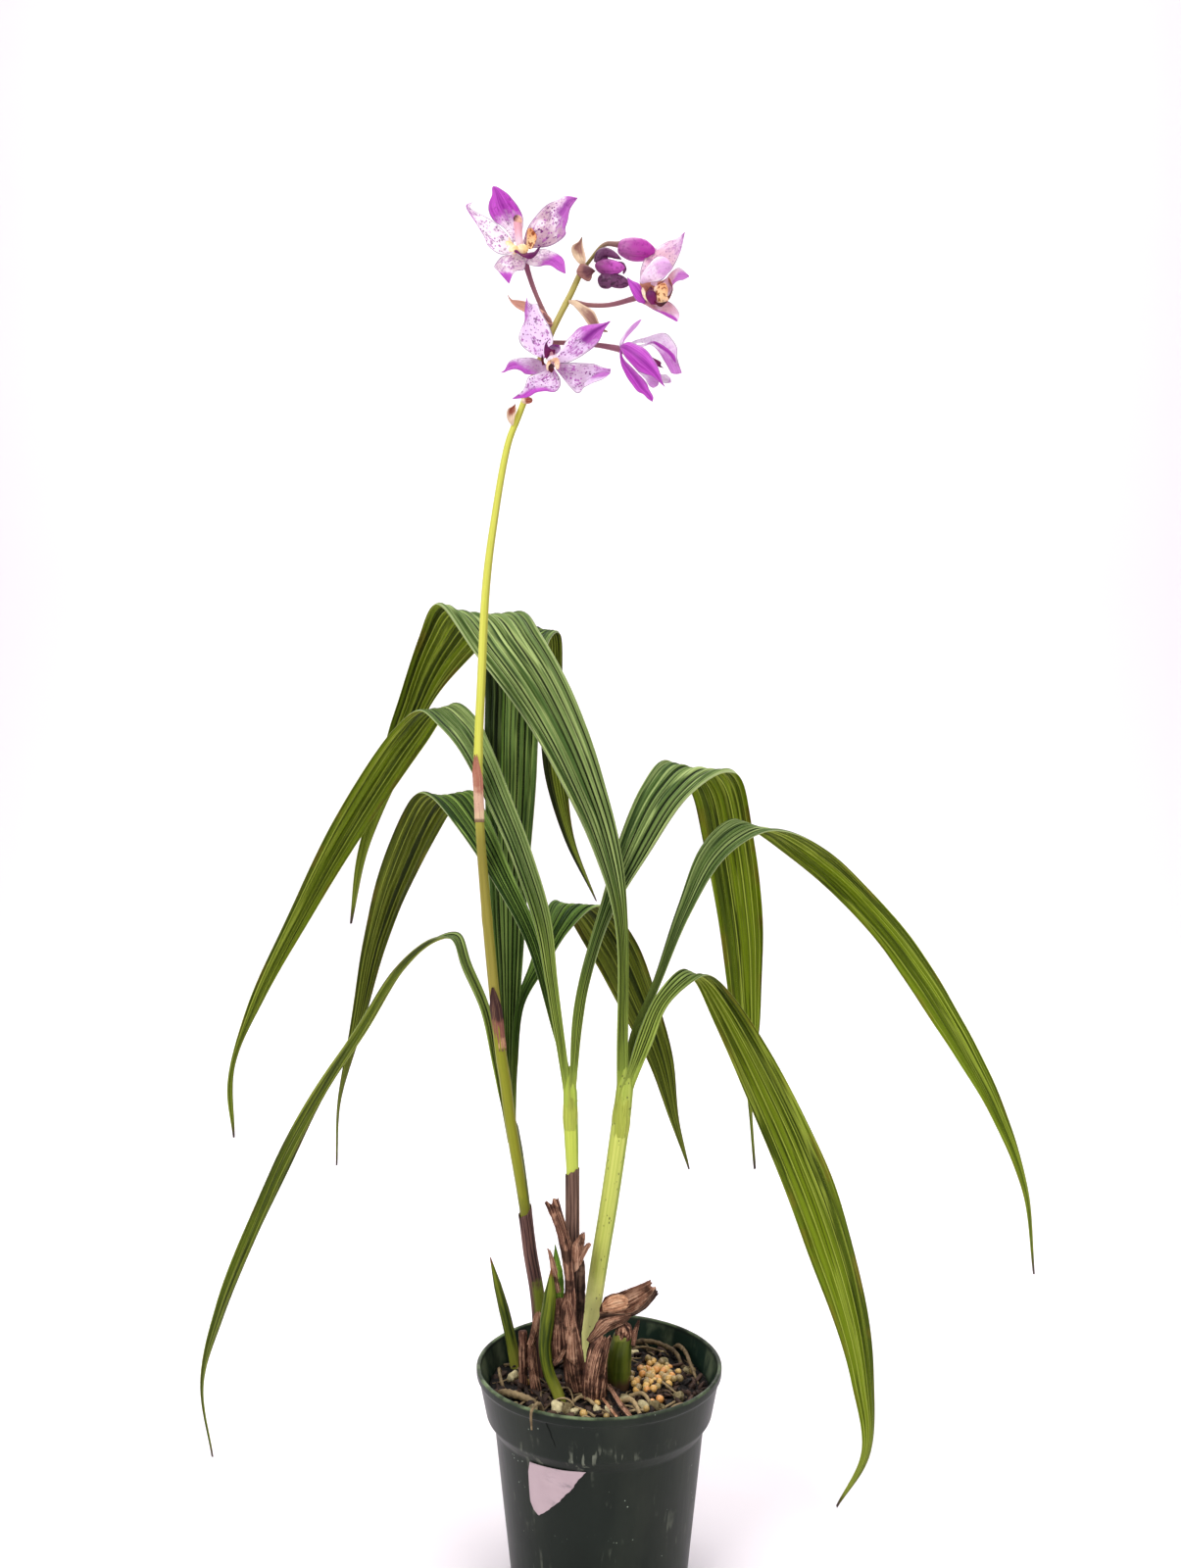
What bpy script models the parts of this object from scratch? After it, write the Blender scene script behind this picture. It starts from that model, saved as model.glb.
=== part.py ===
"""Potted ground orchid: a terrestrial orchid with three leafy fans, nine arching pleated leaves and one
flower spike, growing in a bark mix in a round nursery pot. Lists of places are in millimetres (MM turns
them into metres): X to the right, Y to the back, Z up, and the origin at the middle of the pot's base."""

import math
import random

import bmesh
import bpy
import numpy as np
from mathutils import Vector, noise

MM = 0.001
GAP = 0.3

# The pot: rim, rim band, shoulder under the band, and the tapered wall
POT_HEIGHT = 91.0
RIM_RADIUS = 52.5
BAND_BOTTOM_Z = 71.0
BAND_BOTTOM_RADIUS = 48.2
SHOULDER_Z = 66.0
WALL_TOP_RADIUS = 44.7
BASE_RADIUS = 37.5
WALL = 1.4
BASE_THICKNESS = 1.6
DRAIN_HOLES = 8
DRAIN_RADIUS = 3.2
DRAIN_RING = 29.0
POT_SIDES = 40

# The potting mix
MIX_TOP_Z = 79.5
MIX_UNEVEN = 1.6
POCKET_FLOOR_Z = 76.0
FOOT_Z = POCKET_FLOOR_Z + GAP

# Leaf blades, sepals and sheaths
LEAF_THICKNESS = 0.6
LEAF_ROWS = 15
LEAF_COLUMNS = 6
LEAF_RIBS = 3
LEAF_PLEAT = 0.05
TEPAL_ROWS = 5
TEPAL_COLUMNS = 4

for old in list(bpy.data.objects):
    bpy.data.objects.remove(old, do_unlink=True)

plant = bpy.data.collections.new("potted_ground_orchid")
cutters = bpy.data.collections.new("cutters")
for group in (plant, cutters):
    bpy.context.scene.collection.children.link(group)


def material(name, colour, roughness=0.5):
    """A plain finish in one colour."""
    finish = bpy.data.materials.new(name)
    finish.use_nodes = True
    shader = finish.node_tree.nodes["Principled BSDF"]
    shader.inputs["Base Color"].default_value = (*colour, 1)
    shader.inputs["Roughness"].default_value = roughness
    shader.inputs["Metallic"].default_value = 0
    return finish


POT_GREEN = material("pot_green", (0.035, 0.05, 0.045), 0.45)
BARK = material("bark_mix", (0.05, 0.035, 0.03), 0.9)
LEAF = material("leaf_green", (0.13, 0.24, 0.07), 0.5)
STEM = material("stem_green", (0.42, 0.5, 0.1), 0.45)
SPIKE = material("spike_olive", (0.38, 0.38, 0.06), 0.45)
BULB = material("bulb_green", (0.07, 0.11, 0.02), 0.4)
DRY = material("dry_sheath", (0.12, 0.07, 0.055), 0.8)
SHEATH = material("purple_sheath", (0.07, 0.03, 0.035), 0.6)
SHOOT = material("shoot_green", (0.2, 0.24, 0.04), 0.5)
PETAL = material("petal_magenta", (0.6, 0.24, 0.62), 0.5)
LIP = material("lip_purple", (0.1, 0.005, 0.12), 0.45)
PEDICEL = material("pedicel_purple", (0.2, 0.08, 0.12), 0.5)
BUD = material("bud_purple", (0.22, 0.04, 0.24), 0.5)
BRACT = material("bract_tan", (0.5, 0.3, 0.24), 0.6)
LABEL = material("label_paper", (0.62, 0.52, 0.62), 0.6)


def show(obj, finish):
    """Puts a finished object in the plant's collection with its material."""
    if finish is not None:
        obj.data.materials.clear()
        obj.data.materials.append(finish)
    for group in list(obj.users_collection):
        group.objects.unlink(obj)
    plant.objects.link(obj)
    return obj


def evaluated_mesh(obj):
    """A plain mesh object with obj's modifiers or curve settings worked out, which takes its place."""
    bpy.context.view_layer.update()
    graph = bpy.context.evaluated_depsgraph_get()
    mesh = bpy.data.meshes.new_from_object(obj.evaluated_get(graph), depsgraph=graph)
    mesh.transform(obj.matrix_world)
    soup = bmesh.new()
    soup.from_mesh(mesh)
    bmesh.ops.remove_doubles(soup, verts=soup.verts, dist=1e-6)
    soup.to_mesh(mesh)
    soup.free()
    name = obj.name
    bpy.data.objects.remove(obj, do_unlink=True)
    plain = bpy.data.objects.new(name, mesh)
    plant.objects.link(plain)
    return plain


def combine(body, others, operation, solver="EXACT"):
    """Joins or cuts body with the other objects, one Boolean on their collection, applied."""
    batch = bpy.data.collections.new("batch")
    bpy.context.scene.collection.children.link(batch)
    for other in others:
        for group in list(other.users_collection):
            group.objects.unlink(other)
        batch.objects.link(other)
    change = body.modifiers.new(operation.lower(), "BOOLEAN")
    change.operation = operation
    change.solver = solver
    change.operand_type = "COLLECTION"
    change.collection = batch
    if solver == "EXACT":
        change.use_self = True
    result = evaluated_mesh(body)
    for other in list(batch.objects):
        bpy.data.objects.remove(other, do_unlink=True)
    bpy.data.collections.remove(batch)
    return result


def smooth_route(points, count):
    """count places along a smooth curve through the points: cubic Hermite spans, slopes from neighbours."""
    knots = np.asarray(points, float)
    steps = np.sqrt(np.linalg.norm(np.diff(knots, axis=0), axis=1))
    at = np.concatenate([[0.0], np.cumsum(steps)])
    slopes = np.gradient(knots, at, axis=0)
    where = np.linspace(0, at[-1], count)
    span = np.clip(np.searchsorted(at, where, side="right") - 1, 0, len(at) - 2)
    width = (at[span + 1] - at[span])[:, None]
    s = (where - at[span])[:, None] / width
    start = (2 * s**3 - 3 * s**2 + 1) * knots[span] + (s**3 - 2 * s**2 + s) * width * slopes[span]
    end = (3 * s**2 - 2 * s**3) * knots[span + 1] + (s**3 - s**2) * width * slopes[span + 1]
    return start + end


def unit(rows):
    """Each row at length one."""
    return rows / np.linalg.norm(rows, axis=-1, keepdims=True)


def sheet(name, places, finish, thickness=LEAF_THICKNESS):
    """A thin wall on a grid of places (rows, columns, xyz), triangulated before it gets its thickness."""
    rows, columns = places.shape[:2]
    skin = bmesh.new()
    bmesh.ops.create_grid(skin, x_segments=columns - 1, y_segments=rows - 1, size=1.0)
    for corner in skin.verts:
        row = round((corner.co.y + 1) / 2 * (rows - 1))
        column = round((corner.co.x + 1) / 2 * (columns - 1))
        corner.co = Vector(places[row, column]) * MM
    bmesh.ops.triangulate(skin, faces=skin.faces)
    mesh = bpy.data.meshes.new(name)
    skin.to_mesh(mesh)
    skin.free()
    obj = bpy.data.objects.new(name, mesh)
    wall = obj.modifiers.new("thickness", "SOLIDIFY")
    wall.thickness = thickness * MM
    wall.offset = 0
    show(obj, finish)
    return obj


def blade_places(left, right, fold, pleat, rows, columns):
    """A leaf between its two edge routes. The middle is pushed to the under side by fold half-widths, and
    the pleats zigzag by pleat half-widths, both across the leaf's own facing direction."""
    edge_a = smooth_route(left, rows)
    edge_b = smooth_route(right, rows)
    across = edge_b - edge_a
    half = np.linalg.norm(across, axis=1)[:, None, None] / 2
    along = np.gradient((edge_a + edge_b) / 2, axis=0)
    facing = unit(np.cross(across, along))[:, None, :]
    v = np.linspace(-1, 1, columns)[None, :, None]
    zigzag = 2 * np.abs((v + 1) * LEAF_RIBS / 2 % 1 * 2 - 1) - 1
    t = np.linspace(0, 1, rows)[:, None, None]
    keel = fold * (1 - 0.75 * np.clip(t / 0.35, 0, 1))
    push = -keel * half * (1 - np.abs(v) ** 1.5) + pleat * half * np.clip(t / 0.2, 0, 1) * zigzag
    return edge_a[:, None, :] + across[:, None, :] * (v + 1) / 2 + facing * push


def clasp_places(route, radii, middle, spreads, rows, columns):
    """A sheet wrapped round an upright route: at each height an arc of the given radius, spreads degrees
    to each side of the middle compass direction (0 is +X, 90 is +Y)."""
    axis = smooth_route(route, rows)
    place = np.linspace(0, 1, rows)
    radius = np.interp(place, np.linspace(0, 1, len(radii)), radii)[:, None]
    spread = np.interp(place, np.linspace(0, 1, len(spreads)), spreads)[:, None]
    angle = np.radians(middle + spread * np.linspace(-1, 1, columns)[None, :])
    ring = np.stack([radius * np.cos(angle), radius * np.sin(angle), 0 * angle], axis=-1)
    return axis[:, None, :] + ring


def tepal_places(base, tip, facing, width, bow, cup, rows=TEPAL_ROWS, columns=TEPAL_COLUMNS):
    """A sepal or petal from base to tip: an oval outline with a narrow foot and a point, bowed along its
    length towards facing, with its sides cupped the same way."""
    base, tip = np.asarray(base, float), np.asarray(tip, float)
    run = tip - base
    side = unit(np.cross(run, np.asarray(facing, float)))
    front = unit(np.cross(side, run))
    t = np.linspace(0, 1, rows)[:, None, None]
    v = np.linspace(-1, 1, columns)[None, :, None]
    half = width / 2 * (0.24 + 0.76 * np.sin(np.pi / 2 * np.clip(t / 0.45, 0,
                                                                 1))) * (1 - t**3.2) ** 0.75
    half = np.maximum(half, 0.35)
    lift = bow * np.linalg.norm(run) * 4 * t * (1 - t) + cup * half * v**2
    return base + run * t + side * half * v + front * lift


def tube(name, route, radii, finish, sides=8, count=10):
    """A round stalk along a smooth route, its radius read off along the way."""
    places = smooth_route(route, count)
    spline_radii = np.interp(np.linspace(0, 1, count), np.linspace(0, 1, len(radii)), radii)
    curve = bpy.data.curves.new(name, "CURVE")
    curve.dimensions = "3D"
    curve.bevel_depth = MM
    curve.bevel_resolution = max(0, sides // 2 - 2)
    curve.use_fill_caps = True
    spline = curve.splines.new("POLY")
    spline.points.add(count - 1)
    for point, place, radius in zip(spline.points, places, spline_radii):
        point.co = (*(place * MM), 1)
        point.radius = float(radius)
    obj = bpy.data.objects.new(name, curve)
    obj = show(obj, finish)
    return obj


def tube_mesh(name, route, radii, finish, sides=8, count=10):
    """The same stalk as a closed mesh, for joining."""
    obj = evaluated_mesh(tube(name, route, radii, finish, sides, count))
    return show(obj, finish)


def ribbed_stub(name, route, radii, finish, ribs=7, depth=0.1, count=6):
    """A stub whose round section is fluted: the radius swells and sinks ribs times round."""
    axis = smooth_route(route, count)
    radius = np.interp(np.linspace(0, 1, count), np.linspace(0, 1, len(radii)), radii)
    sides = ribs * 2
    angle = np.arange(sides) * 2 * math.pi / sides
    flute = 1 + depth * np.cos(angle * ribs)
    body = bmesh.new()
    rings = []
    for place, size in zip(axis, radius):
        ring = [
            body.verts.new((Vector((math.cos(a), math.sin(a), 0)) * size * f + Vector(place)) * MM)
            for a, f in zip(angle, flute)
        ]
        rings.append(ring)
    for lower, upper in zip(rings, rings[1:]):
        for i in range(sides):
            j = (i + 1) % sides
            body.faces.new((lower[i], lower[j], upper[j], upper[i]))
    body.faces.new(rings[0][::-1])
    body.faces.new(rings[-1])
    bmesh.ops.triangulate(body, faces=body.faces)
    mesh = bpy.data.meshes.new(name)
    body.to_mesh(mesh)
    body.free()
    return show(bpy.data.objects.new(name, mesh), finish)


def ball(name, centre, size, finish, turn=0.0, subdivisions=2):
    """A round or oval body: an icosphere with the given half sizes, turned about Y by turn degrees."""
    body = bmesh.new()
    bmesh.ops.create_icosphere(body, subdivisions=subdivisions, radius=1.0)
    c, s = math.cos(math.radians(turn)), math.sin(math.radians(turn))
    for corner in body.verts:
        x, y, z = corner.co.x * size[0], corner.co.y * size[1], corner.co.z * size[2]
        corner.co = Vector((centre[0] + x * c + z * s, centre[1] + y, centre[2] - x * s + z * c)) * MM
    mesh = bpy.data.meshes.new(name)
    body.to_mesh(mesh)
    body.free()
    return show(bpy.data.objects.new(name, mesh), finish)


def turned(name, profile, finish, sides=POT_SIDES):
    """A solid of revolution about Z from (radius, height) points that run down the outer side."""
    mesh = bpy.data.meshes.new(name)
    corners = [(r * MM, 0, z * MM) for r, z in profile]
    mesh.from_pydata(corners, [(i, i + 1) for i in range(len(corners) - 1)], [])
    obj = bpy.data.objects.new(name, mesh)
    screw = obj.modifiers.new("turn", "SCREW")
    screw.axis = "Z"
    screw.steps = screw.render_steps = sides
    screw.use_merge_vertices = True
    screw.merge_threshold = 0.00001
    screw.use_smooth_shade = False
    return show(obj, finish)


def wall_radius(z):
    """The pot's outer radius at height z."""
    heights = (0, SHOULDER_Z, BAND_BOTTOM_Z, POT_HEIGHT)
    return float(np.interp(z, heights, (BASE_RADIUS, WALL_TOP_RADIUS, BAND_BOTTOM_RADIUS, RIM_RADIUS)))


# The nursery pot, turned from one profile, with drain holes round the edge of its base
def make_pot():
    inner_heights = (SHOULDER_Z + 0.5, BAND_BOTTOM_Z + 0.5, POT_HEIGHT - 0.4)
    inner = [(wall_radius(z) - WALL, z) for z in inner_heights]
    profile = [(0, BASE_THICKNESS), (wall_radius(BASE_THICKNESS) - WALL, BASE_THICKNESS), *inner]
    profile += [(RIM_RADIUS - WALL + 0.3, POT_HEIGHT), (RIM_RADIUS - 0.3, POT_HEIGHT)]
    profile += [(RIM_RADIUS, POT_HEIGHT - 0.5), (BAND_BOTTOM_RADIUS, BAND_BOTTOM_Z)]
    profile += [(WALL_TOP_RADIUS, SHOULDER_Z), (BASE_RADIUS + 0.1, 0.8), (BASE_RADIUS - 0.8, 0), (0, 0)]
    pot = turned("pot", profile, POT_GREEN)
    holes = bmesh.new()
    for i in range(DRAIN_HOLES):
        size = DRAIN_RADIUS * MM
        made = bmesh.ops.create_cone(holes, cap_ends=True, segments=12, radius1=size, radius2=size,
                                     depth=0.01)
        angle = (i + 0.5) * 2 * math.pi / DRAIN_HOLES
        shift = Vector((math.cos(angle), math.sin(angle), 0)) * DRAIN_RING * MM
        bmesh.ops.translate(holes, verts=made["verts"], vec=shift)
    mesh = bpy.data.meshes.new("drain_holes")
    holes.to_mesh(mesh)
    holes.free()
    drill = bpy.data.objects.new("drain_holes", mesh)
    drill.hide_render = True
    drill.display_type = "WIRE"
    cutters.objects.link(drill)
    cut = pot.modifiers.new("drain", "BOOLEAN")
    cut.operation = "DIFFERENCE"
    cut.solver = "EXACT"
    cut.object = drill


# Where each stem, sheath, shoot and stub stands: middle X, Y and its radius in the mix
FEET = {
    "stem_right": (-5.0, 12.0, 3.7),
    "sheath_middle": (-10.5, -4.0, 4.0),
    "sheath_left": (-25.7, 11.0, 3.1),
    "shoot_left": (-36.4, 17.8, 2.5),
    "shoot_front": (-16.4, -15.2, 2.8),
    "stub_left": (-32.4, -1.2, 1.9),
    "stub_small": (-26.3, -3.2, 1.7),
    "stub_ribbed": (-0.6, -14.2, 4.3),
    "pseudobulb": (8.2, 0.0, 4.7),
}

# The bark mix: an uneven top, prills, lumps, chips and roots joined to it, and a pocket for each foot
def make_potting_mix():
    random.seed(7)
    bottom = BASE_THICKNESS + GAP
    heights = (MIX_TOP_Z - 1, BAND_BOTTOM_Z + 0.5, SHOULDER_Z + 0.5, bottom)
    outer = [(wall_radius(z) - WALL - GAP - 0.05, z) for z in heights]
    rings = [(r, MIX_TOP_Z) for r in (0, 11, 20, 28, 36, 44)]
    profile = rings + outer + [(0, bottom)]
    mix = evaluated_mesh(turned("potting_mix", profile, BARK))
    for corner in mix.data.vertices:
        if corner.co.z > (MIX_TOP_Z - 0.2) * MM:
            spot = Vector((corner.co.x, corner.co.y, 0)) * 160
            edge = min(1.0, max(0.0, (46 * MM - corner.co.xy.length) / (10 * MM)))
            corner.co.z += (noise.noise(spot) * MIX_UNEVEN + 0.6 * edge) * MM
    bits = []
    # Amber and tan feed prills in a loose heap to the right of the bulb
    for _ in range(12):
        x, y = random.gauss(22, 5), random.gauss(7, 9)
        bits.append(ball("bit", (x, y, MIX_TOP_Z + 1.1), (1.5, 1.5, 1.5), BARK, subdivisions=1))
    # Beige lumps of pumice along the front and at the left
    lumps = ((-16, -37, 2.2), (-11.5, -38.5, 1.9), (15, -34, 2.4), (20, -36, 2.2), (8, -38, 1.8),
             (-33, -12, 1.9), (-40, -16, 2.0), (2, -40, 1.6), (34, -22, 1.7), (30, 22, 1.8))
    for x, y, size in lumps:
        shape = (size * 1.2, size, size * 0.8)
        bits.append(ball("bit", (x, y, MIX_TOP_Z + 0.6), shape, BARK, random.uniform(0, 90), 1))
    # Bark chips lying at all angles
    for _ in range(13):
        reach, angle = random.uniform(19, 42), random.uniform(0, 2 * math.pi)
        spot = (reach * math.cos(angle), reach * math.sin(angle), MIX_TOP_Z + 0.2)
        shape = (random.uniform(2.2, 3.8), random.uniform(1.2, 2.2), 1.3)
        bits.append(ball("bit", spot, shape, BARK, random.uniform(-35, 35), 1))
    # Roots that arch out of the mix, and one that hangs over the rim
    roots = (
        ((14, 14, 77), (17, 13, 83), (23, 12, 85.5), (29, 10, 85), (34, 6, 82), (36, 2, 77)),
        ((28.4, 34.4, 77), (32, 33.4, 81), (37, 22, 84), (39.5, 10, 83), (42, 3, 78)),
        ((-20, -33, 77), (-22.3, -39.5, 86), (-24, -42.6, 92.3), (-25.6, -45.4, 93.2),
         (-27, -47.9, 91.8), (-26.9, -47.7, 84.6)),
        ((-40, -4, 77), (-41, -6, 82), (-38, -12, 83), (-34, -18, 77)),
    )
    for route in roots:
        bits.append(tube_mesh("bit", route, (1.0, 0.9, 0.7), BARK, 6, 8))
    mix = combine(mix, bits, "UNION")
    pockets = []
    for x, y, radius in FEET.values():
        made = bmesh.new()
        reach = (radius + GAP + 0.3) * MM
        bmesh.ops.create_cone(made, cap_ends=True, segments=14, radius1=reach, radius2=reach, depth=0.02)
        bmesh.ops.translate(made, verts=made.verts, vec=Vector((x, y, POCKET_FLOOR_Z + 10)) * MM)
        mesh = bpy.data.meshes.new("pocket")
        made.to_mesh(mesh)
        made.free()
        pocket = bpy.data.objects.new("pocket", mesh)
        plant.objects.link(pocket)
        pockets.append(pocket)
    show(combine(mix, pockets, "DIFFERENCE"), BARK)


def foot(name):
    """A stem's first two places, on the floor of its pocket and straight above it where it leaves the mix."""
    x, y, _ = FEET[name]
    return (x, y, FOOT_Z), (x, y, MIX_TOP_Z + 2.4)


# The three leafy fans: pale stems above, purple-brown sheaths round the lower part of two of them
def make_stems():
    right = (*foot("stem_right"), (-4.9, 11.6, 93), (-3, 11, 108), (0, 12, 128), (4.8, 13, 157),
             (10.6, 14, 198), (12.4, 14, 212.6))
    tube("stem_right", right, (3.6, 3.6, 3.7, 4.0, 3.8, 3.8, 4.7), STEM, 10, 12)
    middle = (*foot("sheath_middle"), (-10.7, -2.8, 88), (-11.4, 1, 115), (-11.5, 4, 142), (-11.6, 6, 170.4))
    tube("sheath_middle", middle, (4.0, 3.6, 3.3, 2.9, 2.8), SHEATH, 8, 9)
    middle_top = ((-11.6, 6, 170.8), (-12.4, 7, 194), (-12.5, 8, 213.2))
    tube("stem_middle", middle_top, (2.6, 3.1, 3.6), STEM, 8, 6)
    left = (*foot("sheath_left"), (-26.2, 14, 101), (-27.3, 16, 114), (-30.5, 19, 131), (-32.7, 21, 148.2))
    tube("sheath_left", left, (3.1, 3.0, 3.2, 3.0, 2.8), SHEATH, 8, 8)
    left_top = ((-32.8, 21.1, 148.7), (-35.5, 23, 166), (-38.3, 24.6, 182), (-40.2, 26, 191.5))
    tube("stem_left", left_top, (2.2, 2.6, 2.9, 3.5), STEM, 8, 6)


# Each leaf: its left and right edge route from the stem, over the crest to the hanging tip
LEAVES = {
    "leaf_right_tall": (
        ((8.2, 12, 213.8), (7.5, 17, 276), (-1.5, 21, 307.5), (-13.5, 26, 333.5), (-34.5, 38, 369.5),
         (-57, 52, 399.5), (-78, 70, 425.5), (-90, 92, 412), (-103, 104, 376), (-113.5, 110, 342),
         (-123, 108, 302), (-126, 104, 268)),
        ((12.4, 12.4, 213.6), (13, 20, 278), (10.5, 26, 308), (1.5, 33, 345), (-12.5, 44, 383),
         (-27, 56, 410.5), (-36.5, 74, 422), (-61.5, 104, 408), (-85.5, 122, 383), (-103.5, 124, 345),
         (-117.5, 115, 308), (-125, 105, 268)), 0.5),
    "leaf_right_far": (
        ((11.8, 17.4, 213.5), (13.6, 19.2, 227), (23.5, 24, 249), (35.5, 34, 282.5), (47, 48, 309),
         (63, 66, 322), (74, 80, 318.5), (93, 98, 305), (119, 110, 284), (146, 116, 254.5),
         (173.5, 116, 215), (202.5, 112, 166), (217, 108, 131), (221, 104, 90)),
        ((14.6, 16.8, 213.1), (17.2, 18.3, 226), (27, 23, 248), (40.5, 30, 278.5), (56.5, 42, 303),
         (76, 60, 315), (91, 75, 317), (114.5, 98, 306.5), (141, 118, 284), (170.5, 128, 249.5),
         (196.5, 130, 207), (216, 122, 157.5), (221.5, 112, 129.5), (222.3, 105, 89.5)), 0.5),
    "leaf_right_low": (
        ((13.4, 10.6, 213.2), (18, 11.6, 229), (25, 18, 245), (36.5, 30, 255), (45, 48, 247),
         (54, 58, 228), (66.5, 64, 199.5), (82, 65, 162), (97.5, 60, 121), (109, 56, 90),
         (118.5, 52, 58), (122.5, 47, 29), (110, 44, 5)),
        ((16.2, 12, 212.8), (23, 11.4, 225), (30.5, 16, 241), (42.5, 24, 251), (52, 40, 251),
         (64.5, 54, 238), (82.5, 64, 210.5), (102, 70, 173.5), (116.5, 70, 137.5), (126, 64, 100),
         (130, 57, 61), (127, 50, 25.5), (110.3, 43, 4.4)), 0.6),
    "leaf_middle_long": (
        ((-15.4, 6.4, 213.9), (-22, 9, 253.5), (-28, 11, 276.5), (-38.5, 16, 306), (-49, 22, 328.5),
         (-62, 32, 353), (-74, 44, 366), (-86, 60, 374), (-101, 76, 365), (-131.5, 92, 321.5),
         (-159, 98, 268), (-177, 96, 224), (-184.5, 90, 189), (-180.5, 86, 164)),
        ((-12.8, 7.2, 213.9), (-19, 11, 253), (-21, 14, 280.5), (-29.5, 20, 308.5), (-40.5, 28, 336.5),
         (-49.5, 38, 358), (-56.5, 50, 369.5), (-69, 68, 377.5), (-86, 86, 358.5), (-118.5, 104, 314.5),
         (-147, 110, 271.5), (-169.5, 106, 230), (-182, 95, 197.5), (-179.8, 87, 164)), 0.5),
    "leaf_middle_low": (
        ((-15.2, 10, 213.9), (-19.5, 12, 227), (-32, 17, 268), (-45.5, 22, 292.5), (-62.5, 32, 317),
         (-79, 48, 333.5), (-89, 64, 333.5), (-104, 78, 305.5), (-117, 88, 261), (-123.5, 90, 217),
         (-129, 86, 181), (-128.5, 80, 152)),
        ((-12.8, 10.6, 213.9), (-16.7, 12.4, 226.5), (-27.5, 18, 270.5), (-38.5, 26, 298.5),
         (-50.5, 38, 324.5), (-59.5, 54, 336), (-71.5, 74, 326.5), (-91.2, 92, 292.5), (-107, 98, 258),
         (-118.5, 96, 215), (-128, 90, 181), (-127.8, 81, 152)), 0.5),
    "leaf_middle_right": (
        ((-11.8, 6.2, 213.9), (-8, 16, 253.5), (-1, 25, 279.6), (10.2, 37, 316.6), (20.2, 48, 338.3),
         (31.3, 62, 351), (45, 80, 336), (53, 92, 307), (61.5, 96, 259.5), (67.5, 94, 221),
         (73.5, 90, 187.5), (77, 86, 148.5)),
        ((-9.8, 7, 213.9), (-4, 15, 251.5), (5.6, 23, 279.9), (22.8, 33, 307.1), (41, 43, 332.4),
         (60.4, 60, 345.5), (71.5, 86, 340), (79.5, 100, 305), (83.5, 104, 264), (82, 101, 220),
         (77, 94, 187.5), (78.3, 87, 148.5)), 0.5),
    "leaf_left_narrow": (
        ((-43.4, 25, 191.8), (-49.5, 26, 213), (-55.5, 28, 238), (-61.5, 32, 256.5), (-67.5, 40, 268),
         (-78, 48, 267), (-97, 58, 251), (-117, 65, 222), (-137.5, 73, 191), (-157.5, 81, 158),
         (-175.5, 86, 126), (-190, 90, 81), (-198.5, 92, 40.5), (-192.5, 91, 3.8)),
        ((-42, 27.8, 191.6), (-47, 30, 211.5), (-52.5, 34, 236.5), (-58, 41, 256), (-64.5, 51, 269.5),
         (-77, 60, 266), (-94, 69, 249), (-113.5, 77, 218.5), (-136, 88, 183), (-157, 95, 143),
         (-173, 98, 108.5), (-189, 98, 70), (-197.5, 95, 38.5), (-191.8, 92, 3.2)), 0.9),
    "leaf_left_tall": (
        ((-41, 28.6, 191.7), (-43.5, 30, 213.5), (-47, 34, 256.5), (-50.5, 40, 294), (-52, 48, 339),
         (-47.5, 60, 378.5), (-39, 74, 406.5), (-30.5, 90, 417), (-30, 106, 389), (-27.5, 112, 344),
         (-17.5, 112, 311.5), (-1, 108, 279)),
        ((-38.8, 29.2, 192), (-39.2, 31, 212), (-37, 36, 256), (-32, 42, 298.5), (-29, 50, 339),
         (-27.5, 62, 376.5), (-24, 78, 408.5), (-19, 96, 415), (-18, 112, 387), (-16, 117, 339),
         (-12, 115, 311), (-0.4, 109, 279)), 0.6),
    "leaf_left_short": (
        ((-38.2, 25.8, 192.6), (-39.2, 28, 213), (-37.5, 33, 240), (-31.5, 40, 257), (-26, 50, 275),
         (-22.5, 64, 283.5), (-16.5, 78, 277), (-4.5, 88, 256), (11, 92, 227), (25, 90, 200),
         (36, 86, 171.5), (44.4, 82, 149.5)),
        ((-37.2, 27.6, 192.6), (-36.4, 28.6, 212), (-33.5, 33, 239), (-23.5, 38, 256), (-14, 46, 270.5),
         (-2, 62, 280.5), (8.5, 78, 276), (19.5, 90, 260), (30, 97, 230.5), (37.5, 95, 201.5),
         (40.5, 89, 171.5), (45.2, 83, 149.5)), 0.5),
}


def make_leaves():
    for name, (left, right, fold) in LEAVES.items():
        places = blade_places(left, right, fold, LEAF_PLEAT, LEAF_ROWS + 1, LEAF_COLUMNS + 1)
        sheet(name, places, LEAF)


# The flower spike's stalk and the two sheathing bracts that clasp it
SPIKE_ROUTE = ((-41.4, 22.4, 192.6), (-43.2, 22, 214), (-47.2, 22, 251.5), (-51.2, 22, 295),
               (-53.1, 22, 321.5), (-53.8, 22.5, 352), (-52.6, 23, 383), (-50.5, 24, 427),
               (-47.4, 24, 453), (-40.4, 23, 491.6), (-36, 22.5, 503), (-19.8, 22, 541),
               (-10.3, 22, 559.2), (-4.9, 22, 570.8))
SPIKE_RADII = (2.4, 2.4, 2.3, 2.1, 2.0, 2.0, 1.9, 1.8, 1.6, 1.5, 1.4, 1.4, 1.3)


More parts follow.
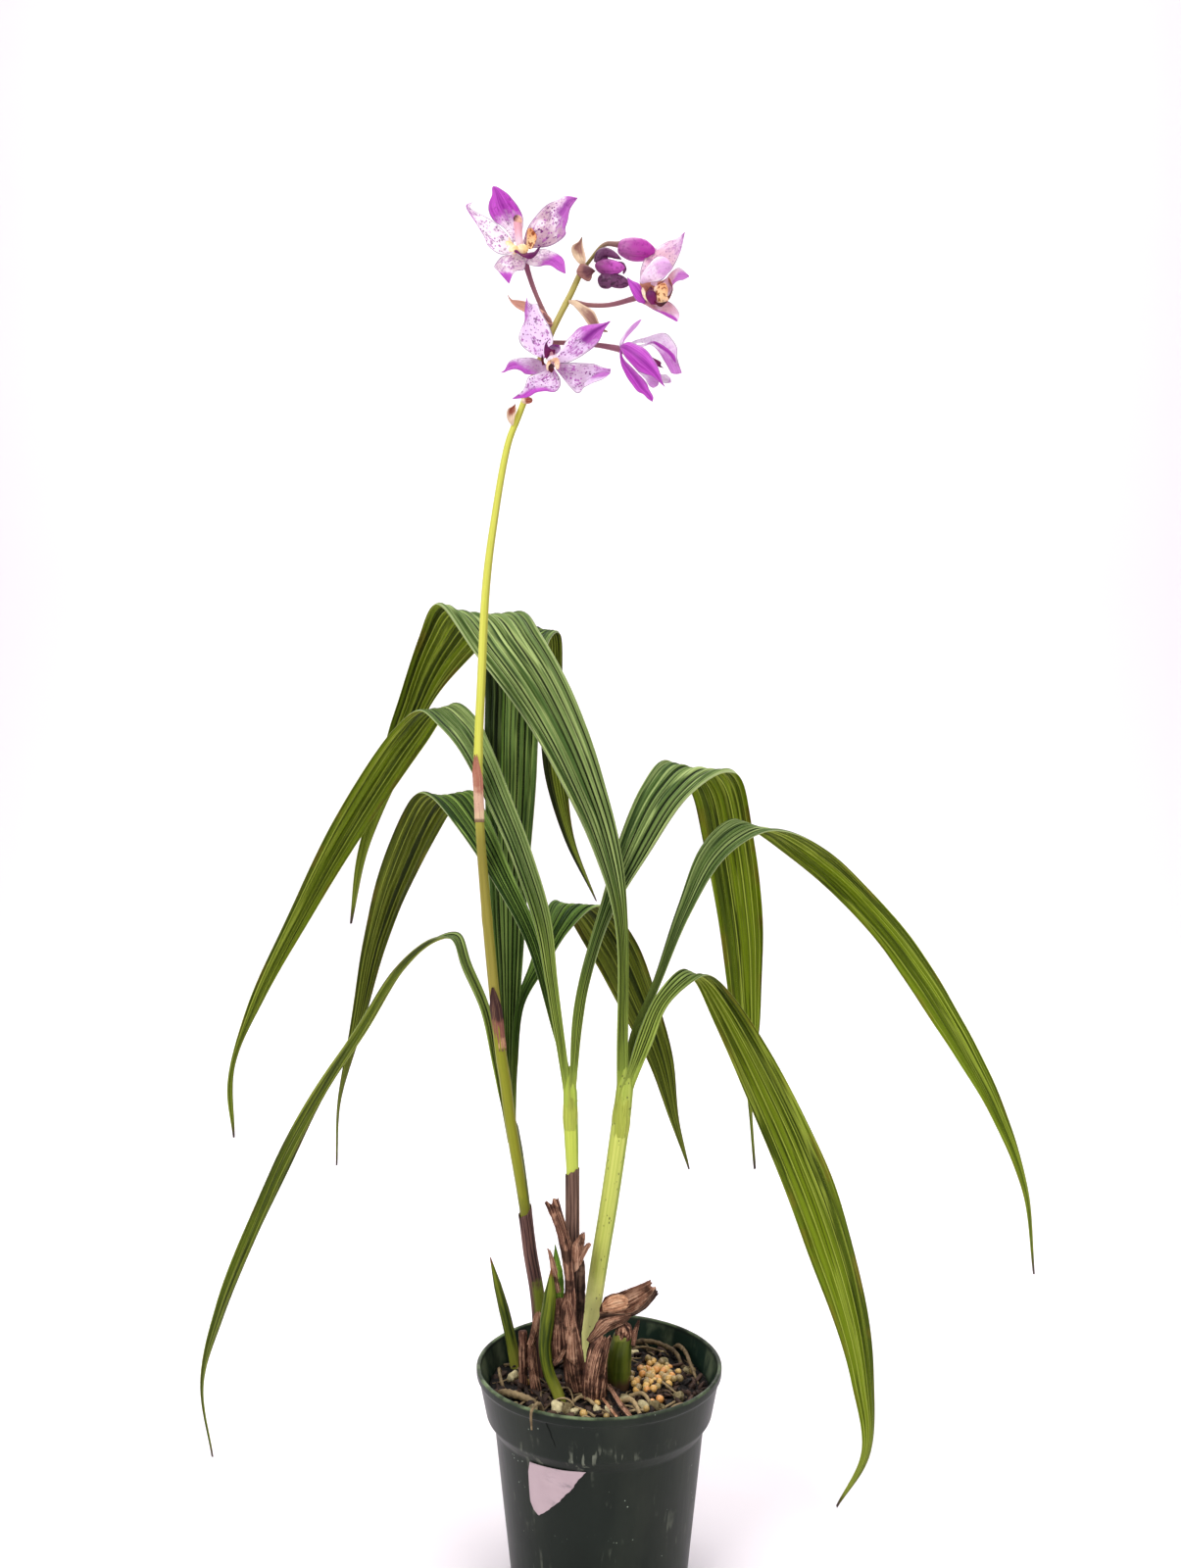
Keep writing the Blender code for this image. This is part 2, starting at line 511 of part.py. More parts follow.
def make_spike():
    tube("flower_spike", SPIKE_ROUTE, SPIKE_RADII, SPIKE, 8, 22)
    upper = ((-53.1, 22, 324), (-53.6, 22.2, 338), (-53.8, 22.5, 353))
    sheet("sheath_bract_upper", clasp_places(upper, (2.8, 2.8, 2.8), -110, (95, 85, 20), 5, 6), BRACT)
    lower = ((-43.8, 22, 220), (-45.3, 22, 234), (-46.8, 22, 248.5))
    sheet("sheath_bract_lower", clasp_places(lower, (3.3, 3.3, 3.1), -90, (100, 85, 18), 5, 6), SHEATH)


# Blooms: five sepals and petals round a small hub with the column, a lip in front, and a stalk behind.
# A tepal is (tip, facing, width, bow), a lobe of the lip is (foot, tip, facing, width).
BLOOMS = {
    "1": dict(
        hub=(-33.2, 17, 573.8),
        column=((-34.2, 13.8, 578), (-34.9, 11.6, 585.6)),
        tepals=(
            ((-46.4, 16, 603.2), (0, -1, 0.1), 13.5, 0.03),
            ((-9.8, 17, 599.2), (0, -1, -0.1), 14, 0.03),
            ((-57.8, 18, 592.8), (0, -1, 0), 13.5, 0.04),
            ((-42, 9, 558.6), (-0.2, -0.8, 0.5), 13.5, 0.06),
            ((-15.1, 14, 564.2), (0.2, -0.9, 0.5), 9.5, 0.05),
        ),
        callus=((-32.6, 11.8, 572.7), (1.8, 2.6, 1.6)),
        lobes=(
            ((-32.8, 12, 572.6), (-37.8, 10.4, 574.4), (0, -0.9, 0.5), 3.6),
            ((-32.6, 12, 572.6), (-25.8, 10.4, 576.8), (0, -0.9, 0.5), 3.8),
            ((-32, 12.4, 573.2), (-29.6, 11.4, 582.4), (-0.6, -0.8, 0), 3.6),
        ),
        stalk=((-32.8, 18.6, 572.2), (-32, 19.6, 568.6), (-28.8, 20.4, 559.4), (-20.3, 21.7, 545)),
    ),
    "2": dict(
        hub=(-20.7, 13, 523.4),
        column=((-20.8, 10.8, 525.4), (-20.6, 9.2, 527.6)),
        tepals=(
            ((-31.8, 11, 552.4), (0, -1, 0.1), 15.5, 0.03),
            ((5.1, 14, 543), (0, -1, 0), 13, 0.05),
            ((-43.1, 13, 519.8), (0, -0.7, 0.7), 9, 0.05),
            ((-36.8, 7, 507), (0.1, -0.9, 0.4), 12.5, 0.05),
            ((4.9, 12, 519.6), (0, -0.9, 0.3), 12, 0.06),
        ),
        callus=((-21, 8, 521.6), (2.8, 2.9, 2.8)),
        lobes=(
            ((-21, 7, 521.8), (-22.8, 4.4, 531), (0.4, -0.8, 0), 4),
            ((-20.4, 7, 521.8), (-17.6, 4.6, 529.8), (-0.4, -0.8, 0), 4),
        ),
        stalk=((-22, 14.6, 522.2), (-24.6, 17.2, 520.5), (-27.5, 20.4, 519.5)),
    ),
    "3": dict(
        hub=(24.2, 19.6, 559),
        column=((24.6, 16.4, 561.6), (26.4, 13.6, 563.4)),
        tepals=(
            ((38, 21, 584.8), (-0.3, -1, 0.1), 15, 0.1),
            ((20.4, 8.6, 570.6), (0.5, -0.7, 0.5), 11, 0.08),
            ((40.3, 23, 566.2), (0, -0.8, 0.5), 9, 0.05),
            ((13.2, 16, 563.8), (-0.5, -0.8, 0.2), 8, 0.08),
            ((34.6, 16, 543.6), (0.2, -0.9, 0.2), 8, 0.06),
        ),
        callus=((25.6, 14.4, 556.4), (2.2, 2.8, 2.6)),
        lobes=(
            ((25.8, 13.6, 556), (31.6, 10.4, 557.4), (-0.2, -0.8, 0.4), 5),
            ((25.6, 13.6, 556), (29.8, 9.6, 550.6), (0.3, -0.8, 0.2), 4.6),
        ),
        stalk=((22, 21, 557.6), (14.8, 21.8, 555.4), (4, 22, 552.8), (-6, 22, 553), (-10.6, 22, 554.2)),
    ),
    "4": dict(
        hub=(12.4, 20.6, 531.8),
        column=((17, 21.4, 529.8), (21.6, 22, 527.2)),
        tepals=(
            ((28.2, 11, 513.8), (-0.4, -0.9, 0.2), 9.5, 0.06),
            ((23.4, 16, 508.6), (-0.7, -0.7, 0), 9, 0.07),
            ((18.9, 15, 544.2), (-0.5, -0.9, 0), 4.5, 0.04),
            ((36, 27, 524.6), (0, -0.6, 0.8), 10, 0.16),
            ((30.6, 30, 518), (0.2, 0.9, 0.2), 9, 0.06),
        ),
        callus=((22.2, 19.8, 524.1), (1.8, 1.8, 1.8)),
        lobes=(
            ((22.4, 19.8, 524), (29.2, 19.4, 525.2), (0, -0.9, 0.3), 3.6),
            ((22.4, 19.6, 523.8), (28.6, 18.6, 520.4), (0.2, -0.8, 0.2), 3.4),
        ),
        stalk=((9.9, 20.8, 532.6), (2, 21.2, 534.3), (-10, 21.6, 535.7), (-19.6, 22, 536.2)),
    ),
}


def make_blooms():
    for number, bloom in BLOOMS.items():
        hub = np.asarray(bloom["hub"], float)
        core = ball(f"bloom_{number}_tepals", hub, (2.0, 2.0, 2.0), PETAL, subdivisions=1)
        parts = [tube_mesh("column", (hub, *bloom["column"]), (1.3, 1.2, 1.5), PETAL, 6, 4)]
        for tip, facing, width, bow in bloom["tepals"]:
            start = hub + unit(np.subtract(tip, hub)) * 0.7
            places = tepal_places(start, tip, facing, width, bow, 0.12)
            parts.append(evaluated_mesh(sheet("tepal", places, PETAL)))
        show(combine(core, parts, "UNION"), PETAL)
        lip = ball(f"bloom_{number}_lip", *bloom["callus"], LIP)
        outlines = [tepal_places(*lobe, 0.1, 0.2, 4, 4) for lobe in bloom["lobes"]]
        lobes = [evaluated_mesh(sheet("lobe", places, LIP)) for places in outlines]
        show(combine(lip, lobes, "UNION"), LIP)
        tube(f"bloom_{number}_stalk", bloom["stalk"], (1.1, 0.9, 0.8, 0.8), PEDICEL, 6, 6)


# The unopened buds at the head of the spike
def make_buds():
    ball("bud_large", (16.4, 22, 577.6), (8.2, 5.0, 5.2), BUD, 14)
    tube("bud_stalk", ((8.0, 22, 579.9), (3.0, 22, 579.4), (-1.6, 22, 576.4), (-4.6, 22, 571.3)),
         (1.1, 0.9, 0.8), PEDICEL, 6, 6)
    places = (((4.2, 19.0, 568.2), (4.8, 3.6, 3.8), 5), ((2.4, 18.6, 572.6), (4.6, 2.6, 3.0), -8),
              ((8.8, 19.6, 568.8), (3.2, 3.0, 3.4), 0), ((3.0, 18.6, 563.4), (3.8, 3.2, 3.4), 0),
              ((8.8, 19.2, 564.2), (4.0, 3.0, 3.2), 20), ((-0.9, 19.4, 568.0), (3.0, 2.4, 3.4), 30))
    first, *rest = [ball("bud_cluster", centre, size, BUD, turn, 1 if i else 2)
                    for i, (centre, size, turn) in enumerate(places)]
    show(combine(first, rest, "UNION"), BUD)


# The papery floral bracts, one at each flower stalk's foot
BRACTS = {
    "bract_top": ((-7.2, 20.5, 570.9), (-8.2, 19.6, 583.6), (-0.3, -1, 0), 6.2),
    "bract_brown": ((-8.4, 20.2, 561.0), (-4.8, 19.2, 571.6), (0, -1, 0), 5.2),
    "bract_low": ((-12.2, 20.2, 552.6), (-1.2, 17.4, 542.6), (0.2, -1, 0.1), 5.0),
    "bract_left": ((-21.5, 20.6, 541.2), (-40.8, 19.0, 556.4), (0, -0.9, 0.4), 6.0),
    "bract_small": ((-37.2, 20.4, 497.6), (-40.2, 19.4, 507.4), (-0.2, -1, 0), 3.6),
}


def make_bracts():
    for name, (base, tip, facing, width) in BRACTS.items():
        sheet(name, tepal_places(base, tip, facing, width, 0.08, 0.5), BRACT)


# Round the foot of the plant: young shoots, old dry sheaths and stubs, and the green pseudobulb
def make_base():
    left = (*foot("shoot_left"), (-38.3, 19, 89), (-41, 21, 99), (-44.2, 23, 112), (-48.6, 24, 127))
    tube("shoot_left", left, (2.5, 2.5, 2.4, 1.9, 0.4), SHOOT, 8, 8)
    front = (*foot("shoot_front"), (-20.4, -13, 91), (-22.4, -10.4, 103), (-21.6, -8.6, 118.8),
             (-20.4, -7, 132), (-18.8, -4.4, 142))
    tube("shoot_front", front, (2.8, 2.5, 2.7, 2.4, 1.8, 0.4), SHOOT, 8, 9)
    short = (*foot("stub_left"), (-32.6, -0.4, 92.5), (-32.7, 0.8, 103.4))
    ribbed_stub("stub_left", short, (1.9, 1.9, 1.8), DRY, 5)
    small = (*foot("stub_small"), (-27.6, -1.2, 88), (-28.5, 1.6, 98), (-27.4, 3, 105))
    ribbed_stub("stub_small", small, (1.7, 1.6, 1.5, 1.4), DRY, 5)
    wide = (*foot("stub_ribbed"), (-0.2, -12.2, 93), (0.6, -10.6, 105))
    ribbed_stub("stub_ribbed", wide, (3.95, 3.8, 3.4), DRY, 7)
    bulb = (*foot("pseudobulb"), (8.4, 0, 86), (8.6, 0.2, 91), (9.8, 0.6, 98), (10.6, 1, 101.6))
    ribbed_stub("pseudobulb", bulb, (4.4, 5.1, 5.4, 4.8, 3.8), BULB, 7, 0.015, 7)
    cap_route = ((10.7, 1.1, 102.0), (10.7, 1.1, 103.0), (10.4, 1.4, 104.6), (9.4, 1.8, 106.2))
    cap = tube_mesh("bulb_collar", cap_route, (4.1, 4.0, 3.7, 2.4), DRY, 8, 5)
    spur_route = ((11.8, 1.8, 103.4), (14.2, 2.4, 105.4), (15.4, 2.8, 108.2))
    spur = tube_mesh("spur", spur_route, (1.0, 0.8, 0.4), DRY, 6, 4)
    show(combine(cap, [spur], "UNION"), DRY)
    tall_left = ((-15.6, -10.4, 80.6), (-14.6, -8.6, 96), (-14.8, -6.6, 108), (-16, -4.6, 120),
                 (-18, -3, 132), (-21.6, -1.6, 147), (-23.6, -0.6, 160))
    tall_right = ((-6.8, -9.8, 80.9), (-7.4, -8.8, 96), (-8.6, -7, 108), (-10.6, -5.2, 120),
                  (-13.4, -3.6, 132), (-17, -2.2, 147), (-19.2, -1.2, 161.4))
    sheet("dry_sheath_tall", blade_places(tall_left, tall_right, -0.45, 0.08, 11, 6), DRY, 0.8)
    folded_low = ((1.4, 1.4, 80.9), (1.6, 1.0, 95), (3.8, 1.4, 105), (9, 2.2, 109.4), (16, 4, 112),
                  (25, 8, 116))
    folded_high = ((-4.0, 5.2, 80.9), (-4.0, 5.4, 97), (-0.6, 4, 110), (7.6, 4, 117.6),
                   (15.4, 5.6, 120.2), (23, 9, 122.6))
    sheet("dry_sheath_folded", blade_places(folded_low, folded_high, 0.7, 0.06, 10, 7), DRY, 0.8)
    strip = tepal_places((-8.6, -1.5, 121.4), (-5.8, 0.6, 146), (0.3, -1, 0), 3.8, 0.03, 0.2, 6, 4)
    sheet("dry_strip", strip, DRY)


# The torn blank label: a bent plate lying 0.3 mm off the pot's wall
def make_label():
    outline_left = ((-28.2, 65.0), (-28.7, 55.0), (-27.4, 45.4))
    outline_right = ((-5.6, 65.4), (-13.4, 55.6), (-25.0, 43.8))
    rows, columns = 6, 6
    t = np.linspace(0, 1, rows)
    knots = np.linspace(0, 1, 3)
    x_left, z_left = (np.interp(t, knots, [p[i] for p in outline_left]) for i in (0, 1))
    x_right, z_right = (np.interp(t, knots, [p[i] for p in outline_right]) for i in (0, 1))
    s = np.linspace(0, 1, columns)[None, :]
    x = x_left[:, None] * (1 - s) + x_right[:, None] * s
    z = z_left[:, None] * (1 - s) + z_right[:, None] * s
    stand_off = GAP + 0.4
    radius = np.interp(z, (0, SHOULDER_Z), (BASE_RADIUS, WALL_TOP_RADIUS)) + stand_off
    y = -np.sqrt(radius**2 - x**2)
    sheet("blank_label", np.stack([x, y, z], axis=-1), LABEL, 0.5)


make_pot()
make_potting_mix()
make_stems()
make_leaves()
make_spike()
make_blooms()
make_buds()
make_bracts()
make_base()
make_label()
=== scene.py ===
"""A potted ground orchid in a dark-green nursery pot, dressed round its solids: pleated leaves, spotted
flowers, papery sheaths and a loose bark mix. Places are in millimetres: X right, Y back, Z up."""

import math

import bpy
import numpy as np
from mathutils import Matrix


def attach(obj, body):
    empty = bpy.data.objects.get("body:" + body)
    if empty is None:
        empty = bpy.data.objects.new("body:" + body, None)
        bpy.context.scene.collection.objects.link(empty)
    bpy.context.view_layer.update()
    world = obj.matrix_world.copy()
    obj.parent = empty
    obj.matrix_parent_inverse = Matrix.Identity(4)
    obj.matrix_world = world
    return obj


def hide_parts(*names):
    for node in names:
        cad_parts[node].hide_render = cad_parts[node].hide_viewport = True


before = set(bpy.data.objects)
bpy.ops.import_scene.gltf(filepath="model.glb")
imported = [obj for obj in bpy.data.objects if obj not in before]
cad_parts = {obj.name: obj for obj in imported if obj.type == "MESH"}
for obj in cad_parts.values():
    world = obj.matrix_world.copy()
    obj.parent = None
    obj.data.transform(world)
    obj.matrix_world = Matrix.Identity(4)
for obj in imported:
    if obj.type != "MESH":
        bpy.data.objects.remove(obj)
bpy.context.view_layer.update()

# The nursery pot: thin dark-green plastic, blown in one piece with a rolled rim, a plain band and a
# shoulder under it. It is dusty and scuffed, with a hairline split in the band and eight drain holes.
MM = 0.001
RIM_RADIUS, POT_HEIGHT = 52.5, 91.0
POT_WALL = 1.4
BASE_RADIUS, SHOULDER_RADIUS, BAND_RADIUS = 37.5, 44.7, 48.2
SHOULDER_Z, BAND_Z = 66.0, 71.0
DRAIN_HOLES, DRAIN_RING, DRAIN_RADIUS = 8, 29.0, 3.2


def smooth_route(points, count):
    """count places along a smooth curve through the points: cubic Hermite spans whose slopes come from
    the neighbouring points, spaced by the square root of each span's length."""
    knots = np.asarray(points, float)
    steps = np.sqrt(np.linalg.norm(np.diff(knots, axis=0), axis=1))
    at = np.concatenate([[0.0], np.cumsum(steps)])
    slopes = np.gradient(knots, at, axis=0)
    where = np.linspace(0, at[-1], count)
    span = np.clip(np.searchsorted(at, where, side="right") - 1, 0, len(at) - 2)
    width = (at[span + 1] - at[span])[:, None]
    s = (where - at[span])[:, None] / width
    start = (2 * s**3 - 3 * s**2 + 1) * knots[span] + (s**3 - 2 * s**2 + s) * width * slopes[span]
    end = (3 * s**2 - 2 * s**3) * knots[span + 1] + (s**3 - s**2) * width * slopes[span + 1]
    return start + end


def unit(rows):
    """Each row divided by its length."""
    return rows / np.maximum(np.linalg.norm(rows, axis=-1, keepdims=True), 1e-12)


def ramp(count):
    """A column of count numbers that go evenly from 0 to 1."""
    return np.linspace(0, 1, count)[:, None]


def ripple(places, size, seed, waves=7):
    """A smooth uneven value from -1 to 1: the mean of sine waves that run in random directions, with
    wavelengths of about size millimetres."""
    draw = np.random.default_rng(seed)
    ways = unit(draw.normal(size=(waves, 3))) * draw.uniform(0.6, 1.7, (waves, 1))
    phase = draw.uniform(0, 2 * math.pi, waves)
    return np.sin(np.asarray(places) @ ways.T * (2 * math.pi / size) + phase).mean(-1) * 1.6


def grid_skin(points, across=None, along=None, around=False, loop=False, caps="", **marks):
    """A surface on a grid of points (rows, columns, xyz). Each face joins two neighbours of one row to
    those of the next, across the seam too where around or loop says so. caps closes the first and last
    row: fan to a middle point, or strip from one side of a flat loop to the other. across and along are
    the pattern coordinates of the columns and rows, and marks are values at the points."""
    rows, columns = points.shape[:2]
    across = np.linspace(0, 1, columns + around) if across is None else np.asarray(across, float)
    along = np.linspace(0, 1, rows + loop) if along is None else np.asarray(along, float)
    i, j = np.meshgrid(np.arange(rows - 1 + loop), np.arange(columns - 1 + around), indexing="ij")
    i, j = i.ravel(), j.ravel()
    up, side = (i + 1) % rows, (j + 1) % columns
    faces = np.stack([i * columns + j, i * columns + side, up * columns + side, up * columns + j], 1)
    u = np.stack([across[j], across[j + 1], across[j + 1], across[j]], 1)
    v = np.stack([along[i], along[i], along[i + 1], along[i + 1]], 1)
    places = points.reshape(-1, 3)
    corners, patterns = faces.tolist(), [np.stack([u, v], -1).reshape(-1, 2)]
    values = {key: np.broadcast_to(value, (rows, columns)).ravel() for key, value in marks.items()}
    for row, flip in ((0, True), (rows - 1, False)):
        ring = row * columns + np.arange(columns)
        if caps == "fan":
            middle = len(places)
            places = np.vstack([places, points[row].mean(0)])
            values = {key: np.append(value, value[ring].mean()) for key, value in values.items()}
            pairs = zip(ring, np.roll(ring, -1))
            corners += [[b, a, middle] if flip else [a, b, middle] for a, b in pairs]
            patterns.append(np.full((columns * 3, 2), (0.5, along[row])))
        if caps == "strip":
            half = columns // 2
            quads = [[ring[k], ring[k + 1], ring[-2 - k], ring[-1 - k]] for k in range(half - 1)]
            corners += [quad[::-1] if flip else quad for quad in quads]
            patterns.append(np.full(((half - 1) * 4, 2), (0.5, along[row])))
    return dict(places=places, corners=corners, pattern=np.vstack(patterns), marks=values)


def tube_skin(route, radii, sides=12, count=20, flute=None, reference=(0, 1, 0), **marks):
    """A closed round body: at each of count places along the route a ring lies across the path, its
    radius read off along the way and multiplied by flute(angle, share of the way)."""
    axis = smooth_route(route, count)
    share = np.linspace(0, 1, count)
    radius = np.interp(share, np.linspace(0, 1, len(radii)), radii)[:, None]
    ahead = unit(np.gradient(axis, axis=0))
    first = unit(np.asarray(reference, float) - (ahead @ np.asarray(reference, float))[:, None] * ahead)
    second = np.cross(ahead, first)
    angle = np.arange(sides) / sides * 2 * math.pi
    if flute is not None:
        radius = radius * flute(angle[None, :], share[:, None])
    ring = first[:, None, :] * np.cos(angle)[:, None] + second[:, None, :] * np.sin(angle)[:, None]
    return grid_skin(axis[:, None, :] + ring * (radius * np.ones(sides))[..., None],
                     around=True, caps="fan", **marks)


def lay(name, skins, finish, slot, *nodes):
    """Makes one piece of the closed skins, in metres, and hides the solids that it stands for."""
    places = np.vstack([skin["places"] for skin in skins]) * MM
    corners, shift = [], 0
    for skin in skins:
        corners += [[corner + shift for corner in face] for face in skin["corners"]]
        shift += len(skin["places"])
    mesh = bpy.data.meshes.new(name)
    mesh.from_pydata(places.tolist(), [], corners)
    pattern = np.vstack([skin["pattern"] for skin in skins]).astype(np.float32)
    mesh.uv_layers.new(name="pattern").data.foreach_set("uv", pattern.ravel())
    for mark in skins[0]["marks"]:
        values = np.concatenate([skin["marks"][mark] for skin in skins]).astype(np.float32)
        mesh.attributes.new(mark, "FLOAT", "POINT").data.foreach_set("value", values)
    mesh.polygons.foreach_set("use_smooth", np.ones(len(mesh.polygons), bool))
    mesh.materials.append(finish)
    piece = bpy.data.objects.new(name, mesh)
    bpy.context.scene.collection.objects.link(piece)
    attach(piece, "root")
    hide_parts(*nodes)
    return piece


def tone(red, green, blue):
    """The screen colour (0 to 1) as the linear colour that a shader takes."""
    screen = np.array([red, green, blue])
    linear = np.where(screen <= 0.04045, screen / 12.92, ((screen + 0.055) / 1.055) ** 2.4)
    return (*linear.tolist(), 1.0)


class Value:
    """What a shader node puts out. Sums, differences, products and quotients of it are Math nodes."""

    def __init__(self, tree, socket):
        self.tree = tree
        self.socket = socket

    def __add__(self, other):
        return calc("ADD", self, other)

    def __sub__(self, other):
        return calc("SUBTRACT", self, other)

    def __rsub__(self, other):
        return calc("SUBTRACT", other, self)

    def __mul__(self, other):
        return calc("MULTIPLY", self, other)

    def __truediv__(self, other):
        return calc("DIVIDE", self, other)

    def __abs__(self):
        return calc("ABSOLUTE", self)


def put(tree, kind, inputs, out=0, **settings):
    """Adds a shader node whose inputs are set to numbers or linked to other nodes' outputs."""
    node = tree.nodes.new("ShaderNode" + kind)
    for key, value in settings.items():
        setattr(node, key, value)
    for key, value in inputs.items():
        if isinstance(value, Value):
            tree.links.new(value.socket, node.inputs[key])
        else:
            node.inputs[key].default_value = value
    return Value(tree, node.outputs[out])


def calc(operation, *values):
    """One arithmetic step on shader values and numbers."""
    tree = next(value.tree for value in values if isinstance(value, Value))
    return put(tree, "Math", dict(enumerate(values)), operation=operation)


def blend(share, a, b):
    """Colour a turning into colour b as share goes from 0 to 1. Each is a value or a screen colour."""
    a, b = (colour if isinstance(colour, Value) else tone(*colour) for colour in (a, b))
    return put(share.tree, "Mix", {0: share, 6: a, 7: b}, 2, data_type="RGBA")


def slope(value, low, high, start=0.0, end=1.0):
    """start where value is under low, end where it is over high, and a smooth step between."""
    inputs = dict(enumerate((value, low, high, start, end)))
    return put(value.tree, "MapRange", inputs, interpolation_type="SMOOTHSTEP")


def cloud(place, scale, detail=3.0, roughness=0.55):
    """Soft noise between 0 and 1."""
    inputs = {"Vector": place, "Scale": scale, "Detail": detail, "Roughness": roughness}
    return put(place.tree, "TexNoise", inputs)


def scatter(place, scale):
    """The distance to the nearest of many points scattered in space, in units of their spacing."""
    return put(place.tree, "TexVoronoi", {"Vector": place, "Scale": scale})


def stretch(place, x, y, z):
    """The place multiplied by x, y and z, so that a pattern on it runs long or short."""
    return put(place.tree, "Mapping", {0: place, 3: (x, y, z)})


def part(place, k):
    """One of the place's three coordinates."""
    return put(place.tree, "SeparateXYZ", {0: place}, k)


def effect(name, inputs, build):
    """A node group that several finishes share. Its inputs have the given names and first values, and
    build works out its one output from them."""
    tree = bpy.data.node_groups.new(name, "ShaderNodeTree")
    for title, first in inputs.items():
        kind = "NodeSocketVector" if isinstance(first, tuple) else "NodeSocketFloat"
        tree.interface.new_socket(title, in_out="INPUT", socket_type=kind).default_value = first
    tree.interface.new_socket("Value", in_out="OUTPUT", socket_type="NodeSocketFloat")
    given = tree.nodes.new("NodeGroupInput").outputs
    result = build(*(Value(tree, given[title]) for title in inputs))
    tree.links.new(result.socket, tree.nodes.new("NodeGroupOutput").inputs["Value"])
    return tree


def use(group, *values):
    """Places an effect with its own values."""
    tree = next(value.tree for value in values if isinstance(value, Value))
    return put(tree, "Group", dict(enumerate(values)), node_tree=group)


def grow_specks(place, scale, far, near):
    """Round specks with soft edges, far to near from their middles in units of their spacing."""
    return slope(scatter(place, scale), far, near)


SPECKS = effect("specks", {"Place": (0, 0, 0), "Scale": 500, "Far": 0.2, "Near": 0.1}, grow_specks)


class Finish:
    """A new material with a roughness and a share of surface shine. here is the place in metres, pattern
    the piece's own pattern coordinates and mark one of the values laid on its mesh."""

    def __init__(self, name, roughness=0.5, shine=0.2):
        self.material = bpy.data.materials.new(name)
        self.material.use_nodes = True
        self.tree = self.material.node_tree
        self.set("Roughness", roughness)
        self.set("Specular IOR Level", shine)
        self.pattern, self.here = (put(self.tree, "TexCoord", {}, k) for k in (2, 3))

    def mark(self, name):
        return put(self.tree, "Attribute", {}, 2, attribute_name=name)

    def marks(self, *names):
        return [self.mark(name) for name in names]

    def input(self, socket):
        return self.tree.nodes["Principled BSDF"].inputs[socket]

    def set(self, socket, number):
        self.input(socket).default_value = number

    def feed(self, socket, value):
        self.tree.links.new(value.socket, self.input(socket))

    def done(self, colour, height=None, depth=0.0):
        """Feeds the colour, and a relief of the given height and depth in metres, to the shader."""
        self.feed("Base Color", colour)
        if height is not None:
            relief = {"Height": height, "Distance": depth, "Strength": 1.0}
            self.feed("Normal", put(self.tree, "Bump", relief))
        return self.material


def pot_plastic():
    """Dark grey-green plastic: cloudy dust, pale scuffs low on the band and shoulder, fine scratches, a
    light line of wear round the rim with a painted highlight that brightens it on the left, and darker,
    dirt-splashed plastic inside."""
    finish = Finish("pot_plastic", 0.42, 0.12)
    here = finish.here
    x, y, z = (part(here, k) for k in range(3))
    body = blend(cloud(here, 38.0), (0.07, 0.09, 0.075), (0.115, 0.145, 0.12))
    dusty = slope(cloud(stretch(here, 1, 1, 0.35), 24.0, 5.0), 0.45, 0.78, 0.0, 0.3)
    body = blend(dusty, body, (0.26, 0.28, 0.23))
    scratch = cloud(stretch(here, 1, 1, 0.08), 420.0, 2.0)
    patches = slope(cloud(here, 55.0, 4.0), 0.55, 0.7)
    low_band = slope(z, 0.06, 0.072) * slope(z, 0.082, 0.074)
    scuffs = slope(scratch, 0.56, 0.64) * patches
    scuffs = scuffs * (low_band * 0.3 + 0.18)
    body = blend(scuffs, body, (0.55, 0.57, 0.5))
    speck = use(SPECKS, here, 520.0, 0.16, 0.1) * slope(cloud(here, 90.0), 0.6, 0.68)
    body = blend(speck * 0.6, body, (0.72, 0.78, 0.7))
    reach = calc("SQRT", x * x + y * y)
    rim = slope(z, 0.0899, 0.0908) * slope(reach, 0.0502, 0.051)
    # The rim line is real wear, made brighter on the left side as a painted highlight from the light on
    # that side.
    wear_and_highlight = slope(cloud(here, 110.0, 4.0), 0.42, 0.66, 0.15, 0.9)
    wear_and_highlight = wear_and_highlight * slope(x, 0.03, -0.035, 0.45, 1.0)
    body = blend(rim * wear_and_highlight, body, (0.46, 0.53, 0.38))
    wall = z * 0.2 + 0.0333
    inside = slope(wall - reach, -0.0002, 0.0004) * (slope(z, 0.0905, 0.0885) * slope(z, 0.07, 0.072))
    splashed = slope(cloud(stretch(here, 1, 1, 0.5), 70.0, 4.0), 0.5, 0.68)
    within = blend(splashed, (0.1, 0.16, 0.13), (0.34, 0.38, 0.3))
    body = blend(inside, body, within)
    finish.feed("Roughness", dusty * 0.4 + 0.36 + scuffs * 0.2)
    return finish.done(body, scratch + cloud(here, 130.0, 2.0), 0.00006)


def eased(profile, reach, steps=5):
    """The profile with each corner replaced by a quadratic curve that starts and ends reach from it."""
    corners = np.asarray(profile, float)
    t = ramp(steps)
    rounded = [corners[:1]]
    for before, corner, after in zip(corners, corners[1:], corners[2:]):
        spans = np.linalg.norm(before - corner), np.linalg.norm(after - corner)
        start = corner + (before - corner) * min(reach, spans[0] * 0.45) / spans[0]
        end = corner + (after - corner) * min(reach, spans[1] * 0.45) / spans[1]
        rounded.append((1 - t) ** 2 * start + 2 * t * (1 - t) * corner + t**2 * end)
    return np.vstack([*rounded, corners[-1:]])


def turned_skin(profile, sides, wobble=0.0):
    """The profile (radius, height) turned round Z; wobble pushes the radius in and out a little."""
    angle = np.arange(sides) / sides * 2 * math.pi
    radius, height = profile[:, :1], profile[:, 1:]
    radius = radius + wobble * np.sin(2 * angle + 0.7) * np.clip(height / POT_HEIGHT, 0, 1)
    ring = [radius * np.cos(angle), radius * np.sin(angle), height * np.ones(sides)]
    return grid_skin(np.stack(ring, -1), around=True, caps="fan")


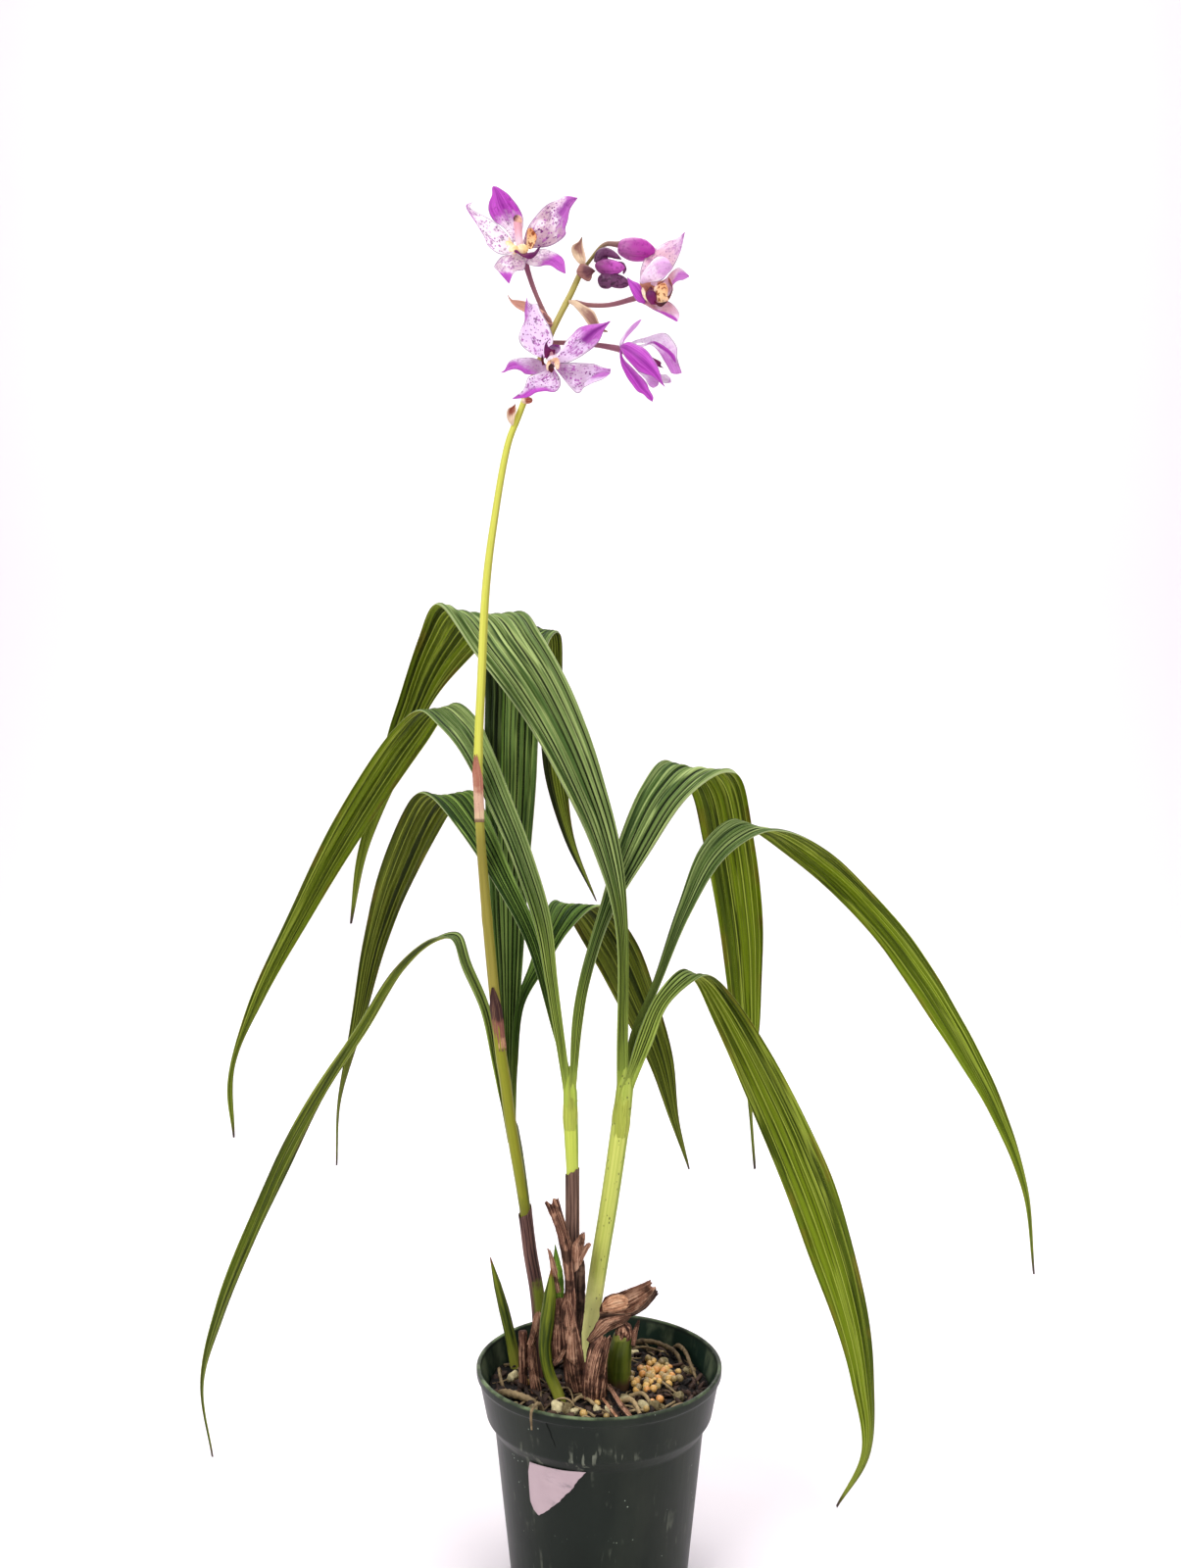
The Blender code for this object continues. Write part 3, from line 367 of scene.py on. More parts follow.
outer = [(2.0, 0.0), (BASE_RADIUS - 0.8, 0.0), (BASE_RADIUS + 0.1, 1.2), (SHOULDER_RADIUS, SHOULDER_Z),
         (BAND_RADIUS, BAND_Z), (RIM_RADIUS - 1.15, 86.6), (RIM_RADIUS - 0.1, 87.6),
         (RIM_RADIUS, POT_HEIGHT)]
inner = [(RIM_RADIUS - POT_WALL - 0.4, POT_HEIGHT), (RIM_RADIUS - POT_WALL - 1.3, 86.0),
         (BAND_RADIUS - POT_WALL, BAND_Z + 0.5), (SHOULDER_RADIUS - POT_WALL, SHOULDER_Z + 0.5),
         (BASE_RADIUS - POT_WALL, 1.6), (2.0, 1.6)]
pot_profile = eased(outer + inner, reach=0.9)
pot = lay("pot_shell", [turned_skin(pot_profile, sides=180, wobble=0.12)], pot_plastic(), "pot_green",
          "pot")
drill_angles = (np.arange(DRAIN_HOLES) + 0.5) * 2 * math.pi / DRAIN_HOLES
drills = [tube_skin([(DRAIN_RING * math.cos(a), DRAIN_RING * math.sin(a), h) for h in (-4, 0, 6)],
                    (DRAIN_RADIUS, DRAIN_RADIUS), sides=24, count=4) for a in drill_angles]
drill_mesh = bpy.data.meshes.new("drain_drills")
shift = len(drills[0]["places"])
drill_mesh.from_pydata(np.vstack([drill["places"] for drill in drills]) * MM, [],
                       [[corner + shift * n for corner in face]
                        for n, drill in enumerate(drills) for face in drill["corners"]])
drill = bpy.data.objects.new("drain_drills", drill_mesh)
bpy.context.scene.collection.objects.link(drill)
cut = pot.modifiers.new("drain", "BOOLEAN")
cut.operation = "DIFFERENCE"
cut.solver = "EXACT"
cut.object = drill
bpy.context.view_layer.update()
graph = bpy.context.evaluated_depsgraph_get()
drained = bpy.data.meshes.new_from_object(pot.evaluated_get(graph), depsgraph=graph)
pot.modifiers.clear()
pot.data = drained
bpy.data.objects.remove(drill)


def wall_radius(z):
    """The pot's outer radius at height z, straight from the base to the shoulder, band and rim."""
    heights = (0, SHOULDER_Z, BAND_Z, POT_HEIGHT)
    return np.interp(z, heights, (BASE_RADIUS, SHOULDER_RADIUS, BAND_RADIUS, RIM_RADIUS))


def blade_skin(middle, facing, thickness, across=None, **marks):
    """A closed thin wall round a grid of middle places: an upper and an under side half a thickness to
    each side along facing, joined along both edges and at both ends. The mark side is 0 on the upper
    side and 1 on the under side."""
    columns = middle.shape[1]
    thickness = np.broadcast_to(thickness, middle.shape[:2])[..., None]
    upper = middle + facing * thickness / 2
    under = middle - facing * thickness / 2
    across = np.linspace(0, 1, columns) if across is None else across
    across = np.concatenate([across, across[::-1], across[:1]])
    marks = {key: np.concatenate([np.broadcast_to(value, middle.shape[:2])] * 2, 1)
             for key, value in marks.items()}
    for key, value in marks.items():
        value[:, columns:] = value[:, :columns][:, ::-1]
    side = np.concatenate([np.zeros(columns), np.ones(columns)])
    return grid_skin(np.concatenate([upper, under[:, ::-1]], 1), across, around=True, caps="strip",
                     side=side, **marks)


# The split in the band: a dark hairline that runs down from the rim, a little open at its top.
split_t = ramp(12)
split_x = -21.9 + 4.4 * split_t + np.array([[-1.0, 0.0, 1.0]]) * (0.34 - 0.26 * split_t)
split_x = split_x + 0.12 * np.sin(split_t * 17)
split_z = 88.6 - 11.8 * split_t + 0 * split_x
split_y = -np.sqrt((wall_radius(split_z) - 0.02) ** 2 - split_x**2)
split_places = np.stack([split_x, split_y, split_z], -1)
split_out = unit(split_places * (1, 1, 0))
split_finish = Finish("band_split", 0.9)
split_tone = blend(cloud(split_finish.here, 300.0), (0.02, 0.03, 0.03), (0.07, 0.09, 0.07))
lay("pot_band_split", [blade_skin(split_places[::-1], split_out[::-1], 0.12)],
    split_finish.done(split_tone), "pot_green", "pot")

# The blank label: a torn corner of white paper, stuck to the wall, a little crumpled at its top left
# corner, grey and smudged where it has rubbed.
LABEL_LEFT = ((-28.2, 65.6), (-28.8, 61.3), (-28.5, 55.0), (-28.0, 48.6), (-26.6, 45.4), (-24.9, 44.0))
LABEL_RIGHT = ((-5.6, 66.2), (-10.7, 59.6), (-14.4, 54.5), (-19.9, 48.3), (-24.2, 43.9))


def label_paper():
    """Lilac-white paper with grey smudges that run aslant, and faint creases."""
    finish = Finish("label_paper", 0.55)
    here = finish.here
    leaning = put(finish.tree, "Mapping", {0: here, 2: (0, math.radians(-38), 0), 3: (0.5, 1, 1.6)})
    smudge = slope(cloud(leaning, 170.0, 5.0, 0.65), 0.5, 0.74)
    near = slope(part(here, 0), -0.024, -0.016) * 0.9
    paper = blend(cloud(here, 90.0), (0.64, 0.56, 0.58), (0.75, 0.67, 0.69))
    paper = blend(smudge * near, paper, (0.42, 0.4, 0.42))
    return finish.done(paper, cloud(here, 260.0, 4.0), 0.00012)


def evenly(points, count):
    """count points read off along the line through the given ones, as a column for each coordinate."""
    knots = np.linspace(0, 1, len(points))
    return [np.interp(np.linspace(0, 1, count), knots, values)[:, None] for values in zip(*points)]


LABEL_ROWS, LABEL_COLUMNS = 54, 54
label_s = np.linspace(0, 1, LABEL_COLUMNS)[None, :]
label_x, label_z = (left * (1 - label_s) + right * label_s
                    for left, right in zip(evenly(LABEL_LEFT, LABEL_ROWS), evenly(LABEL_RIGHT, LABEL_ROWS)))
label_flat = np.stack([label_x, 0 * label_x, label_z], -1)
torn = np.clip((label_s - 0.8) / 0.2, 0, 1)
label_x = label_x + torn * 0.5 * ripple(label_flat * (0, 1, 1), 2.4, 3)
bubble = 0.3 * np.exp(-((label_x + 27.6) ** 2 + (label_z - 63.5) ** 2) / 3)
lift = 0.5 + 0.18 * ripple(label_flat, 9, 4) + bubble
label_radius = wall_radius(np.minimum(label_z, SHOULDER_Z)) + lift
label_places = np.stack([label_x, -np.sqrt(label_radius**2 - label_x**2), label_z], -1)
label_out = unit(label_places * (1, 1, 0))
lay("torn_label", [blade_skin(label_places[::-1], label_out[::-1], 0.22)], label_paper(), "label_paper",
    "blank_label")

# The bark mix: dark, damp composted bark with fibres, loose chips, pumice lumps, a heap of amber feed
# prills beside the bulb and the plant's own pale roots, filled to a finger's width under the rim.
MIX_TOP_Z = 79.5


def mix_height(places):
    """The uneven top of the mix: three sizes of ripple, a little higher in the middle."""
    flat = places * (1, 1, 0)
    middle = np.clip((46 - np.linalg.norm(flat, axis=-1)) / 10, 0, 1)
    bumps = 1.2 * ripple(flat, 26, 11) + 0.7 * ripple(flat, 8, 12) + 0.35 * ripple(flat, 3.4, 13)
    return MIX_TOP_Z + 0.4 + 0.6 * middle + bumps


def bark_finish(name, dark, light, roughness, fineness):
    """Damp organic crumbs: each one has its own shade between dark and light, with finer grain in it."""
    finish = Finish(name, roughness)
    mottle = cloud(finish.here, fineness, 4.0, 0.6)
    share = mottle * 1.1 + (finish.mark("shade") * 0.9 - 0.55)
    return finish.done(blend(share, dark, light), cloud(finish.here, fineness * 2.0), 0.0004)


def turning(angle, first, second):
    """The rotation by angle that takes the first axis towards the second."""
    matrix = np.eye(3)
    matrix[first, first] = matrix[second, second] = math.cos(angle)
    matrix[second, first] = math.sin(angle)
    matrix[first, second] = -math.sin(angle)
    return matrix


def pebbles(spots, sizes, seed, boxy, rough, tilt, rows=6, columns=9):
    """Small closed lumps, one at each spot: a sphere's directions raised to the power boxy, which squares
    them, scaled to the lump's own three half sizes, roughened by a ripple and turned at random."""
    draw = np.random.default_rng(seed)
    polar = np.linspace(0.28, math.pi - 0.28, rows)[::-1, None]
    round_ = np.arange(columns)[None, :] / columns * 2 * math.pi
    ways = np.stack([np.sin(polar) * np.cos(round_), np.sin(polar) * np.sin(round_),
                     np.cos(polar) + 0 * round_], -1)
    squared = np.sign(ways) * np.abs(ways) ** boxy
    lumps = []
    for n, (spot, size) in enumerate(zip(spots, sizes)):
        turn, lean, roll = draw.uniform(0, 2 * math.pi), *draw.normal(0, tilt, 2)
        turned = turning(turn, 0, 1) @ turning(lean, 1, 2) @ turning(roll, 2, 0)
        shape = squared * (1 + rough * ripple(ways, 1.6, seed * 1000 + n))[..., None] * size
        lumps.append(grid_skin(shape @ turned.T + spot, around=True, caps="fan",
                               shade=draw.uniform(0, 1)))
    return lumps


BED_SIDES, BED_RINGS, BED_RADIUS = 150, 46, 47.2
bed_profile = eased([(2, 2.2), (35.4, 2.2), (42.6, 66.0), (46.2, 71.6), (47.6, 78.2)], reach=0.6)
bed_angle = np.arange(BED_SIDES) / BED_SIDES * 2 * math.pi
bed_round = np.stack([np.cos(bed_angle), np.sin(bed_angle), 0 * bed_angle], -1)
bed_side = bed_profile[:, None, :1] * bed_round + bed_profile[:, None, 1:] * (0, 0, 1)
bed_top = np.linspace(BED_RADIUS, 1.0, BED_RINGS)[:, None, None] * bed_round
bed_top[..., 2] = mix_height(bed_top)
bed = grid_skin(np.concatenate([bed_side, bed_top]), around=True, caps="fan", shade=0.2)
bark = bark_finish("damp_bark", (0.022, 0.018, 0.017), (0.14, 0.1, 0.08), roughness=0.7, fineness=320.0)
lay("bark_bed", [bed], bark, "bark_mix", "potting_mix")

# The loose chips' half sizes run from the shortest to the longest along each of their three ways.
CHIPS, LOOSE_REACH = 420, 45.5
CHIP_HALF_SIZES = ((1.2, 4.2), (0.7, 1.8), (0.4, 1.1))
draw = np.random.default_rng(21)
chip_reach = np.sqrt(draw.uniform(0.01, 1, CHIPS)) * LOOSE_REACH
chip_turn = draw.uniform(0, 2 * math.pi, CHIPS)
chip_spots = np.stack([chip_reach * np.cos(chip_turn), chip_reach * np.sin(chip_turn), 0 * chip_turn], -1)
chip_spots[:, 2] = mix_height(chip_spots) + draw.uniform(-0.3, 0.9, CHIPS)
chip_sizes = np.stack([draw.uniform(*half_sizes, CHIPS) for half_sizes in CHIP_HALF_SIZES], -1)
chip_skin = bark_finish("bark_chip", (0.03, 0.02, 0.02), (0.3, 0.22, 0.18), roughness=0.6, fineness=380.0)
lay("bark_chips", pebbles(chip_spots, chip_sizes, 5, boxy=0.62, rough=0.22, tilt=0.45), chip_skin,
    "bark_mix", "potting_mix")

# The pumice lumps: the place X and Y of each one, and its half size.
PUMICE = ((-37.4, 4.3, 2.4), (-17.4, -24.2, 2.6), (-13.6, -25.4, 2.2), (-10.4, -26.0, 1.6),
          (-0.9, -25.6, 1.7), (4.0, -24.6, 1.6), (12.2, -15.6, 2.7), (18.2, -24.2, 2.8),
          (22.4, -24.8, 2.3), (10.6, -10.5, 1.9), (25.8, -22.5, 1.7), (-27.5, -22.8, 1.9),
          (33.5, -13.0, 2.0), (29.0, 22.0, 1.9), (38.5, 13.5, 1.8), (-30.0, 26.0, 2.0), (2.0, 36.0, 2.3),
          (16.0, 30.0, 1.8), (-12.0, -38.0, 2.2), (-20.0, -36.0, 2.0), (14.0, -36.0, 2.3),
          (22.0, -35.0, 2.0), (6.0, -39.0, 1.8), (36.0, -24.0, 1.9), (-36.0, -20.0, 2.1))
pumice_spots = np.array([(x, y, 0.0) for x, y, _ in PUMICE])
pumice_spots[:, 2] = mix_height(pumice_spots) + 1.0
pumice_sizes = np.array([(size * 1.25, size, size * 0.85) for *_, size in PUMICE])
pumice = pebbles(pumice_spots, pumice_sizes, 9, boxy=0.85, rough=0.3, tilt=0.6, rows=12, columns=18)
pumice_skin = bark_finish("pumice", (0.38, 0.33, 0.22), (0.82, 0.77, 0.6), roughness=0.9, fineness=700.0)
lay("pumice_lumps", pumice, pumice_skin, "bark_mix", "potting_mix")

# Most prills lie in the heap, about its middle in X and in Y with the given spread, the rest anywhere.
HEAPED_PRILLS, LOOSE_PRILLS = 76, 26
PRILL_HEAP = ((23.5, 5.0), (5.0, 8.0))
heaped = np.stack([draw.normal(middle, spread, HEAPED_PRILLS) for middle, spread in PRILL_HEAP], -1)
loose = draw.uniform(-40, 40, (LOOSE_PRILLS, 2))
prill_spots = np.pad(np.vstack([heaped, loose]), ((0, 0), (0, 1)))
prill_spots = prill_spots[np.linalg.norm(prill_spots[:, :2], axis=1) < LOOSE_REACH]
prill_count = len(prill_spots)
prill_spots[:, 2] = mix_height(prill_spots) + draw.uniform(0.9, 2.4, prill_count)
prill_sizes = draw.uniform(1.25, 1.8, (prill_count, 1)) * np.ones(3)


def prill_coat():
    """Resin-coated feed prills: amber, honey and tan beads, some nearly clear and some dull brown."""
    finish = Finish("feed_prill", 0.28)
    shade, here = finish.mark("shade"), finish.here
    warm = blend(slope(shade, 0.25, 0.6), (0.45, 0.37, 0.2), (0.76, 0.58, 0.28))
    warm = blend(slope(shade, 0.76, 0.86), warm, (0.76, 0.46, 0.17))
    warm = blend(slope(shade, 0.14, 0.08), warm, (0.26, 0.2, 0.12))
    warm = blend(cloud(here, 600.0) * 0.5, warm, (0.9, 0.78, 0.52))
    finish.set("Coat Weight", 0.5)
    return finish.done(warm, cloud(here, 500.0), 0.00015)


prills = pebbles(prill_spots, prill_sizes, 31, boxy=1.0, rough=0.06, tilt=0.5, rows=9, columns=14)
lay("feed_prills", prills, prill_coat(), "bark_mix", "potting_mix")

# The thicker roots that show among the bark, each one's way up out of the mix and back into it.
ROOTS = (
    ((15, 40, 79), (17, 39.5, 82.4), (24.3, 35.4, 84.4), (30.7, 30.1, 84.4), (34.7, 23.9, 84),
     (37.3, 17.4, 80)),
    ((33, 36, 79), (35.6, 33, 83.5), (38.5, 24, 85), (40.5, 12, 83.6), (43, 4, 79)),
    ((-20, -33, 77), (-22.3, -39.5, 86), (-24, -42.6, 92.3), (-25.6, -45.4, 93), (-27, -47.9, 91.6),
     (-26.9, -47.9, 84.6)),
    ((-40, -4, 78), (-42, -2, 83.5), (-43.5, 6, 85), (-42.5, 12, 80)),
    ((-43, -6, 80), (-38, -13, 83), (-30, -17, 82.6), (-24, -16, 79)),
    ((-14, -20, 79), (-8, -16, 83), (-2, -24, 83.4), (4, -30, 80)),
    ((13, -9, 80), (18, -14, 83.4), (21, -22, 83), (24, -30, 79)),
    ((8, -16, 80), (13, -21, 84), (16, -29, 83), (18, -36, 79)),
)
ROOT_RADII = ((1.1, 1.1, 1.0, 0.8), (1.0, 1.0, 0.8, 0.6), (0.9, 0.8, 0.7, 0.35), (0.8, 0.7, 0.6, 0.5),
              (1.3, 1.6, 1.4, 0.8), (0.6, 0.8, 0.7, 0.4), (0.9, 0.8, 0.7, 0.5), (1.1, 1.0, 0.8, 0.6))
ROOTLETS, ROOTLET_REACH, ROOTLET_LIMIT = 64, 42, 46
ROOT_REFERENCE = (0.3, 0.2, 1)


def root_section(angle, share):
    """A root's section: round, with low bumps along it."""
    return 1 + 0.12 * np.sin(9 * share * 2 * math.pi + 2 * angle)


rooted = [tube_skin(route, radii, sides=10, count=40, flute=root_section, reference=ROOT_REFERENCE,
                    shade=0.25 + 0.1 * n)
          for n, (route, radii) in enumerate(zip(ROOTS, ROOT_RADII))]
for _ in range(ROOTLETS):
    start = draw.uniform(-1, 1, 2)
    start = start / max(1.0, np.linalg.norm(start)) * ROOTLET_REACH
    heading, curl, length = draw.uniform(0, 6.28), draw.normal(0, 1.2), draw.uniform(7, 22)
    t = np.linspace(0, 1, 6)
    path = np.stack([start[0] + length * t * np.cos(heading + curl * t),
                     start[1] + length * t * np.sin(heading + curl * t), 0 * t], -1)
    distance = np.linalg.norm(path[:, :2], axis=1, keepdims=True)
    path[:, :2] *= np.minimum(1, ROOTLET_LIMIT / np.maximum(distance, 1))
    path[:, 2] = mix_height(path) + 0.2 + draw.uniform(0.4, 2.6) * np.sin(math.pi * t)
    thick = draw.uniform(0.25, 0.6)
    rooted.append(tube_skin(path, (thick, thick, thick * 0.5), sides=6, count=16,
                            reference=ROOT_REFERENCE, shade=draw.uniform(0, 0.9)))
root_skin = bark_finish("root_skin", (0.16, 0.11, 0.08), (0.66, 0.57, 0.42), roughness=0.7, fineness=420.0)
lay("surface_roots", rooted, root_skin, "bark_mix", "potting_mix")

# The three leafy fans' stems: each is the rolled bases of its leaves, a pale yellow-green column with
# fine lengthwise ribs, that closes to a point among its leaves. Two of them rise from an old purple-brown
# sheath, torn off level at its top.
STEM_RIGHT = ((-5.0, 12.0, 76.5), (-4.9, 11.6, 93), (-3, 11, 108), (0, 12, 128), (4.8, 13, 157),
              (10.6, 14, 198), (12.6, 13.8, 217))
STEM_MIDDLE = ((-10.7, -2.8, 88), (-11.4, 1, 115), (-11.5, 4, 142), (-11.6, 6, 170.4), (-12.4, 7, 194),
               (-12.7, 8, 216))
STEM_LEFT = ((-26.2, 14, 101), (-27.3, 16, 114), (-30.5, 19, 131), (-32.7, 21, 148.2), (-35.5, 23, 166),
             (-38.3, 24.6, 182), (-40.4, 26, 194))
RIGHT_RADII = (4.0, 4.0, 3.85, 3.8, 3.85, 3.9, 3.95, 4.0, 4.05, 4.1, 3.8, 0.5)
MIDDLE_RADII = (2.2, 2.25, 2.3, 2.3, 2.3, 2.35, 2.5, 2.72, 3.05, 3.25, 3.05, 0.4)
LEFT_RADII = (2.2, 2.3, 2.3, 2.3, 2.4, 2.6, 2.8, 3.0, 2.8, 0.5)
SHEATH_MIDDLE = ((-10.5, -4.0, 77), (-10.7, -2.8, 88), (-11.4, 1, 115), (-11.5, 4, 142), (-11.6, 6, 170.6))
SHEATH_LEFT = ((-25.7, 11.0, 77), (-26.2, 14, 101), (-27.3, 16, 114), (-30.5, 19, 131), (-32.9, 21, 148.8))
# The pale, watery foot of a stem glows a little: painted light in place of the light that comes through it,
# so it isn't as dark as its shaded place.
FOOT_PAINTED_GLOW = 0.22


def grow_grain(pattern, across, along, detail, roughness):
    """Soft noise on the pattern coordinates, drawn out lengthwise: across and along say how many times
    it changes over the width and over the length."""
    stretched = {0: pattern, 1: put(pattern.tree, "CombineXYZ", {0: across, 1: along, 2: 1.0})}
    return cloud(put(pattern.tree, "VectorMath", stretched, operation="MULTIPLY"), 1.0, detail, roughness)


GRAIN = effect("lengthwise_grain", {"Pattern": (0, 0, 0), "Across": 10, "Along": 1, "Detail": 3,
                                    "Roughness": 0.55}, grow_grain)


def grain(pattern, across, along, detail=3.0, roughness=0.55):
    """The lengthwise grain of fibres, veins and streaks."""
    return use(GRAIN, pattern, across, along, detail, roughness)


def stem_skin_finish(name, pale, green, shaded_side_tone, foot_colour, foot_z, ring_z, speckled):
    """Live stem skin: pale bands between greener lengthwise veins, painted shade in the side colour down
    the right side and more faintly down the left, a paler or darker foot that glows a little as painted
    light, greener above the scar ring at ring_z and, where speckled is over 0, scattered dark pinpricks."""
    finish = Finish(name, 0.42)
    pattern, here = finish.pattern, finish.here
    z = part(here, 2)
    veins = grain(pattern, 26, 1.6, 4.0, 0.6)
    bands = grain(pattern, 5, 0.8, 2.0)
    share = veins * 1.3 + (bands * 0.8 - 0.62)
    body = blend(slope(share, 0.1, 0.9), pale, green)
    # Painted shade: the stem's right side, and more faintly its left, turn to the side colour as if they
    # faced away from the light.
    turn = part(pattern, 0)
    wandering = veins * 0.08 + turn
    shaded_flank = slope(wandering, 0.63, 0.69) * slope(wandering, 0.98, 0.9)
    body = blend(shaded_flank * 0.8, body, shaded_side_tone)
    left_shaded_flank = slope(wandering, 0.42, 0.34) * slope(wandering, 0.1, 0.2)
    body = blend(left_shaded_flank * 0.45, body, shaded_side_tone)
    crown = slope(z, ring_z, ring_z + 0.006, 0.0, 0.5)
    body = blend(crown, body, blend(veins, (0.62, 0.7, 0.28), (0.44, 0.54, 0.16)))
    scar = slope(z, ring_z - 0.0006, ring_z) * slope(z, ring_z + 0.0008, ring_z)
    body = blend(scar, body, (0.4, 0.44, 0.14))
    blotch = cloud(here, 120.0, 4.0)
    foot = slope(blotch * 0.014 + z, foot_z + 0.026, foot_z - 0.004)
    body = blend(foot, body, foot_colour)
    # Painted light: the foot glows faintly in its own colour.
    finish.feed("Emission Color", blend(foot, (0, 0, 0), foot_colour))
    finish.set("Emission Strength", FOOT_PAINTED_GLOW)
    dot = use(SPECKS, stretch(here, 1, 1, 0.6), 620.0, 0.3, 0.18) * slope(cloud(here, 210.0), 0.5, 0.6)
    body = blend(dot * speckled, body, (0.2, 0.22, 0.08))
    return finish.done(body, veins, 0.0003)


def stem_flute(ribs, depth, seam):
    """A rolled stem's section: ribs fine waves of the given depth, and one overlap where the outermost
    leaf base ends, seam radians round from the back."""
    def section(angle, share):
        past = (angle - seam) % (2 * math.pi)
        return 1 + depth * np.cos(ribs * angle + 2 * share) + 0.045 * np.exp(-past * 1.4) - 0.01
    return section


right_stem = tube_skin(STEM_RIGHT, RIGHT_RADII, sides=56, count=90, flute=stem_flute(13, 0.012, 2.6))
middle_stem = tube_skin(STEM_MIDDLE, MIDDLE_RADII, sides=48, count=84, flute=stem_flute(9, 0.012, 3.9))
left_stem = tube_skin(STEM_LEFT, LEFT_RADII, sides=48, count=76, flute=stem_flute(9, 0.014, 3.6))
right_stem_skin = stem_skin_finish("right_stem_skin", (0.8, 0.82, 0.42), (0.62, 0.68, 0.24),
                                   (0.5, 0.57, 0.15), (0.95, 0.95, 0.62), foot_z=0.11, ring_z=0.1965,
                                   speckled=0.75)
middle_stem_skin = stem_skin_finish("middle_stem_skin", (0.76, 0.8, 0.34), (0.62, 0.7, 0.22),
                                    (0.44, 0.54, 0.14), (0.66, 0.7, 0.3), foot_z=0.168, ring_z=0.1945,
                                    speckled=0.0)
left_stem_skin = stem_skin_finish("left_stem_skin", (0.56, 0.57, 0.14), (0.4, 0.45, 0.08),
                                  (0.2, 0.28, 0.06), (0.38, 0.38, 0.1), foot_z=0.15, ring_z=0.3,
                                  speckled=0.15)
lay("right_fan_stem", [right_stem], right_stem_skin, "stem_green", "stem_right")
lay("middle_fan_stem", [middle_stem], middle_stem_skin, "stem_green", "stem_middle")
lay("left_fan_stem", [left_stem], left_stem_skin, "stem_green", "stem_left")


def sleeve_skin(route, radii, wall, top, sides=64, count=60, ribs=11, depth=0.03):
    """An old sheath round a stem: a wall that runs up outside and down inside, with fine ribs, whose top
    edge is moved along the stem by top(angle), in millimetres, fading in over the last fifth."""
    axis = smooth_route(route, count)
    share = ramp(count)
    radius = np.interp(share, np.linspace(0, 1, len(radii)), radii)
    angle = np.arange(sides)[None, :] / sides * 2 * math.pi
    grooves = 1 + depth * (np.abs(np.sin(ribs * angle / 2 + 0.6)) - 0.6)
    ragged = top(angle) * np.clip((share - 0.8) / 0.2, 0, 1) ** 2
    rings = []
    for inset in (0.0, wall):
        reach = radius * grooves - inset
        ring = np.stack([-reach * np.sin(angle), reach * np.cos(angle), ragged + 0 * reach], -1)
        rings.append(axis[:, None, :] + ring)
    return grid_skin(np.concatenate([rings[0], rings[1][::-1]]), around=True, loop=True,
                     along=np.concatenate([share[:, 0], share[::-1, 0], [0.0]]))


def old_sheath_finish(name, dark, light, living, live_low, live_high):
    """Dead sheath: purple-brown with straw-coloured lengthwise fibres; between the heights live_low and
    live_high it is thin enough for a living green to show through at the front."""
    finish = Finish(name, 0.6)
    pattern, here = finish.pattern, finish.here
    z = part(here, 2)
    fibre = grain(pattern, 34, 2.2, 5.0, 0.65)
    body = blend(slope(fibre, 0.4, 0.64), dark, light)
    high = cloud(here, 140.0) * 0.02 + (z - 0.01)
    alive = slope(high, live_low, live_low + 0.006) * slope(high, live_high, live_high - 0.006)
    turn = part(pattern, 0)
    front = slope(turn, 0.36, 0.5) * slope(turn, 0.76, 0.66)
    body = blend(alive * front, body, living)
    return finish.done(body, fibre, 0.0005)


middle_sheath = old_sheath_finish("middle_sheath_skin", (0.16, 0.09, 0.08), (0.58, 0.45, 0.38),
                               (0.3, 0.3, 0.1), live_low=0.3, live_high=0.31)
left_sheath = old_sheath_finish("left_sheath_skin", (0.18, 0.1, 0.1), (0.5, 0.36, 0.32),
                                (0.42, 0.46, 0.12), live_low=0.1, live_high=0.121)
middle_sleeve = sleeve_skin(SHEATH_MIDDLE, (4.0, 3.7, 3.4, 3.1, 3.1), wall=0.4,
                            top=lambda a: 1.6 * np.cos(a - 4.4) + 0.35 * np.sin(7 * a))
left_sleeve = sleeve_skin(SHEATH_LEFT, (3.1, 3.0, 3.2, 3.1, 2.95), wall=0.4,
                          top=lambda a: -2.4 * np.cos(a - 2.2) + 0.3 * np.sin(5 * a))
lay("middle_old_sheath", [middle_sleeve], middle_sheath, "purple_sheath", "sheath_middle")
lay("left_old_sheath", [left_sleeve], left_sheath, "purple_sheath", "sheath_left")

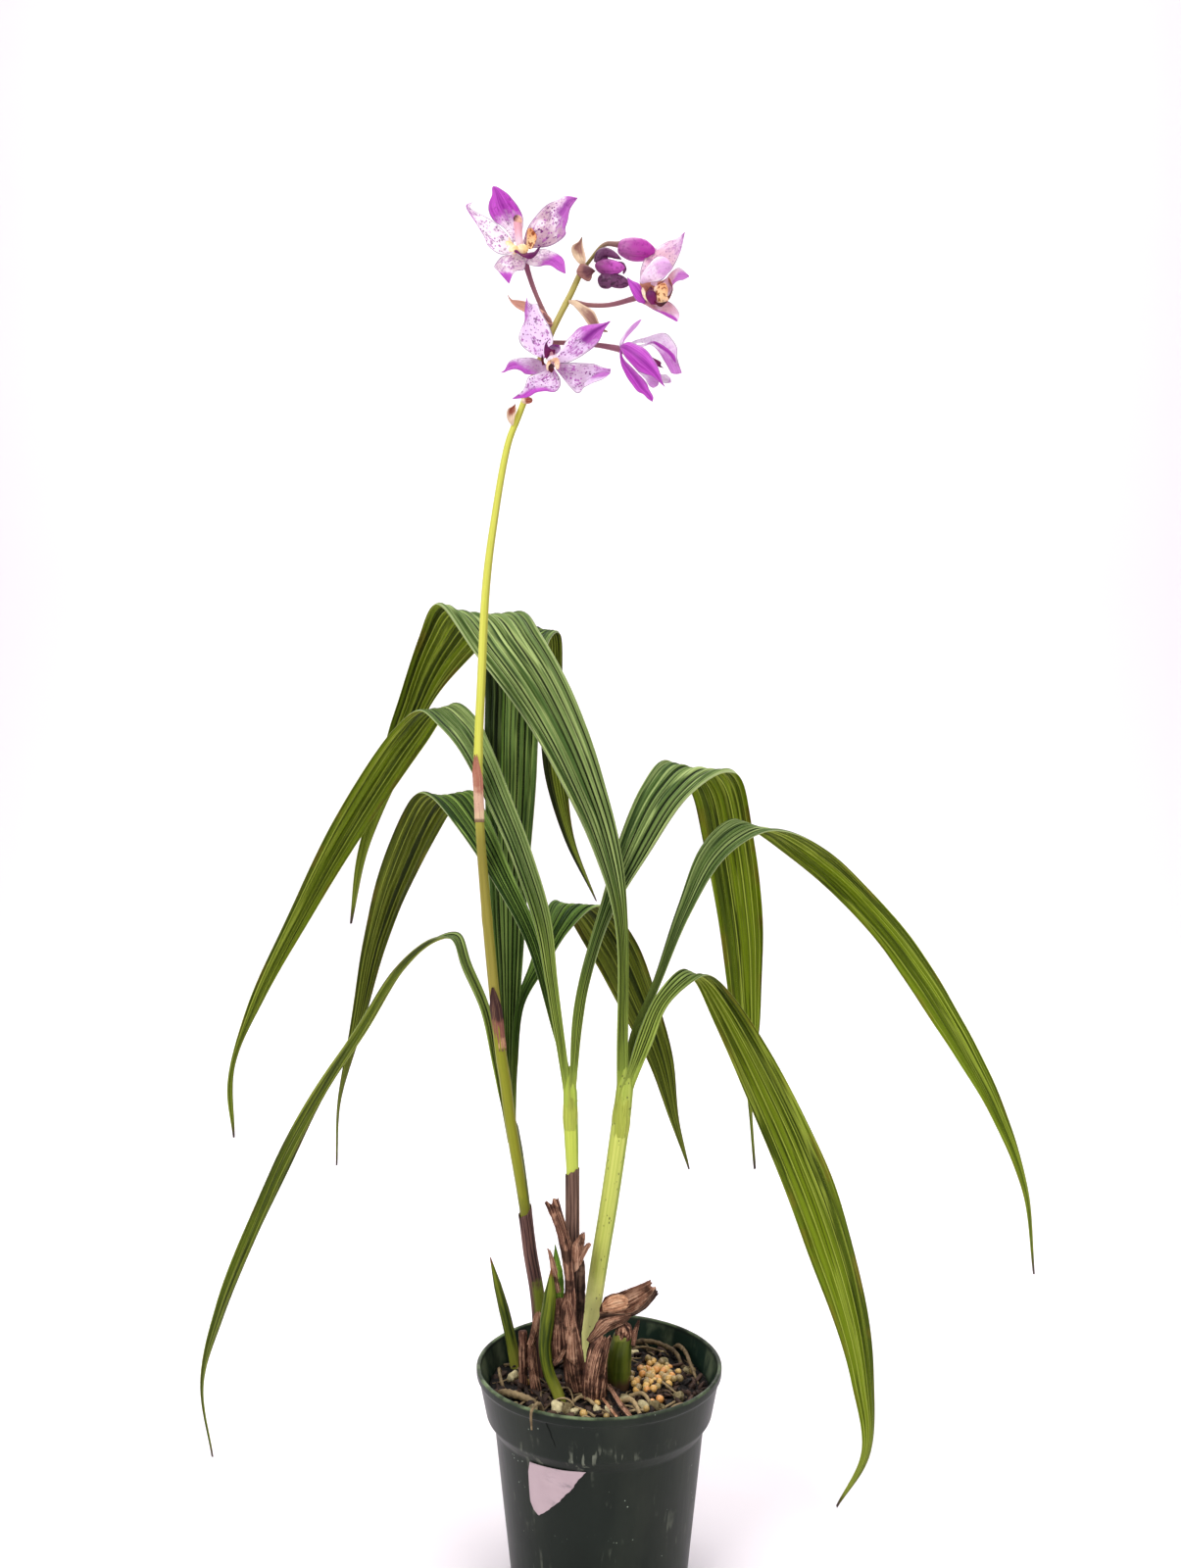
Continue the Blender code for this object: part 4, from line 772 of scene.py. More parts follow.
# The nine leaves: thin plicate blades, folded along their veins like a fan where they leave the stem and
# opening wider over the crest. They are matt grey-green above, glossier olive with pale veins beneath.
# Each leaf is its left edge, its right edge, the depth of its keel, its number of pleats, its shade and
# the share of it that is yellow-green at its foot.
LEAVES = {
    "leaf_right_tall": (
        ((7.8, 11.6, 213.8), (7.5, 17, 276), (-1.5, 21, 307.5), (-13.5, 26, 333.5), (-34.5, 38, 369.5),
         (-57, 52, 399.5), (-78, 70, 425.5), (-90, 92, 412), (-103, 104, 376), (-113.5, 110, 342),
         (-123, 108, 302), (-126, 104, 268)),
        ((12.9, 12.2, 213.6), (13, 20, 278), (10.5, 26, 308), (1.5, 33, 345), (-12.5, 44, 383),
         (-27, 56, 410.5), (-36.5, 74, 422), (-61.5, 104, 408), (-85.5, 122, 383), (-103.5, 124, 345),
         (-117.5, 115, 308), (-125, 105, 268)),
        0.5, 9, 0.5, 0.24),
    "leaf_right_far": (
        ((11.8, 17.4, 213.5), (13.6, 19.2, 227), (23.5, 24, 249), (35.5, 34, 282.5), (47, 48, 309),
         (63, 66, 322), (74, 80, 318.5), (93, 98, 305), (119, 110, 284), (146, 116, 254.5),
         (173.5, 116, 215), (202.5, 112, 166), (217, 108, 131), (221, 104, 90)),
        ((14.6, 16.8, 213.1), (17.2, 18.3, 226), (27, 23, 248), (40.5, 30, 278.5), (56.5, 42, 303),
         (76, 60, 315), (91, 75, 317), (114.5, 98, 306.5), (141, 118, 284), (170.5, 128, 249.5),
         (196.5, 130, 207), (216, 122, 157.5), (221.5, 112, 129.5), (222.3, 105, 89.5)),
        0.5, 8, 0.55, 0.22),
    "leaf_right_low": (
        ((12.4, 10.2, 213.2), (17.2, 11.6, 229), (25, 18, 245), (36.5, 30, 255), (45, 48, 247),
         (54, 58, 228), (66.5, 64, 199.5), (82, 65, 162), (97.5, 60, 121), (109, 56, 90), (118.5, 52, 58),
         (122.5, 47, 29), (110, 44, 5)),
        ((18.0, 11.6, 212.8), (23.4, 11.4, 225), (30.5, 16, 241), (42.5, 24, 251), (52, 40, 251),
         (64.5, 54, 238), (82.5, 64, 210.5), (102, 70, 173.5), (116.5, 70, 137.5), (126, 64, 100),
         (130, 57, 61), (127, 50, 25.5), (110.3, 43, 4.4)),
        0.6, 6, 0.27, 0.36),
    "leaf_middle_long": (
        ((-16.8, 6.2, 213.9), (-23.4, 9, 253.5), (-28, 11, 276.5), (-38.5, 16, 306), (-49, 22, 328.5),
         (-62, 32, 353), (-74, 44, 366), (-86, 60, 374), (-101, 76, 365), (-131.5, 92, 321.5),
         (-159, 98, 268), (-177, 96, 224), (-184.5, 90, 189), (-180.5, 86, 164)),
        ((-13.0, 6.6, 213.9), (-18.0, 11, 253), (-21, 14, 280.5), (-29.5, 20, 308.5), (-40.5, 28, 336.5),
         (-49.5, 38, 358), (-56.5, 50, 369.5), (-69, 68, 377.5), (-86, 86, 358.5), (-118.5, 104, 314.5),
         (-147, 110, 271.5), (-169.5, 106, 230), (-182, 95, 197.5), (-179.8, 87, 164)),
        0.5, 7, 0.5, 0.26),
    "leaf_middle_low": (
        ((-15.2, 10, 213.9), (-19.5, 12, 227), (-32, 17, 268), (-45.5, 22, 292.5), (-62.5, 32, 317),
         (-79, 48, 333.5), (-89, 64, 333.5), (-104, 78, 305.5), (-117, 88, 261), (-123.5, 90, 217),
         (-129, 86, 181), (-128.5, 80, 152)),
        ((-12.8, 10.6, 213.9), (-15.6, 12.4, 226.5), (-25.8, 18, 270.5), (-38.5, 26, 298.5),
         (-50.5, 38, 324.5), (-59.5, 54, 336), (-71.5, 74, 326.5), (-91.2, 92, 292.5), (-107, 98, 258),
         (-118.5, 96, 215), (-128, 90, 181), (-127.8, 81, 152)),
        0.5, 7, 0.15, 0.17),
    "leaf_middle_right": (
        ((-12.7, 6.0, 213.9), (-11.7, 10.6, 236), (-8.6, 16, 253.5), (-1, 25, 279.6), (10.2, 37, 316.6),
         (20.2, 48, 338.3), (31.3, 62, 351), (45, 80, 336), (53, 92, 307), (61.5, 96, 259.5),
         (67.5, 94, 221), (73.5, 90, 187.5), (77, 86, 148.5)),
        ((-9.3, 6.6, 213.9), (-7.0, 10.4, 235), (-4, 15, 251.5), (5.6, 23, 279.9), (22.8, 33, 307.1),
         (41, 43, 332.4), (60.4, 60, 345.5), (71.5, 86, 340), (79.5, 100, 305), (83.5, 104, 264),
         (82, 101, 220), (77, 94, 187.5), (78.3, 87, 148.5)),
        0.5, 8, 0.55, 0.26),
    "leaf_left_narrow": (
        ((-43.2, 25, 191.8), (-47.4, 25.6, 213), (-52.8, 28, 238), (-61.5, 32, 256.5), (-67.5, 40, 268),
         (-78, 48, 267), (-97, 58, 251), (-117, 65, 222), (-137.5, 73, 191), (-157.5, 81, 158),
         (-171.5, 86, 126), (-190, 90, 81), (-198.5, 92, 40.5), (-192.5, 91, 3.8)),
        ((-41, 27.0, 191.6), (-44.4, 29, 211.5), (-49.0, 34, 236.5), (-58, 41, 256), (-64.5, 51, 269.5),
         (-77, 60, 266), (-94, 69, 249), (-113.5, 77, 218.5), (-136, 88, 183), (-157, 95, 143),
         (-173, 98, 108.5), (-189, 98, 70), (-197.5, 95, 38.5), (-191.8, 92, 3.2)),
        0.9, 4, 0.27, 0.4),
    "leaf_left_tall": (
        ((-41, 28.6, 191.7), (-43.5, 30, 213.5), (-47, 34, 256.5), (-50.5, 40, 294), (-53, 48, 339),
         (-53.5, 58, 378.5), (-53.5, 73, 406.5), (-30.5, 90, 417), (-30, 106, 389), (-27.5, 112, 344),
         (-17.5, 112, 311.5), (-1, 108, 279)),
        ((-38.2, 29.2, 192), (-37.6, 31, 212), (-34.6, 36, 256), (-32, 42, 298.5), (-29, 50, 339),
         (-27.5, 62, 376.5), (-24, 78, 408.5), (-19, 96, 415), (-18, 112, 387), (-16, 117, 339),
         (-12, 115, 311), (-0.4, 109, 279)),
        0.6, 8, 0.2, 0.12),
    "leaf_left_short": (
        ((-38.2, 25.8, 192.6), (-39.2, 28, 213), (-37.5, 33, 240), (-31.5, 40, 257), (-26, 50, 275),
         (-22.5, 64, 283.5), (-16.5, 78, 277), (-4.5, 88, 256), (11, 92, 227), (25, 90, 200),
         (36, 86, 171.5), (44.4, 82, 149.5)),
        ((-37.2, 27.6, 192.6), (-36.4, 28.6, 212), (-33.5, 33, 239), (-23.5, 38, 256), (-14, 46, 270.5),
         (-2, 62, 280.5), (8.5, 78, 276), (19.5, 90, 260), (30, 97, 230.5), (37.5, 95, 201.5),
         (40.5, 89, 171.5), (45.2, 83, 149.5)),
        0.5, 8, 0.1, 0.17),
}
PLEAT_STEPS = 8
LEAF_ROWS = 140
FOOT_ROWS = 20

# How each leaf's base is rolled on its stem: the stem, the direction it faces and how far round it goes
# to each side, in degrees, how far it stands off the stem and how far down it runs. A leaf with no turn
# runs straight down inside.
ROLLED = {
    "leaf_right_tall": (STEM_RIGHT, RIGHT_RADII, -128, 78, 0.1, 24),
    "leaf_right_low": (STEM_RIGHT, RIGHT_RADII, -52, 74, 0.38, 30),
    "leaf_middle_long": (STEM_MIDDLE, MIDDLE_RADII, -112, 84, 0.34, 26),
    "leaf_middle_right": (STEM_MIDDLE, MIDDLE_RADII, -34, 70, 0.08, 22),
    "leaf_left_short": (STEM_LEFT, LEFT_RADII, -12, 56, 0.12, 24),
}


def rolled_foot(first, ahead, route, radii, turn_degrees, spread_degrees, proud, drop):
    """A leaf base under the blade's first row: at its lower end it lies on the stem, spread_degrees to
    each side of turn_degrees, with its end sunk in; going up it opens smoothly into the first row."""
    up = np.linspace(0, 1, FOOT_ROWS, endpoint=False)[:, None]
    axis = smooth_route(route, 200)
    z = first[:, 2].mean() - drop * (1 - up)
    x, y, share = (np.interp(z, axis[:, 2], values) for values in (axis[:, 0], axis[:, 1], ramp(200)[:, 0]))
    radius = np.interp(np.minimum(share, 0.9), np.linspace(0, 1, len(radii)), radii)
    v = np.linspace(-1, 1, len(first))[None, :]
    angle = np.radians(turn_degrees + spread_degrees * v)
    sunk = 0.35 * np.exp(-up / 0.06)
    reach = radius + proud * (1 - 0.9 * np.abs(v) ** 6) * np.clip(up / 0.4, 0, 1) - sunk
    rolled = np.stack([x + reach * np.cos(angle), y + reach * np.sin(angle), z + 0 * angle], -1)
    straight = first[None] - ahead * (drop * (1 - up))[..., None]
    opened = (up**2 * (3 - 2 * up))[..., None] ** 1.6
    return rolled * (1 - opened) + straight * opened


def leaf_skin(left, right, fold, pleats, shade, fresh, seed, clasp, fold_shade_depth=0.0):
    """A blade between its two edges. The middle sinks to the under side by fold half-widths. Each pleat
    is an arch, the sine's size to the power 0.8, so sharp furrows lie between rounded ribs, and the
    arches deepen where the blade narrows towards its foot, as if the same width were gathered up. The
    marks are the distance from the margin, the leaf's shade and lot, its share of the way from foot to
    tip, and the width of its pleats in millimetres."""
    draw = np.random.default_rng(seed)
    widths = draw.uniform(0.7, 1.3, pleats)
    knots = np.concatenate([[0], np.cumsum(widths)]) / widths.sum()
    phase = np.linspace(0, pleats, pleats * PLEAT_STEPS + 1)
    u = np.interp(phase, np.arange(pleats + 1), knots)
    v = 2 * u[None, :] - 1
    arch_size = draw.uniform(0.6, 1.25, pleats + 1)[np.minimum(phase.astype(int), pleats - 1)]
    arch = np.abs(np.sin(math.pi * phase)) ** 0.8 * arch_size
    edge_a, edge_b = smooth_route(left, LEAF_ROWS), smooth_route(right, LEAF_ROWS)
    across = edge_b - edge_a
    half = np.linalg.norm(across, axis=1)[:, None] / 2
    ahead = np.gradient((edge_a + edge_b) / 2, axis=0)
    facing = unit(np.cross(across, ahead))[:, None, :]
    t = ramp(LEAF_ROWS)
    gathered = np.clip(1 - half / half.max(), 0, 1) * np.clip(1 - t / 0.55, 0, 1)
    ends = np.clip(t / 0.03, 0.2, 1) * np.clip((1 - t) / 0.25, 0, 1)
    depth = half * (0.055 + 0.26 * gathered**1.3) * ends
    keel = fold * (1 - 0.75 * np.clip(t / 0.35, 0, 1))
    places = edge_a[:, None, :] + across[:, None, :] * u[None, :, None]
    push = depth * (arch[None, :] * 2 - 1) - keel * half * (1 - np.abs(v) ** 1.5)
    wave = 0.35 * ripple(places, 46, seed + 50) * np.clip(half / 8, 0, 1)
    flutter = 0.9 * np.sin(t * 31 + seed) * np.abs(v) ** 3 * np.clip(half / 14, 0, 1) * np.clip(t * 3, 0, 1)
    middle = places + facing * (push + wave + flutter)[..., None]
    thick = 0.42 * (1 - 0.55 * np.abs(v) ** 4) * np.clip(half / 3, 0.35, 1)
    course = unit(ahead[:1])
    if clasp is None:
        foot = middle[0] - course * np.linspace(14, 0, FOOT_ROWS, endpoint=False)[:, None, None]
    else:
        foot = rolled_foot(middle[0], course, *clasp)
    whole = np.concatenate([foot, middle])
    tilted = unit(np.cross(np.gradient(whole, axis=1), np.gradient(whole, axis=0)))[:FOOT_ROWS]
    facing = np.concatenate([tilted, facing * np.ones_like(middle)])
    thick = np.concatenate([thick[:1] * np.ones((FOOT_ROWS, 1)), thick])
    share = np.concatenate([np.linspace(-0.08, 0, FOOT_ROWS)[:, None], t])
    # Painted shade: the shade mark drops on the left strip of a leaf past its lower third, where that strip
    # is folded away from the light and lies in shade.
    shade = shade - fold_shade_depth * np.clip((-v - 0.25) / 0.15, 0, 1) * np.clip((share - 0.3) / 0.1, 0, 1)
    pleat = np.concatenate([half[:1] * np.ones((FOOT_ROWS, 1)), half]) * 2 / pleats
    return blade_skin(whole, facing, thick, phase / 10, rim=np.abs(v), shade=shade, lot=seed % 10 / 10,
                      share=share, pleat=pleat, foot=share / fresh)


def hairlines(pattern, across, along, width):
    """Fine lines that run the length of a blade and drift and join: they lie where a lengthwise grain
    passes its middle value."""
    return slope(abs(grain(pattern, across, along, 1.0) - 0.5), width, width * 0.25)


def leaf_finish():
    """Live leaf: the pattern runs across the pleats in tenths and along the blade from 0 to 1. Above it
    is sage green with near-black lines in the furrows painted as crease shade, cream lines beside them,
    hairlines and a thin pale margin; beneath it is bright and dark olive in bands with pale yellow veins;
    where the shade mark is nearly nil it turns near-black as painted shade; the foot turns yellow-green,
    the tip brown."""
    finish = Finish("pleated_leaf", 0.5, 0.12)
    pattern = finish.pattern
    across = part(pattern, 0) * 10.0
    side, rim, shade, lot, share, pleat, foot = finish.marks(
        "side", "rim", "shade", "lot", "share", "pleat", "foot")
    ridge = calc("PINGPONG", across, 0.5) * 2.0
    aside = ridge * pleat * 0.5
    own = lot * 370.0 + calc("ROUND", across)
    luck = put(finish.tree, "TexWhiteNoise", {1: own}, noise_dimensions="1D")
    own_arch = lot * 530.0 + calc("FLOOR", across)
    arch_luck = put(finish.tree, "TexWhiteNoise", {1: own_arch}, noise_dimensions="1D")
    shifted = put(finish.tree, "CombineXYZ", {0: across, 1: share, 2: lot * 40.0})
    veins = grain(shifted, 4.5, 1.6, 4.0, 0.7)
    bands = grain(shifted, 0.8, 2.2, 2.0)
    broken = grain(shifted, 1.1, 7.0, 2.0)
    roomy = slope(pleat, 0.7, 2.0, 0.6, 1.0)
    dark_lines = hairlines(shifted, 1.1, 1.8, 0.045) * roomy
    dark_lines = dark_lines * slope(broken, 0.44, 0.56)
    pale_lines = hairlines(shifted, 1.5, 2.2, 0.06) * roomy
    pale_lines = pale_lines * slope(broken, 0.6, 0.46)
    mottle = cloud(finish.here, 60.0, 3.0)
    dim = slope(shade, 0.35, 0.1)
    light = slope(veins, 0.34, 0.66) * 0.4 + (bands * 0.5 + (arch_luck * 0.4 - 0.2))
    light = slope(light + (mottle * 0.5 - 0.25), 0.1, 0.85)
    above = blend(light, (0.24, 0.34, 0.13), (0.46, 0.54, 0.29))
    above = blend(dim, above, blend(light, (0.1, 0.2, 0.05), (0.38, 0.52, 0.2)))
    cream = blend(dim, (0.66, 0.73, 0.45), (0.54, 0.66, 0.3))
    above = blend(pale_lines * 0.8, above, cream)
    above = blend(dark_lines * 0.85, above, (0.14, 0.22, 0.07))
    beside = slope(aside, 0.28, 0.4) * slope(aside, 0.95, 0.6)
    beside = beside * slope(arch_luck, 0.35, 0.9, 0.0, 0.65)
    above = blend(beside, above, cream)
    # Painted shade: near-black lines in many of the furrows between the pleats, where shade lies in the
    # creases.
    chosen = slope(luck + slope(pleat, 0.5, 2.2, -0.15, 0.0), 0.25, 0.7)
    reach = luck * 0.42 + 0.12
    reach = calc("MINIMUM", reach, pleat * 0.2 + 0.06)
    furrow = slope(aside / reach, 1.1, 0.5) * chosen
    above = blend(furrow * 0.9, above, (0.03, 0.07, 0.015))
    above = blend(slope(rim, 0.955, 0.985, 0.0, 0.8), above, (0.66, 0.72, 0.5))
    glow = slope(bands, 0.3, 0.7) * 0.6 + (arch_luck * 0.5 - 0.02)
    glow = slope(glow + (veins * 0.4 - 0.2), 0.1, 0.95)
    below = blend(glow, (0.26, 0.32, 0.02), (0.48, 0.56, 0.07))
    below = blend(dim, below, blend(glow, (0.14, 0.18, 0.02), (0.34, 0.38, 0.08)))
    bronze = slope(rim, 0.6, 0.95) * slope(mottle, 0.48, 0.66, 0.0, 0.7)
    below = blend(bronze, below, (0.46, 0.4, 0.12))
    hollow = slope(ridge, 0.5, 0.2) * slope(luck, 0.45, 0.8, 0.0, 0.55)
    below = blend(hollow, below, (0.12, 0.16, 0.01))
    straw = blend(dim, (0.66, 0.72, 0.27), (0.54, 0.58, 0.22))
    below = blend(pale_lines * 0.6, below, straw)
    below = blend(dark_lines * 0.55, below, (0.12, 0.16, 0.02))
    vein = slope(aside, 0.34, 0.14) * slope(luck, 0.3, 0.6, 0.0, 0.95)
    below = blend(vein, below, straw)
    colour = blend(side, above, below)
    # Painted shade: where the shade mark is nearly nil the leaf turns near-black.
    painted_fold_shade = slope(shade, 0.08, 0.0, 0.0, 0.8)
    colour = blend(painted_fold_shade, colour, (0.06, 0.09, 0.03))
    foot = slope(mottle * 0.3 + foot, 1.0, 0.12, 0.0, 0.95)
    foot_tone = blend(slope(veins, 0.35, 0.65), (0.5, 0.61, 0.2), (0.73, 0.79, 0.38))
    base_tone = blend(slope(veins, 0.35, 0.65), (0.66, 0.71, 0.26), (0.77, 0.8, 0.37))
    foot_tone = blend(slope(share, 0.01, -0.05), foot_tone, base_tone)
    spared = 1.0 - furrow * slope(share, -0.02, 0.05)
    colour = blend(foot * spared, colour, foot_tone)
    dry = slope(mottle * 0.02 + share, 0.985, 1.003)
    colour = blend(dry, colour, blend(slope(share, 0.985, 1.0), (0.4, 0.4, 0.14), (0.4, 0.34, 0.32)))
    finish.feed("Roughness", side * -0.06 + 0.5)
    return finish.done(colour, veins + pale_lines - dark_lines, 0.0005)


leaf_green = leaf_finish()
for number, (name, (left, right, fold, pleats, shade, fresh)) in enumerate(LEAVES.items()):
    # Only the tall left leaf gets painted shade on its folded-over left strip.
    fold_shade_depth = 0.2 if name == "leaf_left_tall" else 0.0
    skin = leaf_skin(left, right, fold, pleats, shade, fresh, 60 + number, ROLLED.get(name), fold_shade_depth)
    lay(f"{name}_blade", [skin], leaf_green, "leaf_green", name)

# The flower spike's stalk: one smooth round olive-gold stem from the left fan to the flowers, brighter
# yellow in its upper half, with two dead bracts clasping it at its joints.
SPIKE_ROUTE = ((-33.3, 21.4, 152), (-35.1, 21.5, 163), (-38.2, 22.0, 181), (-40.1, 22.3, 192.6),
               (-41.7, 22.4, 205.8), (-43.6, 22, 218), (-47.2, 22, 251.5), (-51.2, 22, 295),
               (-53.1, 22, 321.5), (-53.8, 22.5, 352), (-52.6, 23, 383), (-50.5, 24, 427),
               (-47.4, 24, 453), (-40.4, 23, 491.6), (-36, 22.5, 503), (-21.2, 22, 540.2),
               (-11.8, 22, 559.2), (-7.2, 22, 569.4))
SPIKE_RADII = (2.2, 2.45, 2.5, 2.6, 2.4, 2.3, 2.1, 2.0, 2.0, 1.9, 1.8, 1.6, 1.5, 1.4, 1.4, 1.3)
SPIKE_ROWS = 220
SPIKE_JOINTS = (0.34, 0.5, 0.88, 0.94)


def spike_finish():
    """Spike skin: olive low down, golden yellow-green above, purplish among the flowers, with soft
    lengthwise streaks and painted shade down its right side and left edge."""
    finish = Finish("spike_skin", 0.38)
    pattern, here = finish.pattern, finish.here
    z = part(here, 2)
    streak = grain(pattern, 12, 9, 3.0)
    gold = blend(streak, (0.7, 0.72, 0.2), (0.88, 0.87, 0.42))
    olive = blend(streak, (0.44, 0.4, 0.16), (0.64, 0.6, 0.26))
    body = blend(slope(z, 0.31, 0.345), olive, gold)
    low_tone = blend(streak, (0.42, 0.44, 0.08), (0.6, 0.6, 0.16))
    body = blend(slope(z, 0.245, 0.225), body, low_tone)
    body = blend(slope(z, 0.505, 0.53) * 0.75, body, blend(streak, (0.52, 0.43, 0.24), (0.78, 0.72, 0.47)))
    # Painted shade: the right third of the stalk turns darker olive and its left edge a duller green, as if
    # turned away from the light.
    round_way = part(pattern, 0)
    shaded_flank = slope(round_way, 0.54, 0.64) * slope(round_way, 0.95, 0.85)
    body = blend(shaded_flank * 0.55, body, (0.5, 0.48, 0.14))
    edge = slope(round_way, 0.36, 0.29) * slope(round_way, 0.1, 0.2)
    body = blend(edge * 0.4, body, (0.6, 0.62, 0.26))
    return finish.done(body, streak, 0.0003)


def spike_joint(angle, share):
    """The stalk's section: nearly round, with fine ribs and a small swelling at each of its joints."""
    swell = np.exp(-(((share[..., None] - SPIKE_JOINTS) / 0.004) ** 2)).sum(-1)
    return 1 + 0.015 * np.cos(11 * angle) + 0.09 * swell


spike = tube_skin(SPIKE_ROUTE, SPIKE_RADII, sides=32, count=SPIKE_ROWS, flute=spike_joint)
lay("spike_stalk", [spike], spike_finish(), "spike_olive", "flower_spike")

# The two sheath bracts that clasp the spike at its joints: dead, papery and split open on one side. The
# upper one is pinkish tan with a ragged tip, the lower one dark purple above and tan at its foot.
UPPER_CLASP = ((-53.1, 22, 322), (-53.6, 22.2, 336), (-53.8, 22.5, 351))
LOWER_CLASP = ((-43.8, 22, 220), (-45.3, 22, 234), (-46.8, 22, 248.5))
CLASP_ROWS, CLASP_COLUMNS = 60, 44


def clasp_skin(route, radii, middle_degrees, spreads, seed, ragged):
    """A sheath wrapped round a stem: at each height the wall runs from -spread to +spread degrees about
    its middle direction, its spread read off along the way, with crumples and lengthwise folds."""
    axis = smooth_route(route, CLASP_ROWS)
    share = ramp(CLASP_ROWS)
    spread = np.interp(share, np.linspace(0, 1, len(spreads)), spreads)
    across = np.linspace(-1, 1, CLASP_COLUMNS)[None, :]
    angle = np.radians(middle_degrees + spread * across)
    out = np.stack([np.cos(angle), np.sin(angle), 0 * angle], -1)
    radius = np.interp(share, np.linspace(0, 1, len(radii)), radii)
    crumples = 0.1 * ripple(out * 3 + axis[:, None, :] * (0, 0, 0.3), 2.5, seed)
    folds = 0.06 * np.sin(angle * 11 + seed) + crumples
    lifted = 0.5 * np.abs(across) ** 3 * share + 0.2 * share**2
    places = axis[:, None, :] + out * (radius + folds + lifted)[..., None]
    places[..., 2] += ragged * ripple(across[..., None] * (1, 0, 0), 0.5, seed + 1) * share**6
    return blade_skin(places, out, 0.22, share=share)


def roughen(value, place, scale, amount):
    """The value with soft noise of the given scale and whole amount added, so that an edge wanders."""
    return value + (cloud(place, scale) * amount - amount * 0.5)


RAGGED = effect("ragged_value", {"Value": 0, "Place": (0, 0, 0), "Scale": 200, "Amount": 0.5}, roughen)


def clasp_finish(name, foot, body_low, body_high, ring):
    """Papery bract: lengthwise fibres and specks over a colour that changes from its foot up, with a
    darker ring where it is joined on."""
    finish = Finish(name, 0.6)
    pattern, here = finish.pattern, finish.here
    share = finish.mark("share")
    fibre = grain(pattern, 16, 1.2, 5.0, 0.65)
    high = use(RAGGED, share, here, 260.0, 0.4)
    body = blend(slope(high, 0.36, 0.56), body_low, body_high)
    body = blend(slope(high, 0.2, 0.1), body, foot)
    body = blend(slope(fibre, 0.5, 0.64) * 0.45, body, foot)
    body = blend(slope(fibre, 0.46, 0.34) * 0.5, body, ring)
    body = blend(slope(share, 0.07, 0.03) * 0.8, body, ring)
    body = blend(use(SPECKS, here, 900.0, 0.2, 0.1) * 0.5, body, ring)
    return finish.done(body, fibre, 0.0004)


upper_clasp = clasp_skin(UPPER_CLASP, (2.12, 2.12, 2.1), middle_degrees=-112, spreads=(95, 92, 74, 12),
                         seed=3, ragged=1.6)
lower_clasp = clasp_skin(LOWER_CLASP, (2.42, 2.42, 2.3), middle_degrees=-95, spreads=(100, 92, 74, 10),
                         seed=8, ragged=0.5)
tan_bract = clasp_finish("tan_bract", (0.84, 0.72, 0.58), (0.82, 0.66, 0.56), (0.66, 0.42, 0.34),
                         (0.36, 0.24, 0.14))
purple_bract = clasp_finish("purple_bract", (0.74, 0.56, 0.42), (0.5, 0.3, 0.26), (0.2, 0.1, 0.11),
                            (0.34, 0.27, 0.14))
lay("upper_clasping_bract", [upper_clasp], tan_bract, "bract_tan", "sheath_bract_upper")
lay("lower_clasping_bract", [lower_clasp], purple_bract, "purple_sheath", "sheath_bract_lower")
